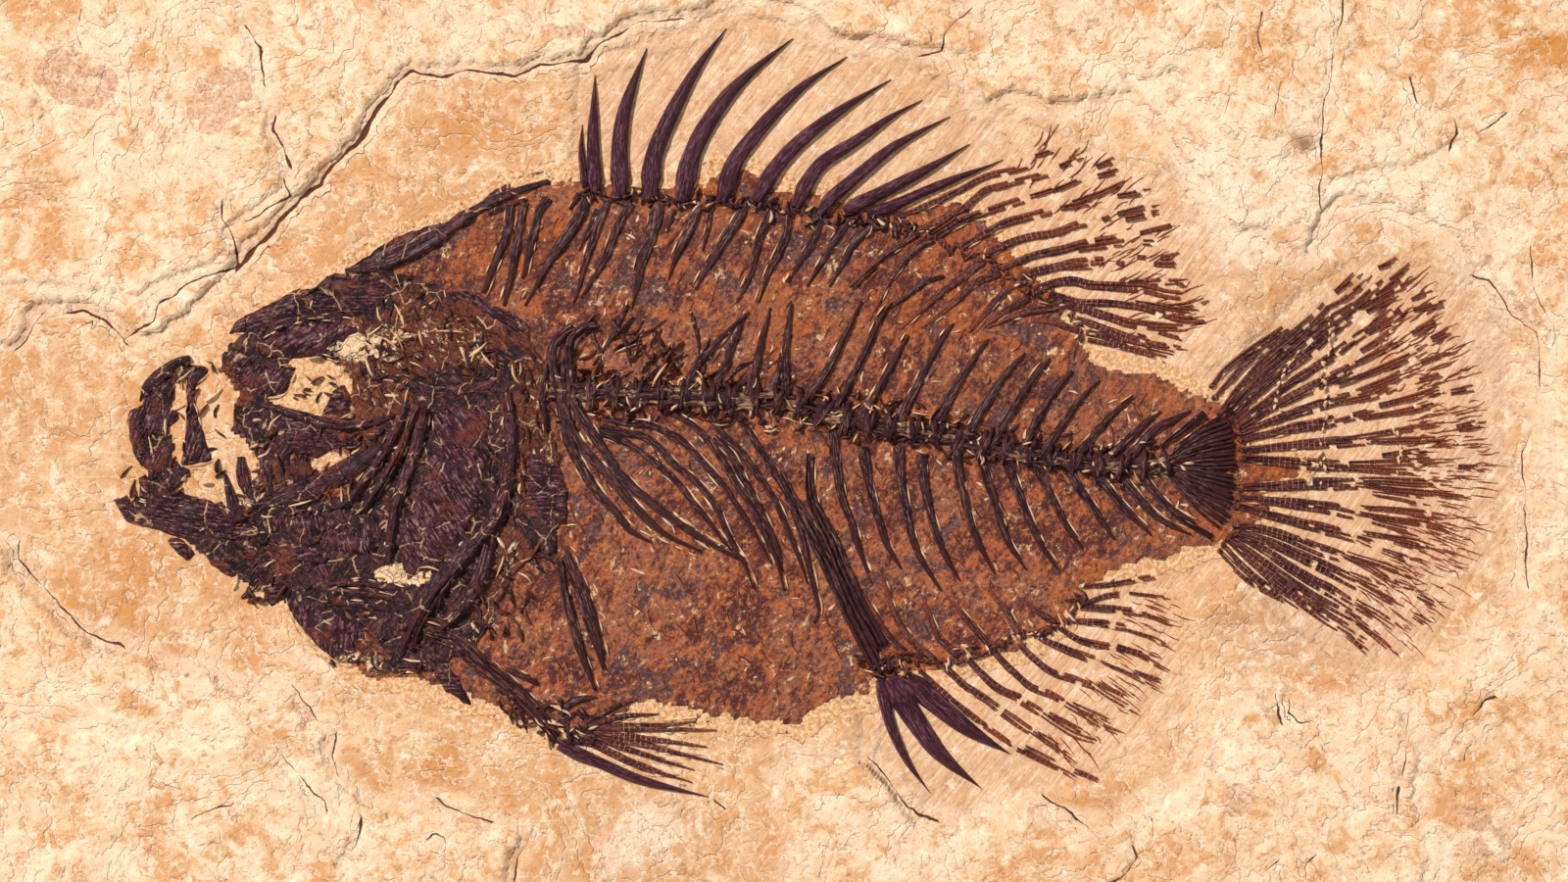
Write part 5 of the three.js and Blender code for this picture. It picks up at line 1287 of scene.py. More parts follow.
def addDorsalSupports():
    heap = Heap()
    for k, rod in enumerate(dorsalRods):
        addRow(heap, [rod], [0.9, 1, 0.85, 0.5], 0.5 * math.sqrt(rod[0]), 60 + k,
               [(0.5, 0, {"side": -1, "share": 0.6})], [0.15], ridges=2, ridgeDepth=0.25)
    addKnobs(heap, knobLine, 0.75, 0.95, 0.8, 80)
    heap.piece("dorsalFinSupports", skeletonFinish, "bone", "dorsal_fin_supports")


addDorsalSupports()


# Soft dorsal fin

# extra: the loose outer pieces of a ray; spread: how wide the strands lie at the root
softLook = {
    "height": 0.5, "step": 0.42, "spread": 0.6,
    "extraWidth": 0.66, "extraSpread": 0.9, "extraTips": (0.55, 1.15),
}

softDorsalBase = [[12, 22.2], [13.4, 21.3], [15.6, 20.4], [18, 19.3], [20.1, 18.6], [22, 17.2], [24, 16.1],
                  [25.8, 15.2], [27.4, 14.6], [28.6, 13.8], [29.8, 12.2], [30.6, 10.9]]
softDorsalRods = [
    [[13.4, 21], [9.7, 18.5], [6.6, 15.7]], [[15.2, 20.5], [13.5, 19.7], [11, 16.8], [9.5, 13.9], [8.7, 12.2]],
    [[20.4, 18.4], [18.2, 16.8], [14.9, 14.2], [11.9, 11.5]], [[22, 17.1], [19.3, 16.1], [17.2, 14], [14, 11.5]],
    [[24.2, 16], [23.2, 15.8], [20.9, 13.5], [18.8, 11]], [[25, 14.6], [22.6, 13.2], [20.4, 11.6]],
    [[28.4, 13.8], [27.4, 13.5], [23.7, 12.8], [20.7, 11.5]], [[30, 11.2], [27.6, 12], [26, 12.2]],
]
# Rays by root width: main line, then side branches and loose tips
softDorsalRays = [
    (0.75, [[11.2, 22.8], [13.3, 23.5], [15.7, 24.5], [18.2, 25.7], [19.8, 26.6], [21.5, 27.2], [25.2, 28.1]],
     [[[25.6, 29.1], [28.5, 29.9]]]),
    (0.8, [[13.3, 21.3], [15.7, 22.5], [18.2, 23.7], [20.3, 25.5], [22.3, 26.2], [26.8, 27.3]],
     [[[14.9, 21.2], [17.2, 22.8], [18.8, 24.4]], [[28.1, 28], [30.8, 29.2]], [[31.9, 27.9], [34, 28.9]]]),
    (0.8, [[15.3, 20.7], [17.3, 21.9], [19, 22.8], [22.8, 24.1], [24.4, 24.6]],
     [[[25.1, 24.9], [27.6, 25.7], [28.4, 26]], [[27.4, 25.5], [30.6, 26.8]], [[32, 27], [34.4, 27.7]]]),
    (0.9, [[18.2, 19.8], [20.9, 21.4], [23, 22.4], [25.2, 23], [27.6, 23.7]],
     [[[28.2, 23.7], [32.2, 24.5]], [[29, 24.2], [32, 25.2], [35.2, 26.6]], [[34, 25], [37.4, 25.6]]]),
    (0.9, [[20.2, 19], [22.8, 20.1], [25.1, 20.8], [27.6, 21.2], [29.9, 22], [32, 22.3]],
     [[[32.4, 22.7], [33.5, 23]], [[34, 23.2], [38.2, 24.3]], [[34.8, 22.6], [38.6, 23.5]]]),
    (0.9, [[22.1, 17.5], [23, 17.9], [25.5, 18.9], [28.3, 19.5], [31.1, 20.2], [34.6, 20.7]],
     [[[30, 19.5], [34.4, 20.2]], [[34.8, 20.6], [36, 20.8]], [[36.3, 21.2], [41, 22.3]], [[36.6, 20.3], [38, 20.2]]]),
    (0.85, [[24, 16.8], [25.1, 17.2], [28, 17.8], [30.2, 18.3], [32.9, 18.4]],
     [[[28.5, 17.7], [32.9, 17.9]], [[33.9, 18.3], [35, 18.1]], [[36, 18.8], [37.2, 18.7]],
      [[37.7, 18.1], [41, 18]], [[38.4, 18.7], [40.6, 19.1]]]),
    (0.85, [[25.4, 15.4], [27.3, 16.1], [29.4, 16.4], [31.3, 16], [34.5, 15.8], [36.6, 15.7], [39, 15.1], [41.6, 14.8]],
     [[[35.2, 16.2], [38, 16.2], [41.2, 16.3]], [[39.8, 16], [41, 15.9]]]),
    (0.85, [[27.2, 15.1], [28.6, 14.7], [30.4, 14.2], [33.4, 14.1], [36.9, 13.6], [40.2, 12.6], [42.8, 12.5]],
     [[[35.4, 14.2], [39, 13.8], [41.4, 14], [43.6, 14.7]], [[37, 13.9], [40, 13.4], [42.6, 13.1]]]),
    (0.85, [[28.4, 13.9], [30.2, 13.6], [32.4, 12.9], [35.1, 12.1], [37.6, 11.5]],
     [[[35, 12.3], [39, 11.8], [42.6, 11.7]], [[37, 11.6], [41.6, 11.4]], [[38.2, 11.1], [40.3, 10.5], [41.6, 9.9]]]),
    (0.8, [[29.8, 12.5], [31.6, 11.9], [33.4, 11.2], [35.7, 10.4], [38, 9.7]],
     [[[37, 10.1], [41.2, 9.4]], [[36, 10.8], [38, 10.2]]]),
    (0.7, [[30.8, 11.1], [32.6, 10.7], [35, 10], [37.6, 9.2]], [[[37, 9.6], [40.4, 8.8]]]),
    (0.6, [[31, 10.4], [33.2, 9.9], [35.4, 9.4], [38.9, 8.5]], []),
]


def addStrand(heap, line, widths, height, seed, random, tips):
    # one strand of a ray, broken once towards its tip
    start = 0
    for stop in (int(len(line) * (0.6 + 0.4 * random.random())), len(line)):
        if stop - start > 2:
            low, high = start / len(line), stop / len(line)
            share = np.interp(np.linspace(low, high, 5), np.linspace(0, 1, len(widths)), widths)
            addRod(heap, line[start:stop], share, height, seed + start, sides=5, ridges=1, wobble=0.16, crack=0.1,
                   tips=(tips[0] + (tips[1] - tips[0]) * low, tips[0] + (tips[1] - tips[0]) * high))
        start = stop + 1


def addRay(heap, wide, path, extras, seed, strands=2, flare=1.0, tips=(0.0, 1.0)):
    # one soft ray: strands side by side that spread towards its tip, then loose outer pieces
    random = np.random.default_rng(seed)
    extraWide = wide * softLook["extraWidth"]
    for points, span, ends in [(path, wide, tips)] + [(extra, extraWide, softLook["extraTips"]) for extra in extras]:
        line, _ = curveThrough(points, softLook["step"])
        main = points is path
        spread = np.linspace(softLook["spread" if main else "extraSpread"], flare, len(line))[:, None] * span
        offset = sideways(line) * spread
        for k in range(strands):
            start = 0 if main else int(random.integers(0, max(1, len(line) // 8)))
            last = len(line) - int(random.integers(0, max(1, len(line) // (9 if main else 4))))
            place = (k + 0.5) / strands - 0.5 + 0.06 * random.normal()
            each = span / strands * (0.84 + 0.34 * random.random()) * (0.94 if main else 0.74)
            widths = [each * 0.8, each, each * flare, each * flare, each * (0.8 if main else 0.2)]
            addStrand(heap, (line + offset * place)[start:last], widths,
                      softLook["height"] * (0.7 + 0.4 * random.random()), seed + 31 * k, random, ends)
    addRim(path[:3], wide * 0.4, seed, side=-1, share=0.45)


def addFringe(heap, root, nearest, furthest, low, high, count, seed):
    # faint hair-like ends of rays that fan out from a root, angles in degrees
    random = np.random.default_rng(seed)
    for k in range(count):
        angle = math.radians(low + (high - low) * random.random())
        reach = nearest + (furthest - nearest) * random.random()
        ahead = np.array([math.cos(angle), math.sin(angle)])
        start = np.asarray(root) + ahead * reach
        sway = np.array([-ahead[1], ahead[0]]) * random.normal() * 0.1
        length = 0.8 + 2.2 * random.random()
        addRod(heap, [start, start + ahead * length * 0.5 + sway, start + ahead * length - sway],
               [0.05, 0.13 + 0.1 * random.random(), 0.1, 0.05], 0.16, seed + k, sides=4, ridges=1, tips=(0.9, 1.3))


def addSoftDorsal():
    heap = Heap()
    for k, (wide, path, extras) in enumerate(softDorsalRays):
        addRay(heap, wide * 1.2, path, extras, 120 + 40 * k)
    addRow(heap, softDorsalRods, [0.7, 0.8, 0.6, 0.2], 0.45, 700, [(0.35, 0, {"share": 0.4})], ridges=2,
           ridgeDepth=0.25)
    addKnobs(heap, softDorsalBase, 0.8, 0.85, 0.55, 90, spread=0.3)
    addFringe(heap, [8, 3], 28, 35, 14, 58, 90, 95)
    heap.piece("softDorsalFin", rayFinish, "fin_ray", "soft_dorsal_fin")


addSoftDorsal()
print("dorsal fin laid")


# Supraneurals and ribs

supraneurals = [
    [[-27.9, 24.1], [-28.2, 21.6], [-29.4, 18.4], [-30.7, 15.1]],
    [[-26.5, 24.4], [-27.3, 20.1], [-27.8, 17], [-28.6, 13.8]],
    [[-24, 24.8], [-25.2, 23], [-25.8, 20.1], [-26.7, 16.6]],
]
ribs = [
    [[[-18.8, 0.8], [-16.4, 0], [-14, -1.6], [-12.3, -2.9], [-11, -4.1], [-9.3, -6.2], [-7.9, -7.9], [-6.4, -9.9],
      [-5.4, -11.1]]],
    [[[-18.8, 1.5], [-16.4, 0.9], [-14.4, 0.5], [-12.7, -0.7], [-11, -2.5], [-9.1, -4], [-7.6, -5.7], [-6.7, -7.2],
      [-5.9, -9.1], [-4.9, -11.1], [-4, -12.5], [-3.1, -15]]],
    [[[-18.6, 2.4], [-16.2, 1.9], [-14, 1.7], [-12.3, 1], [-10.3, -0.1], [-8.4, -2], [-6.4, -4.3], [-4.9, -6.4],
      [-3.5, -8.6], [-2.3, -10.6], [-1.3, -12.5]]],
    [[[-11.3, 2.8], [-9.3, 1.6], [-7.6, -0.1], [-6.2, -2.1], [-4.7, -4.5], [-3.5, -6.4], [-2.5, -8.4], [-1.5, -10.6],
      [-0.6, -12.5], [0, -15.2]],
     [[-7.1, 0.4], [-5.4, -1.3], [-4.2, -3.8], [-2.8, -6.4], [-1.5, -8.9], [-0.6, -11.1], [-0.1, -13.3]]],
    [[[-7.6, 2.6], [-6.2, 0.6], [-4.2, -1.3], [-2.8, -3.3], [-1.3, -5.5], [-0.1, -7.9], [0.9, -10.3], [1.9, -13],
      [2.4, -14.5]]],
    [[[-4.6, 2.6], [-2.6, -0.6], [-1, -3.3], [-0.1, -4.7], [1.1, -7.4], [1.9, -10.1], [2.6, -13], [3.1, -15.5],
      [3.5, -17.4], [3, -18.6]]],
]
for k, path in enumerate(supraneurals):
    rims = [(0.45, 0, {"side": -1, "share": 0.7}), (0.5, 20, {"share": 0.4})]
    heap = addRow(Heap(), [path], [0.9, 0.95, 0.9, 0.7, 0.3], 0.55, 740 + k, rims, ridges=2, ridgeDepth=0.3)
    heap.piece(f"supraneural{k + 1}", skeletonFinish, "bone", f"supraneural_{k + 1}")
for k, paths in enumerate(ribs):
    rims = [(0.42, 0, {"share": 0.75, "length": 2.4}), (0.42, 5, {"side": -1, "share": 0.2})]
    heap = addRow(Heap(), paths, [0.7, 0.85, 0.8, 0.7, 0.55, 0.2], 0.6, 780 + 10 * k, rims, ridges=1, ridgeDepth=0.2)
    heap.piece(f"rib{k + 1}", skeletonFinish, "bone", f"rib_{k + 1}")


# First support of the anal fin and the vertebral column

firstSupport = [
    (1.5, [[-0.4, -3.2], [0.7, -5.5], [2.1, -7.9], [3.3, -10.3], [4.6, -12.8], [6, -15.7], [7.2, -18.4],
           [8.7, -21.3], [9.9, -23.7]]),
    (1.3, [[2.6, -1.3], [2.6, -4.7], [3.3, -7.2], [4.8, -10.1], [6, -13], [7.5, -16.4], [8.9, -18.9], [9.9, -20.8]]),
]


def addFirstSupport():
    heap = Heap()
    for k, (wide, path) in enumerate(firstSupport):
        addBundle(heap, path, wide * 1.2, [0.4, 0.8, 1, 1, 0.9], 1.0, 850 + 40 * k)
        addRim(path, wide * 0.5, 850 + k, side=1, share=0.7, length=2.4)
        addRim(path, 0.0, 853 + k, share=0.6, length=3)
    addKnobs(heap, [[8.6, -22.4], [10.6, -23.6], [12, -24.2]], 0.7, 1.2, 0.9, 860, spread=0.5)
    heap.piece("firstAnalSupport", skeletonFinish, "bone", "first_anal_support")


addFirstSupport()

columnAxis = [[-24.5, 5.2], [-19, 5], [-12, 4.6], [-4, 4.1], [1, 4], [4.8, 2.6], [9, 1.7], [14.7, 0.85], [18.9, 0],
              [23.2, -1.1], [27.4, -1.7], [31.6, -2.3], [35.9, -2.5], [39.2, -2.4]]
neuralSpines = [
    [[-10.6, 4.6], [-9, 7.4], [-7, 9.8], [-4.4, 12.6]], [[-7.4, 4.4], [-6.3, 7.2], [-5.1, 10], [-3.9, 13]],
    [[-3.7, 4.2], [-2.9, 7.6], [-2.2, 10.4], [-1.4, 13.6]], [[-1.6, 4.8], [-0.6, 6.8], [-0.3, 9]],
    [[0.2, 4.6], [0.1, 8.2], [0.3, 11], [0.8, 14.1]], [[2, 3.8], [4.2, 7], [5.6, 9.6], [6.8, 12], [7.9, 14.3]],
    [[4.9, 2.8], [6.9, 6.4], [8.4, 9.4], [9.8, 12.4], [11, 14.1]], [[7.8, 2.2], [9.6, 5.2], [11, 7.8], [12.7, 10.8]],
    [[11.4, 1.4], [13.2, 5], [15.2, 9], [17.3, 12]], [[15, 0.9], [16.6, 3.8], [18.6, 7.4], [20.9, 10.4]],
    [[18.4, 0.2], [20.6, 3.9], [22.6, 6.8], [24.6, 9]], [[21, -0.6], [23.3, 3.3], [25.2, 6.2], [27.1, 8.5]],
    [[24.2, -1.2], [26, 2.6], [27.6, 5], [29.4, 7.2]], [[26.3, -1.5], [28.6, 2], [30.2, 4.2], [32.2, 6.2]],
    [[29.6, -1.9], [32, 1.1], [33.8, 3], [35.7, 4.4]], [[32.3, -2.2], [35, 0.1], [36.8, 1.8], [38.5, 3]],
    [[34.7, -2.3], [37.3, 0.8], [39.6, 2.2], [41.5, 3.1]],
]
haemalSpines = [
    [[5, 1.1], [5.3, -2.3], [6, -6], [7, -8.6], [7.5, -10.6], [8.5, -13.5]],
    [[8, -0.6], [8.7, -4.7], [9.7, -8.2], [10.6, -10.8], [11.9, -13]],
    [[11.6, -0.6], [12.1, -4.7], [12.6, -7.7], [13.3, -10.6], [14.5, -13], [16, -15.2]],
    [[14, -1.3], [14.5, -5.5], [15.3, -8.6], [16.4, -11.6], [17.9, -14.2]],
    [[17.4, 0.2], [17.9, -3.6], [18.7, -7.2], [19.7, -10.2], [21.5, -13.5]],
    [[19.8, -0.4], [20.8, -4], [21.7, -7], [22.9, -10.4], [24.7, -13.1]],
    [[22.4, -1.1], [23.6, -4.4], [24.6, -7], [26, -10.2], [27.8, -13]],
    [[25.4, -1.6], [26.6, -4.4], [27.7, -6.5], [28.8, -8.7], [30.4, -10.9]],
    [[28.6, -2], [30, -4.6], [31.6, -7], [33.7, -10]], [[31.2, -2.4], [33.2, -5], [35.2, -7.3], [37.5, -9.6]],
    [[33.6, -2.6], [36, -5.6], [38.4, -8], [41.5, -9.6]], [[36, -2.8], [37.6, -5], [39.4, -6.9], [41.9, -8.4]],
]
columnLook = {"pitch": 2.45, "width": 2.5, "height": 1.35, "splinters": 7, "flecks": 3}


def addVertebra(heap, a, b, wide, seed):
    # a crushed centrum between two dark end rims, with struts, splinters and flecks of rock
    a, b = np.asarray(a), np.asarray(b)
    along = b - a
    length = np.hypot(*along)
    along, across = along / length, np.array([-along[1], along[0]]) / length
    random = np.random.default_rng(seed)
    for side in (-1, 0, 1):
        shift = across * side * wide * 0.26
        addRod(heap, [a + shift, (a + b) / 2 + shift * 0.8, b + shift], [wide * 0.4, wide * 0.26, wide * 0.4],
               columnLook["height"] * (0.5 + 0.35 * random.random()), seed + side, wobble=0.3, ridges=2, ridgeDepth=0.3,
               sides=6, pale=0.5 * (random.random() < 0.45))
    for end, lean in ((a + along * 0.25, 0.3), (b - along * 0.15, -0.2)):
        up = wide * (0.55 + 0.3 * random.random())
        down = wide * (0.5 + 0.25 * random.random())
        slant = along * (lean + random.normal(0, 0.25))
        addRod(heap, [end - across * down - slant, end, end + across * up + slant], [0.25, 0.7, 0.85, 0.7, 0.2],
               columnLook["height"] * (0.8 + 0.3 * random.random()), seed + 5, wobble=0.25, ridges=1, sides=7)
    for k in range(columnLook["splinters"]):
        spot = a + (b - a) * random.random() + across * random.normal(0, wide * 0.5)
        angle = random.random() * 3.1
        addShard(matrixHeap if k < columnLook["flecks"] else heap, spot, angle, 0.6 + 0.9 * random.random(),
                 0.2 + 0.25 * random.random(), 0.7 + 0.6 * random.random(), seed + k + 9, random)


def addColumn():
    heap = Heap()
    joints, _ = curveThrough(columnAxis, columnLook["pitch"])
    for k, (a, b) in enumerate(zip(joints[:-1], joints[1:])):
        share = k / len(joints)
        addVertebra(heap, a, b, columnLook["width"] * (1.05 - 0.22 * share), 900 + 20 * k)
    addRow(heap, neuralSpines, [1.1, 0.85, 0.75, 0.6, 0.2], 0.75, 1400, [(0.42, 0, {"share": 0.55, "length": 2})],
           ridges=1, ridgeDepth=0.2)
    addRow(heap, haemalSpines, [1.2, 0.95, 0.85, 0.7, 0.2], 0.75, 1440, [(0.46, 0, {"share": 0.75, "length": 2.4})],
           ridges=1, ridgeDepth=0.2)
    heap.piece("vertebralColumn", skeletonFinish, "bone", "vertebral_column")


addColumn()
print("skeleton laid")


# Tail

# Plates and rays of the tail by width: main line, then side branches and loose tips
hypurals = [
    (2.2, [[38.9, -2.1], [42.4, 0.2], [45.6, 1.4]]), (1.9, [[38.9, -2.2], [42.6, -0.9], [45.8, -0.2]]),
    (1.9, [[38.9, -2.4], [42.6, -2.2], [45.9, -2]]), (2.1, [[38.9, -2.6], [42.4, -3.6], [45.6, -4.4]]),
    (2.1, [[38.9, -2.8], [42, -4.8], [45.2, -6.4]]), (1.9, [[38.9, -3], [41.6, -5.8], [44.8, -8.2]]),
    (0.9, [[38.4, -0.6], [40.6, 1.1], [42.9, 2.8]]), (0.9, [[39.8, -0.8], [42.6, 1.2], [45.7, 3.1]]),
    (0.7, [[36.8, -4.4], [40, -7.6], [43.6, -9.8]]),
]
upperTail = [
    (0.6, [[43.6, 5.6], [45, 7.3], [47.2, 9], [49.4, 10.4], [51.3, 11.6]], []),
    (0.7, [[43.9, 4.4], [46.4, 7.2], [48.6, 9.3], [51, 11.4]], []),
    (0.8, [[44.4, 2.9], [46.4, 5.4], [48.7, 7.9], [51.6, 10.5], [54, 12.5], [55.3, 13.8]],
     [[[55.3, 13.6], [57.4, 14.7], [60, 16.9]], [[60.6, 17.7], [62.9, 18.7]], [[56.2, 15.2], [58.8, 17.4]]]),
    (0.8, [[44.8, 2.5], [49.2, 7], [52.2, 9.7], [54.8, 11.8], [58.5, 14]],
     [[[58, 13.8], [61.4, 16.6]], [[58.6, 13.6], [60.6, 15.2]], [[61.8, 16.4], [64.2, 18.2]]]),
    (0.85, [[45.4, 2], [49.8, 6.2], [53.1, 8.8], [55.3, 10.8], [58.5, 13.4]],
     [[[58.5, 13.4], [61.4, 14.9], [65.1, 16.8]], [[59.4, 13.2], [63.4, 15.2]], [[60.4, 14.8], [63.8, 17.2]]]),
    (0.9, [[46.1, 1.8], [50.9, 5.3], [54.2, 7.5], [56.1, 8.8], [59.2, 11]],
     [[[59.2, 11.1], [60.9, 12.6], [63.1, 13.8]], [[59.6, 11], [63.5, 13.2]], [[64.2, 13.4], [67.5, 14.2]],
      [[64, 14.4], [66.4, 15.6]]]),
    (0.95, [[46.3, 1.4], [50.5, 3.8], [54, 5.6], [56.2, 6.6], [58.5, 7.8]],
     [[[58.3, 7.9], [62.9, 10.3]], [[55.7, 5.5], [59.6, 6.9], [64, 8.8], [65.7, 9.7]], [[58.8, 9.2], [62.4, 11.4]],
      [[66, 10.4], [68.6, 11.6]], [[64, 11], [67, 12.6]]]),
    (0.95, [[46.3, 0.8], [50.9, 2.5], [54.2, 3.6], [58.5, 4.9]],
     [[[58.4, 5], [61.8, 6.3], [64, 7.5]], [[56.1, 3.9], [59.6, 4.5], [63.5, 6.2]], [[64.8, 6.3], [67.5, 6.9]],
      [[65, 8], [68.6, 9.4]]]),
    (0.95, [[46.5, 0.1], [49.8, 0.7], [52.2, 1.3], [54.8, 1.7], [58.1, 2.6]],
     [[[58, 2.7], [60.5, 3.2]], [[60.7, 3.6], [64, 4.4], [67.2, 5.4]], [[58.6, 2.3], [62.7, 2.9], [67, 3.8]],
      [[68, 5], [71, 5.6]]]),
    (0.95, [[46.5, -0.9], [50.9, -0.6], [54, -0.3], [57.4, -0.05], [59.6, 0.05]],
     [[[59.4, 0], [63.8, 0.1], [68, 0.2]], [[58.1, 0.4], [61.8, 0.95], [67.7, 1.9]], [[68.6, 1.4], [71.6, 2]]]),
    (0.95, [[46.8, -1.8], [50.9, -2.05], [54, -2.3], [57.4, -2.4]],
     [[[57.2, -2.3], [61.8, -2.2], [68.3, -1.8]], [[56.1, -2.9], [60, -3], [66.2, -3.4]], [[68.8, -2.6], [71.8, -2.8]],
      [[61, -1.5], [66, -1]]]),
]
middleTail = [
    (0.95, [[46.5, -4.8], [49.8, -4.7], [52.2, -4.5], [55.3, -4.4], [58.5, -4.4]],
     [[[58.3, -4.4], [61.8, -4.9], [65.1, -5.2], [70.5, -5.9]], [[58.6, -4], [64, -4.2], [69, -4.6]],
      [[60, -5.4], [66, -6.3]]]),
    (0.95, [[46.3, -5.75], [49.8, -6.1], [53.1, -6.5], [55.7, -6.8], [58.5, -7.4]],
     [[[58.3, -7.3], [61.8, -7.9], [66.2, -8.6], [69, -9.7]], [[58.8, -6.8], [63, -7.1], [68.4, -8]],
      [[60, -8.2], [65.4, -9.6]]]),
    (0.9, [[46.1, -6.6], [48.3, -7.2], [50.5, -7.8], [53.1, -8.5], [55.7, -9.1], [58.5, -9.9]],
     [[[58.4, -9.9], [60.3, -10.6]], [[62.2, -10.3], [65.9, -11.2]], [[59, -9.4], [64, -10.2], [67.4, -11.4]],
      [[61, -11.2], [65.4, -12.6]]]),
]
lowerTail = [
    (0.9, [[46.1, -8.6], [48.7, -8.9], [51.3, -9.7], [54.2, -10.8], [57, -11.7]],
     [[[56.8, -11.6], [59.6, -12.9], [61.8, -14.3], [64, -15.1]], [[57.4, -11.5], [61.6, -12.9], [65.6, -14.6]],
      [[64.6, -15.8], [66.6, -16.8]]]),
    (0.9, [[46.1, -9.2], [49.2, -10.2], [52, -11.4], [55.3, -12.9], [58.5, -14.5]],
     [[[58.3, -14.4], [60.9, -15.8], [63.8, -17.3]], [[57.6, -13.6], [61, -15]], [[64.2, -17.8], [65.8, -18.8]]]),
    (0.9, [[45.9, -9.5], [49.2, -11.3], [52.2, -13.3], [55.3, -15.1], [58.5, -17.1]],
     [[[58.4, -17], [60.9, -18.4]], [[58, -16.2], [61.6, -18.4], [63.4, -19.8]]]),
    (0.9, [[45.4, -9.8], [49.4, -12.7], [52.2, -14.8], [55.3, -16.8], [58.5, -18.5]],
     [[[58.4, -18.5], [61.4, -20.8], [62.9, -22.6]], [[57.8, -17.8], [60.6, -20]]]),
    (0.8, [[45.2, -10], [49.2, -13.6], [52.2, -16], [55.3, -18.1], [56.6, -18.9]],
     [[[56.5, -18.8], [59.6, -20.7]], [[57.4, -19.8], [60.2, -22]]]),
    (0.75, [[44.8, -10.6], [47.6, -13.6], [50, -15.4], [52.4, -17]], []),
    (0.6, [[44.4, -11.2], [47.2, -14], [50.5, -15.9]], []),
]


# name, node, rays, seed, how bold, and the angles between which the fringe fans out
tailBundles = [
    ("upperTailRays", "upper_tail_rays", upperTail, 1600, 1.02, 1, 43),
    ("middleTailRays", "middle_tail_rays", middleTail, 2200, 1.15, -14, 0),
    ("lowerTailRays", "lower_tail_rays", lowerTail, 2500, 1.12, -44, -14),
]
tailLook = {"strands": 3, "flare": 1.45, "tips": (0.0, 0.7), "root": [43.5, -2.2], "fringe": 16}


def addTail():
    heap = Heap()
    for k, (wide, path) in enumerate(hypurals):
        addBundle(heap, path, wide, [0.35, 0.6, 0.85, 1], 0.7, 5200 + 60 * k, strands=4)
        addRim(path, wide * 0.3, 1500 + k, share=0.5)
    addKnobs(heap, [[38, -2.4], [40.4, -2.4]], 0.6, 1.0, 0.9, 1520)
    heap.piece("tailPlates", skeletonFinish, "bone", "tail_plates")
    for name, node, rays, seed, bold, low, high in tailBundles:
        heap = Heap()
        for k, (wide, path, extras) in enumerate(rays):
            addRay(heap, wide * bold, path, extras, seed + 50 * k, tailLook["strands"], tailLook["flare"],
                   tailLook["tips"])
            addLump(heap, *path[0], wide * 0.9, 0.6, 0.3 * k, seed + 50 * k + 3)
        addFringe(heap, tailLook["root"], 20, 27.5, low, high, tailLook["fringe"] * len(rays), seed + 5)
        heap.piece(name, rayFinish, "fin_ray", node)


addTail()
print("tail laid")


# Anal fin

analBase = [[10.9, -22.6], [13, -22], [16, -22.6], [18.4, -21.7], [21.2, -21], [23.7, -19.9], [26, -19.4],
            [28, -18.5], [29.6, -17.4], [30.5, -15.2]]
analRods = [
    [[12.4, -21.6], [10.9, -20.3], [9.7, -18.4], [8, -15.5]], [[15.3, -22.3], [13.3, -20.6], [11.4, -17.9],
                                                               [10.6, -15.7], [9.7, -13]],
    [[17.8, -22], [15.7, -19.8], [14, -15.6]], [[21, -20.9], [19.2, -18.8], [16.6, -15.8]],
    [[24, -19.7], [22.6, -17.2], [20.6, -15]], [[27.6, -18.6], [25.6, -17.2], [23.8, -16.1]],
]
analRays = [
    (0.8, [[13.8, -23.4], [16.2, -25.6], [18.2, -27.3], [19.6, -28.4], [21.8, -30], [23.5, -31.2]],
     [[[23.4, -31.2], [26.2, -32.5], [28.7, -33.7], [30.6, -35]], [[24.6, -31.2], [28.2, -33]]]),
    (0.8, [[16.5, -23.2], [18.7, -25.1], [20.6, -26.3], [22.6, -27.8], [25, -29.5]],
     [[[25, -29.5], [28.7, -32.2], [30.6, -33.7]], [[25.8, -29.8], [29.6, -32]], [[29.6, -33.6], [32.6, -34.8]]]),
    (0.8, [[18.9, -22.4], [20.6, -24.2], [22.1, -25.4], [23.8, -26.2], [26, -27.6]],
     [[[26, -27.6], [27.9, -29], [30.1, -30.2], [32.8, -30.9]], [[27, -27.8], [31, -29.9]]]),
    (0.8, [[21.6, -21.7], [23.5, -23.7], [25.2, -25.1], [27.2, -25.9], [28.7, -26.8]],
     [[[28.7, -26.8], [30.4, -27.8], [32.3, -29], [34.7, -30]], [[29.4, -26.8], [33.4, -28.6]]]),
    (0.75, [[24, -20.7], [25.5, -22.2], [27.4, -23.6], [29.4, -24.2], [31.6, -25]],
     [[[31.6, -25], [33.3, -26.1], [36.7, -28]], [[32, -24.7], [35.6, -26.4]]]),
    (0.7, [[26, -20], [28.9, -21.3], [32.3, -22.5]],
     [[[32.3, -22.5], [35.2, -23.8], [38.6, -25.6]], [[35.7, -23.5], [39.1, -24.7]]]),
    (0.7, [[28.2, -19.1], [30.4, -20.4], [33.5, -21]], [[[33.5, -21.1], [36, -21.8], [39.6, -23.7]],
                                                        [[34, -20.8], [38.4, -22.2]]]),
    (0.65, [[29.4, -18.3], [32.3, -18.6], [34.6, -19]], [[[34.6, -19.1], [37.7, -20.1], [39.9, -21.3]]]),
    (0.6, [[30.2, -17], [33.5, -17.1], [36.5, -17.5]], [[[36.5, -17.6], [39.9, -18.8]]]),
    (0.55, [[30.6, -16.6], [32.8, -15.8], [35.2, -15.5]], [[[35.2, -15.5], [39.4, -16]]]),
    (0.5, [[30.6, -14.9], [34, -14.5], [37.7, -13.8]], []),
]


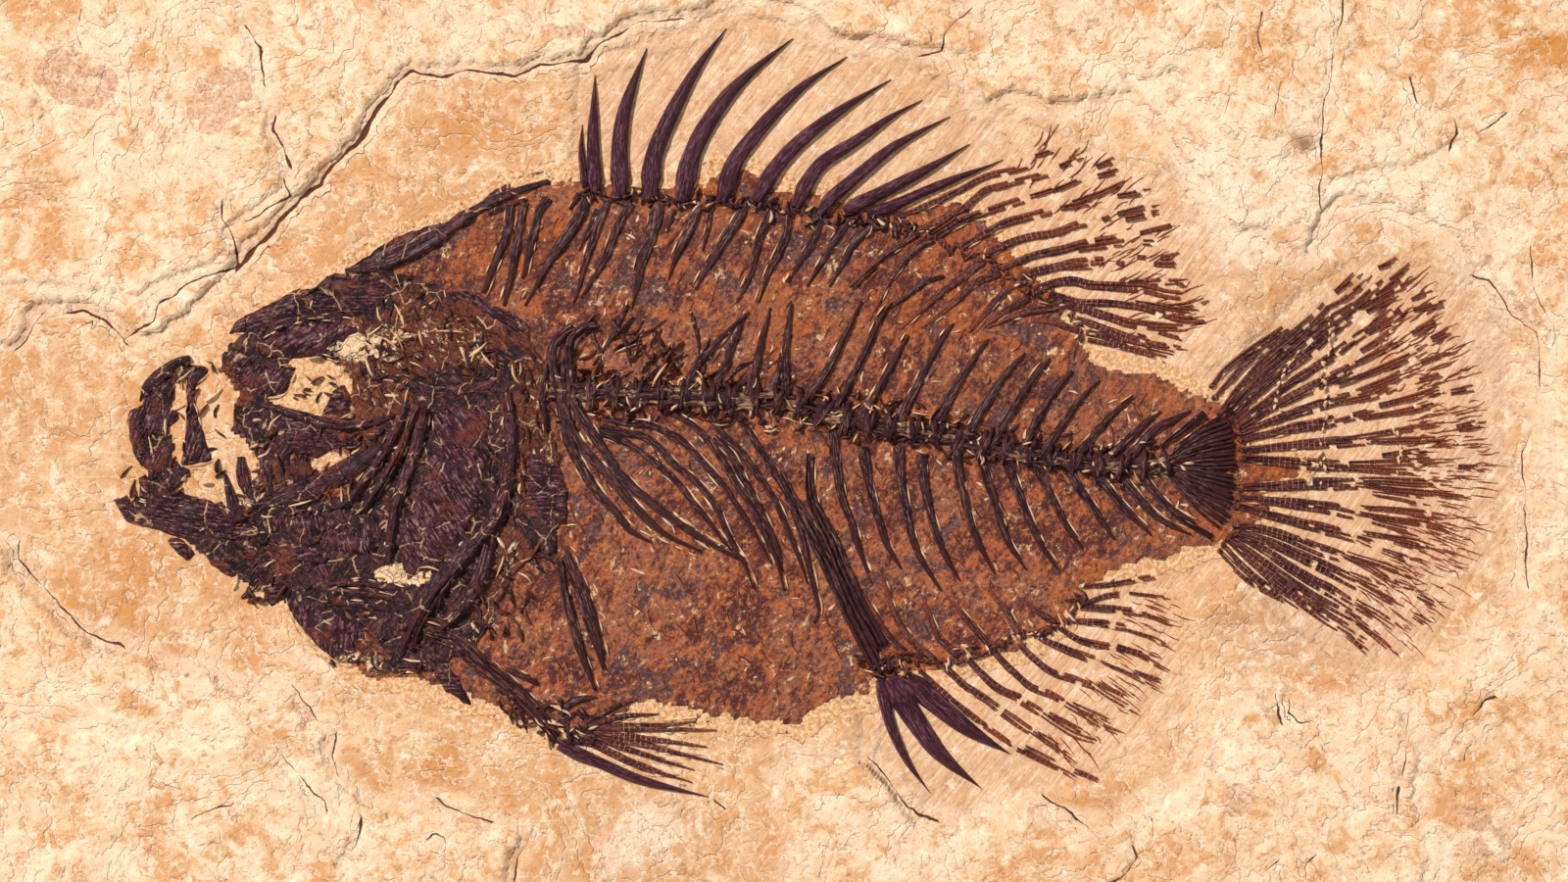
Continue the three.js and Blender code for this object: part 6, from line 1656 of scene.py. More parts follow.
def addSoftAnal():
    heap = Heap()
    for k, (wide, path, extras) in enumerate(analRays):
        addRay(heap, wide * 1.25, path, extras, 2900 + 40 * k)
    addRow(heap, analRods, [0.8, 0.8, 0.6, 0.2], 0.5, 3400, [(0.38, 0, {"side": -1, "share": 0.5})], ridges=2,
           ridgeDepth=0.25)
    addKnobs(heap, analBase, 0.8, 0.85, 0.6, 3420, spread=0.3)
    addFringe(heap, [8, -6], 29, 34, -52, -18, 60, 3430)
    heap.piece("softAnalFin", rayFinish, "fin_ray", "soft_anal_fin")


addSoftAnal()


# Paired fins and their girdles

pectoral = [
    (1.1, [[-19.1, 11.8], [-20.6, 11.5], [-21.7, 10.4], [-21.9, 8.5], [-21.5, 4.5], [-20.5, 2.3], [-19.6, 0.9],
           [-18.6, -0.8], [-17.1, -2.8], [-15.7, -4.7], [-14, -6], [-12.3, -7.2], [-10.8, -8.4], [-8.8, -9.6],
           [-6.9, -10.8], [-4, -12.3]]),
    (0.8, [[-17.9, -1.8], [-16.4, -3.5], [-14.7, -5.2], [-12.7, -6.7], [-10.8, -8.2]]),
    (1.2, [[-21.5, 11.6], [-22.8, 10.7], [-23.7, 8.9], [-23, 5], [-22, 1.8], [-20.5, -0.8], [-18.6, -2.8],
           [-17.1, -4.5], [-15.7, -6.2], [-13.7, -8.2], [-12.3, -9.4], [-10.6, -10.3], [-8.6, -11.2]]),
    (1.1, [[-22.8, 4], [-22, 0.1], [-20.5, -3], [-18.8, -5.5], [-17.1, -7.4], [-15.7, -9.1], [-13.7, -10.3]]),
    (0.6, [[-24, 8.4], [-24.6, 5], [-24.2, 1]]),
    (0.6, [[-22.6, 8.6], [-22.4, 5], [-21.6, 1.6]]),
]
postcleithrum = [
    (1.6, [[-22.2, -11.6], [-20.6, -15.4], [-19.3, -19.7], [-18.4, -23.2]]),
    (1.0, [[-22.8, -11.9], [-22.4, -15], [-21.2, -20], [-19.3, -25.4]]),
]
cleithrum = [
    (2.0, [[-28.2, 5], [-27.7, 0.1], [-28.4, -5.2], [-29.8, -8.6], [-33.3, -12.5], [-36.2, -15.7], [-38.4, -19.8],
           [-39.4, -22.3]]),
    (1.8, [[-29.8, -9.4], [-30.9, -14], [-33.3, -17.4], [-35, -19.1]]),
    (0.8, [[-31.6, -10.8], [-34.4, -14.4], [-37, -18.6], [-38, -21.4]]),
]
scapula = [[-26.4, -0.8], [-24.6, -1.2], [-22.8, -2.4], [-22, -5], [-22.2, -8.4], [-24.4, -9], [-26, -8], [-26.8, -4]]
posttemporal = [[-36, 15.7], [-33.5, 15.3], [-31.7, 15.2], [-29.8, 13.9], [-27.4, 12.8], [-25.5, 11.5],
                [-26.5, 10.7], [-28.3, 11.6], [-30.2, 12.4], [-31.4, 14], [-33.4, 14.5]]
pelvicGirdle = [
    (2.0, [[-36.4, -19.6], [-33.5, -20.6], [-30.3, -23.2], [-27.4, -25.6], [-24.9, -28.1], [-23.2, -30.3]]),
    (0.6, [[-36, -20.3], [-37.4, -23.7]]), (0.8, [[-28.4, -23.2], [-26.6, -24], [-25.2, -24.6]]),
]
pelvicRays = [
    [[-20.4, -30.3], [-16.4, -32.3], [-12.8, -33.7], [-9.4, -34.9]], [[-19.8, -30.1], [-15.2, -31.7], [-9.1, -33.6]],
    [[-19.4, -29.9], [-14.5, -30.9], [-6.2, -33]], [[-19.4, -29.6], [-15.2, -30.2], [-7.9, -31.2]],
    [[-19.5, -29.3], [-15.2, -29.3], [-6.9, -29.5]], [[-19.9, -29], [-16.4, -28.1], [-12.8, -27.8]],
    [[-20.2, -28.7], [-17.6, -27.3], [-15, -26.3]], [[-20.2, -30.6], [-15, -33.2], [-11, -34.4]],
    [[-19, -29.1], [-13.4, -29], [-9, -28.6]],
]


def addGirdles():
    rims = [(0.5, 0, {"share": 0.8, "length": 2.6, "wide": 0.3}), (0.5, 20, {"side": -1, "share": 0.6, "wide": 0.24})]
    heap = addRow(Heap(), pectoral, [0.8, 1, 1, 0.9, 0.7], 0.95, 3500, rims, [0.25], ridges=3, ridgeDepth=0.34,
                  sides=10)
    heap.piece("pectoralFin", skeletonFinish, "bone", "pectoral_fin")
    rims = [(0.5, 0, {"share": 0.75, "length": 2.6, "wide": 0.34})]
    heap = addRow(Heap(), cleithrum, [0.6, 0.85, 1, 1, 0.9, 0.4], 1.4, 3540, rims, ridges=2, ridgeDepth=0.26, sides=12)
    heap.piece("cleithrum", headFinish, "bone", "cleithrum")
    rims = [(0.5, 0, {"share": 0.8})]
    heap = addRow(Heap(), postcleithrum, [0.6, 1, 0.85, 0.25], 0.9, 3560, rims, ridges=2, ridgeDepth=0.3, sides=10)
    heap.piece("postcleithrum", skeletonFinish, "bone", "postcleithrum")
    heap = Heap()
    addPlate(heap, scapula, 0.7, 3570, cell=1.2)
    heap.piece("scapula", headFinish, "bone", "scapula")
    heap = Heap()
    addPlate(heap, posttemporal, 1.0, 3571, cracked=0.4, turn=-0.5)
    heap.piece("posttemporal", headFinish, "bone", "posttemporal")
    heap = Heap()
    for k, (wide, path) in enumerate(pelvicGirdle):
        addBundle(heap, path, wide, [0.6, 1, 0.95, 1, 0.6], 0.85, 5800 + 60 * k, strands=4 if wide > 1 else 1)
        addRim(path, wide * 0.5, 3580 + k, share=0.5)
    addKnobs(heap, [[-23, -28], [-21, -29.6], [-20, -30.6]], 0.7, 1.2, 0.7, 3590, spread=0.5)
    heap.piece("pelvicGirdle", skeletonFinish, "bone", "pelvic_girdle")
    rims = [(0.35, 0, {"share": 0.7, "length": 1.4}), (0.35, 20, {"side": -1, "share": 0.5, "length": 1.2})]
    heap = addRow(Heap(), pelvicRays, [0.7, 0.75, 0.6, 0.4, 0.15], 0.5, 3600, rims, ridges=1, ridgeDepth=0.3,
                  tips=(0, 0.7))
    heap.piece("pelvicRays", rayFinish, "fin_ray", "pelvic_rays")


addGirdles()
print("fins laid")


# Head

# Plates with a rim of rock: name, node, height and outlines
headPlates = [
    ("skullPlate1", "skull_plate_1", 1.1, [
        [[-47.8, 15.8], [-46.5, 17], [-45.1, 16.9], [-42.1, 16.8], [-40.5, 15.8], [-40.7, 14], [-42.1, 12.4],
         [-45.1, 12.6], [-48.1, 12.9]]]),
    ("skullPlate2", "skull_plate_2", 1.0, [
        [[-56.6, 11], [-55.9, 12.3], [-53.6, 13.4], [-51.6, 14.4], [-50, 15.4], [-48.4, 15.5], [-48.5, 12.8],
         [-50.4, 12.2], [-53.6, 11]]]),
    ("skullPlate3", "skull_plate_3", 1.1, [
        [[-54.1, 10.2], [-50.4, 11.6], [-48.1, 12.2], [-43.2, 11.9], [-42.4, 10.8], [-46, 9.4], [-45.3, 8.1],
         [-47.8, 8.6], [-52.3, 8], [-53.8, 8.9]]]),
    ("nasalBone", "nasal_bone", 0.8, [
        [[-57, 8.6], [-55.4, 10], [-53.9, 8.4], [-52.2, 7.6], [-49.8, 7.4], [-50.8, 4.9], [-52.4, 4.4],
         [-54.4, 4.6], [-55.8, 6.2]]]),
    ("maxilla", "maxilla", 1.15, [
        [[-61.5, 7.9], [-59.1, 7.6], [-58.7, 6.9], [-60, 5.5], [-59.8, 3], [-58.9, -0.4], [-58.1, -1.9],
         [-59.6, -2.4], [-61.5, -2.5], [-61.2, -0.7], [-60.9, 4.1]]]),
    ("throatPlate", "throat_plate", 0.75, [
        [[-50.8, -15.9], [-49.1, -15.9], [-46.8, -17.4], [-40.6, -18.3], [-42.3, -19.4], [-43.3, -22.8],
         [-46, -22.3], [-48.2, -20.3], [-50.1, -17.9]]]),
    ("jawHinge", "jaw_hinge", 0.9, [
        [[-52.2, -7.6], [-46.7, -7.3], [-44.3, -8.4], [-44.7, -9.7], [-49.4, -9.9], [-52.4, -9.6]],
        [[-48.2, -9.4], [-44.3, -9.3], [-42.3, -7.2], [-40.8, -8.6], [-41, -11.6], [-43.5, -11.8], [-46.2, -11.3]]]),
    ("opercle", "opercle", 0.8, [
        [[-35.8, 3.4], [-29.9, 4], [-29.5, -0.8], [-30.3, -3], [-30.6, -6.8], [-32.6, -10], [-35.4, -13.2],
         [-38.6, -14.4], [-39.4, -10.6], [-37.9, -6.7], [-36, -1.1]]]),
]
premaxilla = [
    [[-63.9, 6.4], [-62, 6.7], [-61.9, 5.6], [-63.2, 5], [-63, 3.8], [-61.8, 3.1], [-61.8, 2], [-64.3, 0.3],
     [-65.7, 0.3], [-65.6, 2.2], [-65.2, 5.3]],
    [[-66.7, 3.1], [-65.3, 4], [-64.6, 3.4], [-65.2, 0.4], [-64.6, -2.1], [-65.3, -2.9], [-66.3, -1.8], [-67, 1.9]],
    [[-65.2, -1.7], [-62.8, 0.3], [-62.5, -0.4], [-62.7, -3.2], [-63.2, -4.3], [-65.4, -2.7]],
]
premaxillaArc = [[-60.6, 8.5], [-62, 8], [-64, 6.4], [-65.1, 5.1]]
lowerJaw = [[-68.4, -6.1], [-66.9, -5.5], [-66.4, -6.5], [-65, -6.5], [-63.9, -5.3], [-62.2, -5.1], [-59.3, -5.8],
            [-57.9, -6.4], [-55.3, -8.6], [-53.3, -8.4], [-53, -10.1], [-58.9, -10.4], [-61.7, -9.9], [-67.2, -8.2]]
coronoid = [[-57, -3.4], [-56.4, -5.6], [-55.6, -8.2]]
palate = [[-52.5, 2.2], [-50.6, 3], [-48.8, 2.2], [-45.1, 1.2], [-43.2, -0.3], [-46, -0.8], [-47.8, -1.9],
          [-50.2, -1.2], [-51.8, 0.4]]
parasphenoid = [[-53.4, 3.8], [-50.6, 2.9], [-48.1, 2.2], [-45.1, 1.5], [-41.8, 1.8], [-39.7, 2.7]]
pterygoid = [
    (2.2, [[-53.5, -6.5], [-49.8, -5.2], [-46.7, -4], [-43.4, -2.2], [-40.6, -0.3]]),
    (1.2, [[-55.4, -1.6], [-55, -4.4], [-53.6, -6.6]]), (1.4, [[-53.2, -0.8], [-52.6, -3.6], [-52.4, -6.4]]),
    (1.9, [[-49.4, -1.6], [-49.2, -3.6], [-48.6, -5]]), (0.7, [[-51.8, -1], [-51, -3.6], [-50.8, -5.6]]),
]
preopercle = [
    (1.4, [[-38.2, 3.8], [-39.9, 0.1], [-42.3, -3.5], [-44.5, -6.4], [-46.3, -6.9]]),
    (1.2, [[-37.4, 3.6], [-38.9, -0.4], [-40.8, -4], [-43, -7.2]]),
    (1.4, [[-36.7, 3.4], [-37.4, -0.4], [-38.6, -3.8], [-39.6, -6.7], [-40, -9.6], [-40.4, -12.5]]),
    (0.6, [[-37.9, 2], [-39.6, -2.4], [-41.6, -6]]),
]
hyomandibular = [[-37.8, 4.6], [-35.8, 5.9], [-33.5, 6.2], [-30.5, 6.3], [-28.7, 7.6], [-28.9, 5.9], [-30.2, 4.6],
                 [-35.6, 4.1], [-37.4, 3.4]]
gillRays = [
    (1.5, [[-47.4, -12.6], [-45.9, -15.2], [-45.6, -16.6]]), (0.8, [[-46.2, -14.4], [-43.3, -14.4], [-40.4, -14.9],
                                                                    [-37.6, -15]]),
    (0.8, [[-46, -15.3], [-43, -15.5], [-39.4, -16.2], [-37.9, -16.1]]),
    (0.8, [[-45.8, -16.4], [-41.8, -16.9], [-39.4, -17.3]]),
]
braincase = [[-43.6, 7], [-42.2, 10], [-40, 12.8], [-37, 14.8], [-34, 14], [-31.8, 13.4], [-30.4, 11.4],
             [-28.9, 9.6], [-29.4, 8.2], [-30.6, 6.8], [-35.8, 6.6], [-37.6, 4.6], [-39.4, 3.6], [-43, 4.2]]
napeWedge = [[-44.8, 17.4], [-43.1, 18.7], [-41.2, 19.7], [-39.5, 20.8], [-37.9, 21.5], [-36.4, 21.9],
             [-34.5, 22.4], [-32.7, 23.2], [-31.4, 24.1], [-29.7, 25.5], [-28.1, 26.4], [-27.6, 25.6],
             [-30.6, 23.9], [-33, 22], [-35.6, 20.3], [-38, 19], [-41, 17.8]]
napeRidge = [[-44.7, 17.2], [-42.2, 17.8], [-40, 18.3], [-36.7, 20], [-33.3, 22.3], [-30, 24.3], [-27, 25.6],
             [-24, 26.5]]
looseBones = [
    [[-60.7, -2.5], [-60.4, -3.7], [-61.9, -4], [-63.4, -4.7], [-63.9, -4.9], [-62, -3.5]],
    [[-65.9, -3.8], [-65.2, -3.3], [-63.9, -4.9], [-64.8, -6.3], [-65.7, -6.1]],
    [[-63.1, -9.9], [-61.5, -9.9], [-60, -11.5], [-60.8, -12.3], [-61.9, -11.5]],
    [[-58.9, -11.5], [-57.9, -10.8], [-56.2, -12.3], [-55.8, -14.2], [-57.2, -13.5], [-58.6, -12.5]],
    [[-54.4, -11.4], [-52.4, -11], [-51.4, -12.6], [-52.6, -14.4], [-54, -13.2]],
    [[-52.8, -14.6], [-51, -14.2], [-50.6, -15.8], [-52.2, -17], [-53, -16]],
    [[-50.6, -10.4], [-47.6, -10.6], [-46.6, -12.2], [-48.6, -13.6], [-50.8, -12.6]],
    [[-46, 5.2], [-44.9, 5.7], [-43.9, 4.1], [-44.4, 2.5], [-47.2, 2.7]],
    [[-36.2, -22.7], [-34.7, -25.6], [-31.8, -27], [-33, -24.4], [-34.6, -22.4]],
    [[-50.8, -4.5], [-49.1, -1.9], [-46.7, -3.5], [-49.1, -4.9]],
]
# Stray rods of bone by width, then broken lines of rock by width and height
strayBones = [
    (0.7, [[-30.2, 23.2], [-28, 24.1], [-26.1, 24.6]]), (0.45, [[-3.6, 13.2], [-6.2, 10.4], [-9.1, 7.2]]),
    (0.45, [[-4.6, 12], [-5.8, 9], [-6.5, 6.6]]), (0.7, [[16.3, 16.8], [14.5, 16.3], [12.5, 14.8], [10.7, 13.5]]),
    (0.4, [[-15.8, 10.8], [-14, 8.8], [-12.8, 7.4]]), (0.4, [[-13.2, 11.4], [-12, 9.2], [-10.6, 7]]),
    (0.5, [[-17.4, 12.4], [-16.2, 10], [-15.6, 7.6]]), (0.4, [[-19.6, 11], [-18.8, 8.8], [-18.6, 6.8]]),
    (0.9, [[-23, -27.4], [-21, -26.4], [-19, -26.2]]), (0.4, [[-9.6, 13.4], [-8.8, 10.6], [-8.6, 8.4]]),
]
strayRock = [
    (0.4, 0.5, [[-51.4, -16.6], [-49.6, -19.2], [-47.6, -21.5], [-45, -24.2], [-42.7, -25.6]]),
    (0.5, 1.2, [[-44.3, 7], [-43.4, 5.2], [-43.8, 3], [-45.6, 2]]),
    (0.3, 0.9, [[-39.3, 2.8], [-41.2, -1], [-43.6, -4.4], [-45.4, -6.2]]),
    (0.3, 0.9, [[-38.1, 2.2], [-39.8, -2], [-42, -5.4]]), (0.4, 0.9, [[-48, 16.2], [-45, 17.2], [-41.4, 17.3]]),
    (0.35, 1.1, [[-56, 9.8], [-53.6, 10.4], [-50, 12], [-47, 12.4], [-43.6, 12.1]]),
    (0.35, 1.1, [[-53.8, 7.8], [-50.4, 7.9], [-47.4, 8.7], [-45.2, 8]]),
    (0.4, 0.7, [[-44.6, -14.2], [-41.4, -14], [-38.4, -14.8]]), (0.3, 0.9, [[-28.8, 4], [-28.3, -2], [-29.6, -7.4]]),
    (0.4, 0.6, [[-60.6, 8.8], [-58.4, 8.2], [-57.4, 7.2]]), (0.35, 0.7, [[-66.8, -5.2], [-65, -6.2], [-63.4, -5.2]]),
]

# Cream veins in the tail: height, then the line
veins = [
    (0.72, [[55.4, 13], [55.7, 10.4], [54.9, 7.3], [55.3, 3.6], [54.8, 0], [55, -4.6]]),
    (0.66, [[52.4, 9], [50.9, 6.8], [50.2, 4.6], [50.6, 2.2]]), (0.6, [[62.4, 1.4], [62.8, -1.6], [62.4, -3.4]]),
]

# The crust of crushed bone: its outline, the openings in it, and its rusty and pale patches
bedOutline = [
    [-57.6, 9.4], [-56.4, 11.2], [-55, 12.6], [-50.2, 15.4], [-47.4, 17], [-44.6, 17.6], [-41, 18.4],
    [-36, 16.6], [-33, 15.8], [-29.5, 14.4], [-25.5, 12], [-23.6, 8], [-23.2, 3], [-22, -2], [-21.8, -8],
    [-22.6, -12], [-26, -13.4], [-28.6, -17], [-29.6, -20.4], [-32, -22.6], [-36, -24], [-41, -24.6],
    [-46.4, -22.4], [-50, -18], [-51.6, -17], [-54.6, -15.6], [-57.8, -13.4], [-60.4, -11.8], [-62, -10.2],
    [-67, -8.4], [-68.4, -6.4], [-66, -4.6], [-65.6, -2.4], [-66.6, 0.4], [-66.2, 3.6], [-64.6, 6.4],
    [-61.6, 8.4], [-59, 8], [-58.4, 6.6],
]
bedWindows = [
    [[-51.6, 4.2], [-51, 6.4], [-49.6, 8], [-47.2, 8.4], [-45.2, 7.4], [-44.9, 5.2], [-45.6, 3.2], [-47.6, 2.7],
     [-50, 2.9]],
    [[-49.4, -1.8], [-46, -0.8], [-43, -0.6], [-42, -2], [-43.8, -4.4], [-46.4, -5], [-49, -3.6]],
    [[-58.8, 0.9], [-55.6, -0.2], [-54.4, -2.1], [-55.4, -5.3], [-57.2, -6], [-61.3, -5.4], [-59.4, -3]],
    [[-61.2, 6], [-60.2, 3], [-59.8, 0], [-60.4, -2.2], [-61.8, -1.4], [-61.9, 1.6], [-61.6, 5.4]],
    [[-59.6, 5.6], [-57.6, 6.4], [-56.6, 4.6], [-57.4, 1.6], [-59, 0.4], [-59.8, 3]],
]
bedRust = [
    [-36, 10.5, 7, 3.4, 1], [-25, 3, 3, 8, 0.9], [-45, 4, 3, 4, 0.8], [-52, -12, 4, 2, 0.5], [-27, -14, 4, 4, 0.9],
    [-44, -22, 3, 2, 0.8], [-50, -4, 4, 2, 0.6], [-57, -7, 3, 2, 0.6], [-56, 6, 2, 2, 0.7], [-41, 4, 3, 2, 0.6],
]
bedPale = [
    [-37, 10, 6, 3, 0.4], [-44, 9.5, 3, 1.4, 0.45], [-55, 2, 2, 1.4, 0.25], [-43, -23, 3, 1.4, 0.4],
    [-25.5, -2, 2, 8, 0.25], [-39, -13.6, 2.4, 0.9, 0.8], [-30, -12, 3, 3, 0.3], [-52, -6.2, 4, 0.7, 0.5],
]
bedLook = {
    "height": 0.5, "cell": 2.9, "chip": 1.1, "margin": 1, "spacing": 0.3,
    "edge": 0, "furthest": -0.8, "pull": 0.4, "leastSlope": 0.5, "reach": 3,
}


def crushedFinish():
    f = Finish("crushedBone")
    at = f.place()
    rust, pale, tone = f.field("rust"), f.field("pale"), f.field("tone")
    blotch = f.noise(at, 1.8, 5, 0.74, 0.4)
    fine = f.noise(at, 0.4, 4, 0.76)
    area = f.noise(at, 6, 4, 0.7, 0.3)
    fibres = f.noise(f.scaled(f.turned(at, 38), (2.6, 0.55, 1)), 1.0, 5, 0.74)
    crossing = f.noise(f.scaled(f.turned(at, -52), (2.6, 0.55, 1)), 1.0, 5, 0.74)
    swing = f.ease(area, 0.47, 0.53)
    strands = fibres * swing + crossing * (1 - swing)
    colour = f.mix(f.ease(blotch + 0.4 * (tone - 0.5), 0.42, 0.62), paint(44, 16, 26), paint(86, 44, 50))
    rusty = f.ease(rust + 1.5 * (area - 0.5) + 0.9 * (strands - 0.5), 0.3, 0.55)
    colour = f.mix(rusty * 0.85, colour, paint(136, 66, 42))
    colour = f.mix(f.ease(strands, 0.53, 0.63) * 0.8, colour, paint(174, 116, 92))
    colour = f.mix(f.ease(strands, 0.46, 0.36) * 0.8, colour, paint(30, 10, 18))
    colour = f.mix(f.ease(fine, 0.57, 0.68) * 0.6, colour, paint(190, 140, 118))
    lines = f.webs(f.bent(at, 2.4, 1.6), 3.8, 0.004, 0.032)
    small = f.webs(f.bent(at, 1.4, 0.9), 1.3, 0.0, 0.05)
    colour = f.mix(small * 0.6, colour, paint(30, 12, 18))
    colour = f.mix(lines * f.ease(blotch, 0.44, 0.52), colour, paint(236, 186, 140))
    cream = f.ease(pale + 1.2 * (area - 0.5) + 1.5 * (strands - 0.5) + 0.4 * (fine - 0.5), 0.44, 0.52)
    colour = f.mix(cream, colour, f.mix(f.ease(fine, 0.4, 0.58), paint(238, 182, 130), paint(255, 226, 186)))
    height = (1 - 0.6 * cream) * (0.5 * blotch + 1.4 * strands + 0.5 * fine) - 0.4 * small - 0.5 * lines
    return f.finish(colour, 0.42 + 0.3 * fine, height, 0.7)


def bedDepth(x, y):
    # how far inside the crust a point is
    wx = x + 0.45 * cloud(x, y, 1.8, 61, 4, 0.6)
    wy = y + 0.45 * cloud(x, y, 1.8, 62, 4, 0.6)
    depth = depthIn(wx, wy, bedOutline, bedLook["reach"])
    for window in bedWindows:
        depth = np.minimum(depth, -depthIn(wx, wy, window, bedLook["reach"]))
    return depth


def addBed():
    x, y, faces = tornSheet(bedOutline, bedDepth, bedLook)
    bentX, bentY = x + 0.7 * cloud(x, y, 2.2, 63, 3), y + 0.7 * cloud(x, y, 2.2, 64, 3)
    gap, tone, tilt = shatter(bentX, bentY, bedLook["cell"], 5)
    chipGap, chipTone, chipTilt = shatter(bentX * 1.2, bentY * 0.8, bedLook["chip"], 6)
    rise = bedLook["height"] * (0.55 + 0.7 * tone + 0.8 * tilt + 0.4 * (chipTone - 0.5) + 0.5 * chipTilt)
    rise -= 0.3 * (1 - smooth(gap, 0, 0.14)) + 0.14 * (1 - smooth(chipGap, 0, 0.2))
    rise = np.maximum(rise, 0.02) * (0.35 + 0.65 * smooth(bedDepth(x, y), 0, 0.7))
    ground = groundAt(x, y)
    points = np.concatenate([np.stack([x, y, ground + rise], axis=1),
                             np.stack([x, y, ground - formLook["sunk"]], axis=1)])
    fields = {"rust": patches(x, y, bedRust), "pale": patches(x, y, bedPale), "tone": 0.5 * tone + 0.5 * chipTone}
    fields = {name: np.tile(values, 2) for name, values in fields.items()}
    piece = meshObject("crushedSkull", points, closedSheet(faces, len(x)), fields, crushedFinish())
    standFor(piece, "bone", "braincase")


def addHead():
    for k, (name, node, height, outlines) in enumerate(headPlates):
        heap = Heap()
        for j, outline in enumerate(outlines):
            addPlate(heap, outline, height, 3700 + 7 * k + j, turn=0.3 * k)
            addRim(outline + outline[:1], 0.0, 3700 + 7 * k + j, share=0.6, length=2.4, wide=0.26)
        heap.piece(name, headFinish, "bone", node)
    heap = Heap()
    for k, outline in enumerate(premaxilla):
        addPlate(heap, outline, 1.0, 3800 + k, turn=1.2)
    addRod(heap, premaxillaArc, [0.6, 1.1, 1.5, 1.1], 1.1, 3805, sides=10)
    heap.piece("premaxilla", headFinish, "bone", "premaxilla")
    heap = Heap()
    addPlate(heap, lowerJaw, 1.05, 3810, turn=-0.15)
    addRod(heap, coronoid, [0.3, 1.2, 2], 0.9, 3811, sides=10)
    heap.piece("lowerJaw", headFinish, "bone", "lower_jaw")
    heap = Heap()
    addPlate(heap, palate, 0.6, 3820, cell=1.4)
    addRod(heap, parasphenoid, [0.5, 0.9, 1.1, 1.1, 0.9, 0.5], 1.1, 3821, ridges=2, sides=10)
    addRim(parasphenoid, 0.5, 3822, share=0.9, wide=0.3)
    addRim(lowerJaw[:9], 0.0, 3824, share=0.7, wide=0.3)
    heap.piece("parasphenoid", headFinish, "bone", "parasphenoid")
    rims = [(0.5, 0, {"share": 0.8, "wide": 0.3}), (0.5, 5, {"side": -1, "share": 0.5, "wide": 0.24})]
    heap = addRow(Heap(), pterygoid, [0.6, 1, 1, 0.8, 0.4], 0.85, 3830, rims, ridges=3, ridgeDepth=0.3, sides=10,
                  wobble=0.16)
    heap.piece("pterygoid", headFinish, "bone", "pterygoid")
    rims = [(0.5, 0, {"share": 0.85, "length": 3, "wide": 0.36})]
    heap = addRow(Heap(), preopercle, [1, 0.95, 0.85, 0.5], 1.2, 3840, rims, ridges=2, ridgeDepth=0.26, sides=10)
    addPlate(heap, hyomandibular, 0.9, 3850)
    heap.piece("preopercle", headFinish, "bone", "preopercle")
    heap = addRow(Heap(), gillRays, [1, 0.9, 0.5], 0.75, 3860, [(0.5, 0, {"share": 0.8})], ridges=1)
    heap.piece("gillRays", headFinish, "bone", "gill_rays")
    heap = Heap()
    addRod(heap, napeRidge, [0.7, 1.3, 1.7, 1.7, 1.4, 1.1, 0.8, 0.4], 0.8, 3870, ridges=2, ridgeDepth=0.2, wobble=0.2,
           sides=10)
    addPlate(heap, napeWedge, 0.45, 3875, turn=0.5)
    heap.piece("napeRidge", headFinish, "bone", "nape_ridge")
    addBed()
    heap = Heap()
    for k, outline in enumerate(looseBones):
        addPlate(heap, outline, 0.7, 3900 + k, cell=1.6)
    heap.piece("looseHeadBones", headFinish, "bone")


addHead()
print("head laid")


# Splinters: outline, how many, direction in degrees, spread, length and width

crushed = [
    (braincase, 150, -35, 60, 1.9, 0.36), ([[-48, 16], [-40, 17], [-34, 15], [-40, 9], [-50, 9]], 34, 60, 40, 1.8, 0.3),
    ([[-54, 2.6], [-40, 2], [-38, -1], [-44, -8], [-54, -7]], 110, 35, 55, 1.8, 0.36),
    ([[-58, -6], [-53, -4], [-46, -8], [-46, -14], [-54, -17], [-58, -12]], 80, 20, 60, 1.5, 0.36),
    ([[-30, 10], [-25, 9], [-23, 2], [-26, -10], [-30, -8], [-29, 3]], 90, -75, 35, 2.2, 0.36),
    ([[-48, -17], [-38, -18], [-36, -24], [-46, -23]], 40, -20, 50, 1.7, 0.34),
    ([[-38, -13], [-30, -10], [-24, -11], [-26, -20], [-36, -21]], 60, -50, 45, 1.8, 0.34),
    ([[-66, 5], [-62, 8], [-58, 8], [-57, -3], [-64, -9], [-68, -6]], 60, 70, 50, 1.4, 0.34),
    ([[-28, -24], [-22, -27], [-18, -28], [-19, -31], [-24, -31], [-30, -27]], 60, -35, 45, 1.6, 0.32),
    ([[-22, 13], [-12, 12], [-4, 7], [-14, 6], [-24, 6]], 46, 42, 20, 2.4, 0.28),
    ([[-49, 7.4], [-45.6, 6.6], [-46.5, 3.6], [-50, 4]], 12, 30, 70, 1.0, 0.24),
    ([[-20, 7], [0, 6.5], [12, 4], [38, -0.5], [38, -5], [12, -1], [0, 1], [-20, 2]], 200, 10, 60, 1.3, 0.22),
]


def scatter(outline, count, random):
    # random places inside an outline
    low, high = np.min(outline, axis=0), np.max(outline, axis=0)
    found = []
    while len(found) < count:
        spot = low + (high - low) * random.random(2)
        if within(np.array([spot[0]]), np.array([spot[1]]), outline)[0]:
            found.append(spot)
    return found


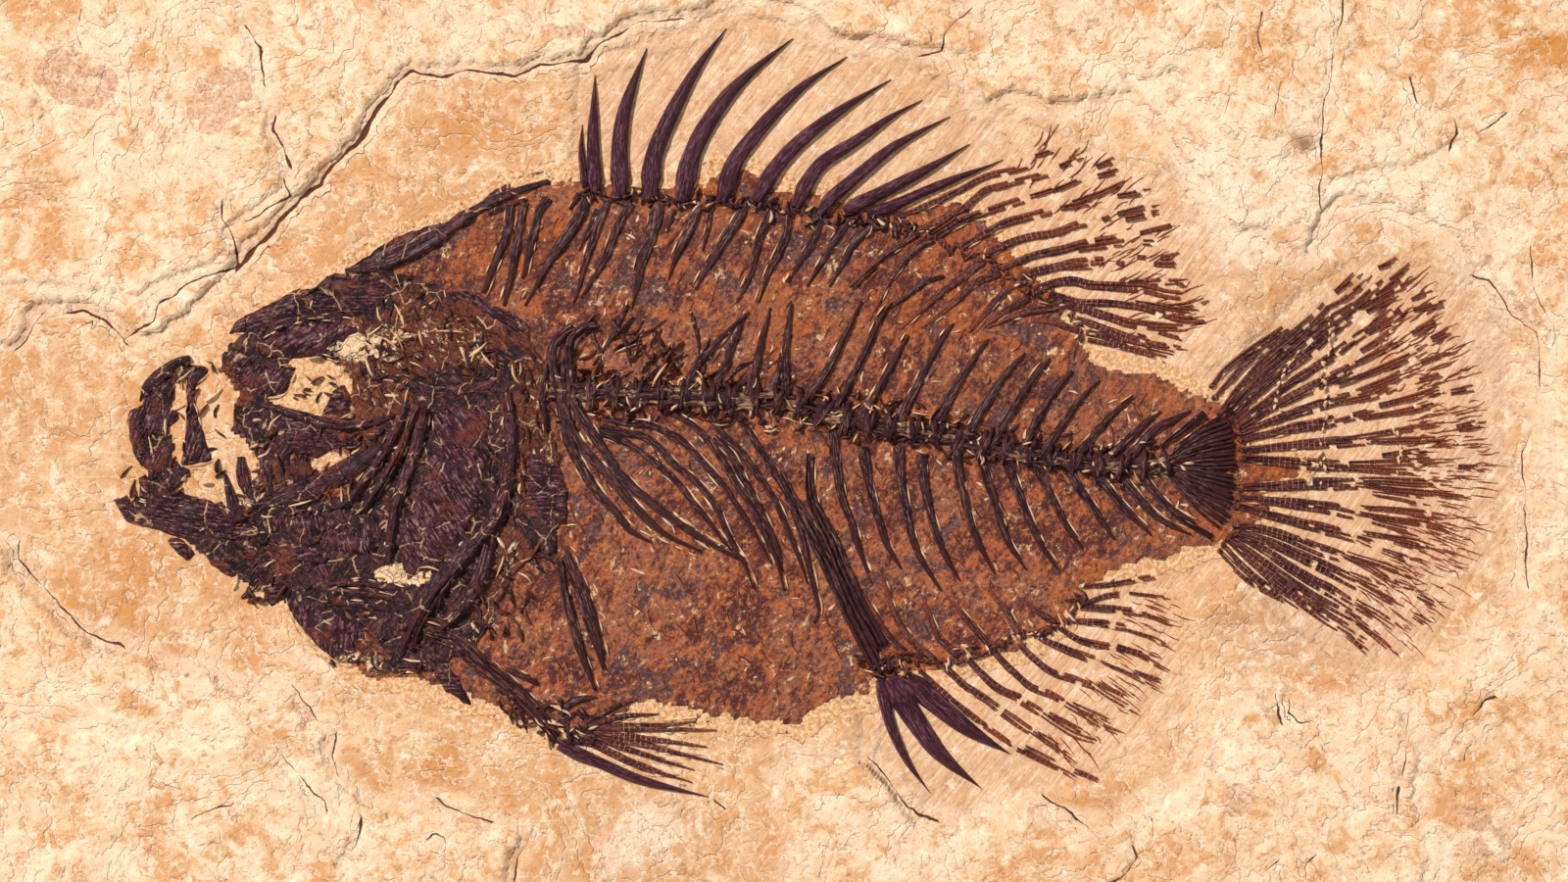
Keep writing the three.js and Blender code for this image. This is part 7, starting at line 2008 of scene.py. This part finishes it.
def addCrushed():
    dark = Heap()
    kinds = [dark] * 5 + [shredHeap] * 3 + [matrixHeap]
    random = np.random.default_rng(400)
    seed = 4000
    for outline, count, direction, spread, length, wide in crushed:
        for spot in scatter(outline, count, random):
            angle = math.radians(direction + spread * random.normal() * 0.7)
            size = 0.5 + random.random()
            heap = kinds[int(random.integers(0, len(kinds)))]
            slim = 0.85 if heap is matrixHeap else 1
            addShard(heap, spot, angle, length * size / slim, slim * wide * (0.7 + 0.9 * random.random()),
                     0.35 + 0.55 * random.random(), seed, random)
            seed += 1
    for height, path in veins:
        line = curveThrough(path, 0.42)[0]
        for here, ahead in zip(line[:-1], line[1:]):
            angle = math.atan2(ahead[1] - here[1], ahead[0] - here[0]) + 0.5 * random.normal()
            spot, size = here + 0.13 * random.normal(0, 1, 2), random.random()
            if size > 0.22:
                addShard(matrixHeap, spot, angle, 0.35 + 0.5 * size, 0.16 + 0.3 * size,
                         height * (0.8 + 0.3 * size), seed, random)
            seed += 1
    addRow(dark, strayBones, [0.6, 1, 0.8], 0.5, 8800, [(0.5, 0, {})], [0.1], wobble=0.16)
    for k, (wide, height, path) in enumerate(strayRock):
        for side in (-1, 1):
            addRim(path, 0.12, 8900 + 3 * k + side, side=side, share=0.75, length=1.3, wide=0.7 * wide, height=height)
    dark.piece("boneSplinters", headFinish, "bone")


addCrushed()


litter = {
    "area": [[-30, 22], [-10, 24], [10, 21], [24, 15], [34, 7], [42, 2], [42, -8], [30, -14], [16, -22], [4, -26],
             [-18, -27], [-30, -20], [-26, 0]],
    "fibres": 300, "flecks": 150, "height": 0.12, "backLean": 58, "bellyLean": -62, "midline": 4,
}


def addFilmLitter():
    # faint fibres of skin and cream flecks of rock over the film
    random = np.random.default_rng(401)
    for k, spot in enumerate(scatter(litter["area"], litter["fibres"], random)):
        lean = litter["backLean"] if spot[1] > litter["midline"] else litter["bellyLean"]
        angle = math.radians(lean + 14 * random.normal())
        addShard(shredHeap, spot, angle, 0.8 + 1.8 * random.random(), 0.12 + 0.16 * random.random(),
                 litter["height"], 6000 + k, random)
    for k, spot in enumerate(scatter(litter["area"], litter["flecks"], random)):
        size = 0.4 + 0.9 * random.random() ** 2
        addShard(matrixHeap, spot, random.random() * 3.1, size, 0.12 + 0.25 * random.random(),
                 litter["height"], 6400 + k, random)


addFilmLitter()
matrixHeap.piece("creamMatrix", matrixFinish, "limestone")
shredHeap.piece("skinShreds", rustyFinish, "scale_film")
print("splinters laid")


floorLook = {"reach": 2.0, "colour": (150, 146, 140), "roughness": 0.8}


def addFloor():
    floor = bpy.data.meshes.new("floor")
    reach = floorLook["reach"]
    corners = [(-reach, -reach, 0), (reach, -reach, 0), (reach, reach, 0), (-reach, reach, 0)]
    floor.from_pydata(corners, [], [(0, 1, 2, 3)])
    f = Finish("paleFloor")
    f.shader.inputs["Base Color"].default_value = paint(*floorLook["colour"])
    f.shader.inputs["Roughness"].default_value = floorLook["roughness"]
    floor.materials.append(f.material)
    made = bpy.data.objects.new("floor", floor)
    bpy.context.scene.collection.objects.link(made)


addFloor()
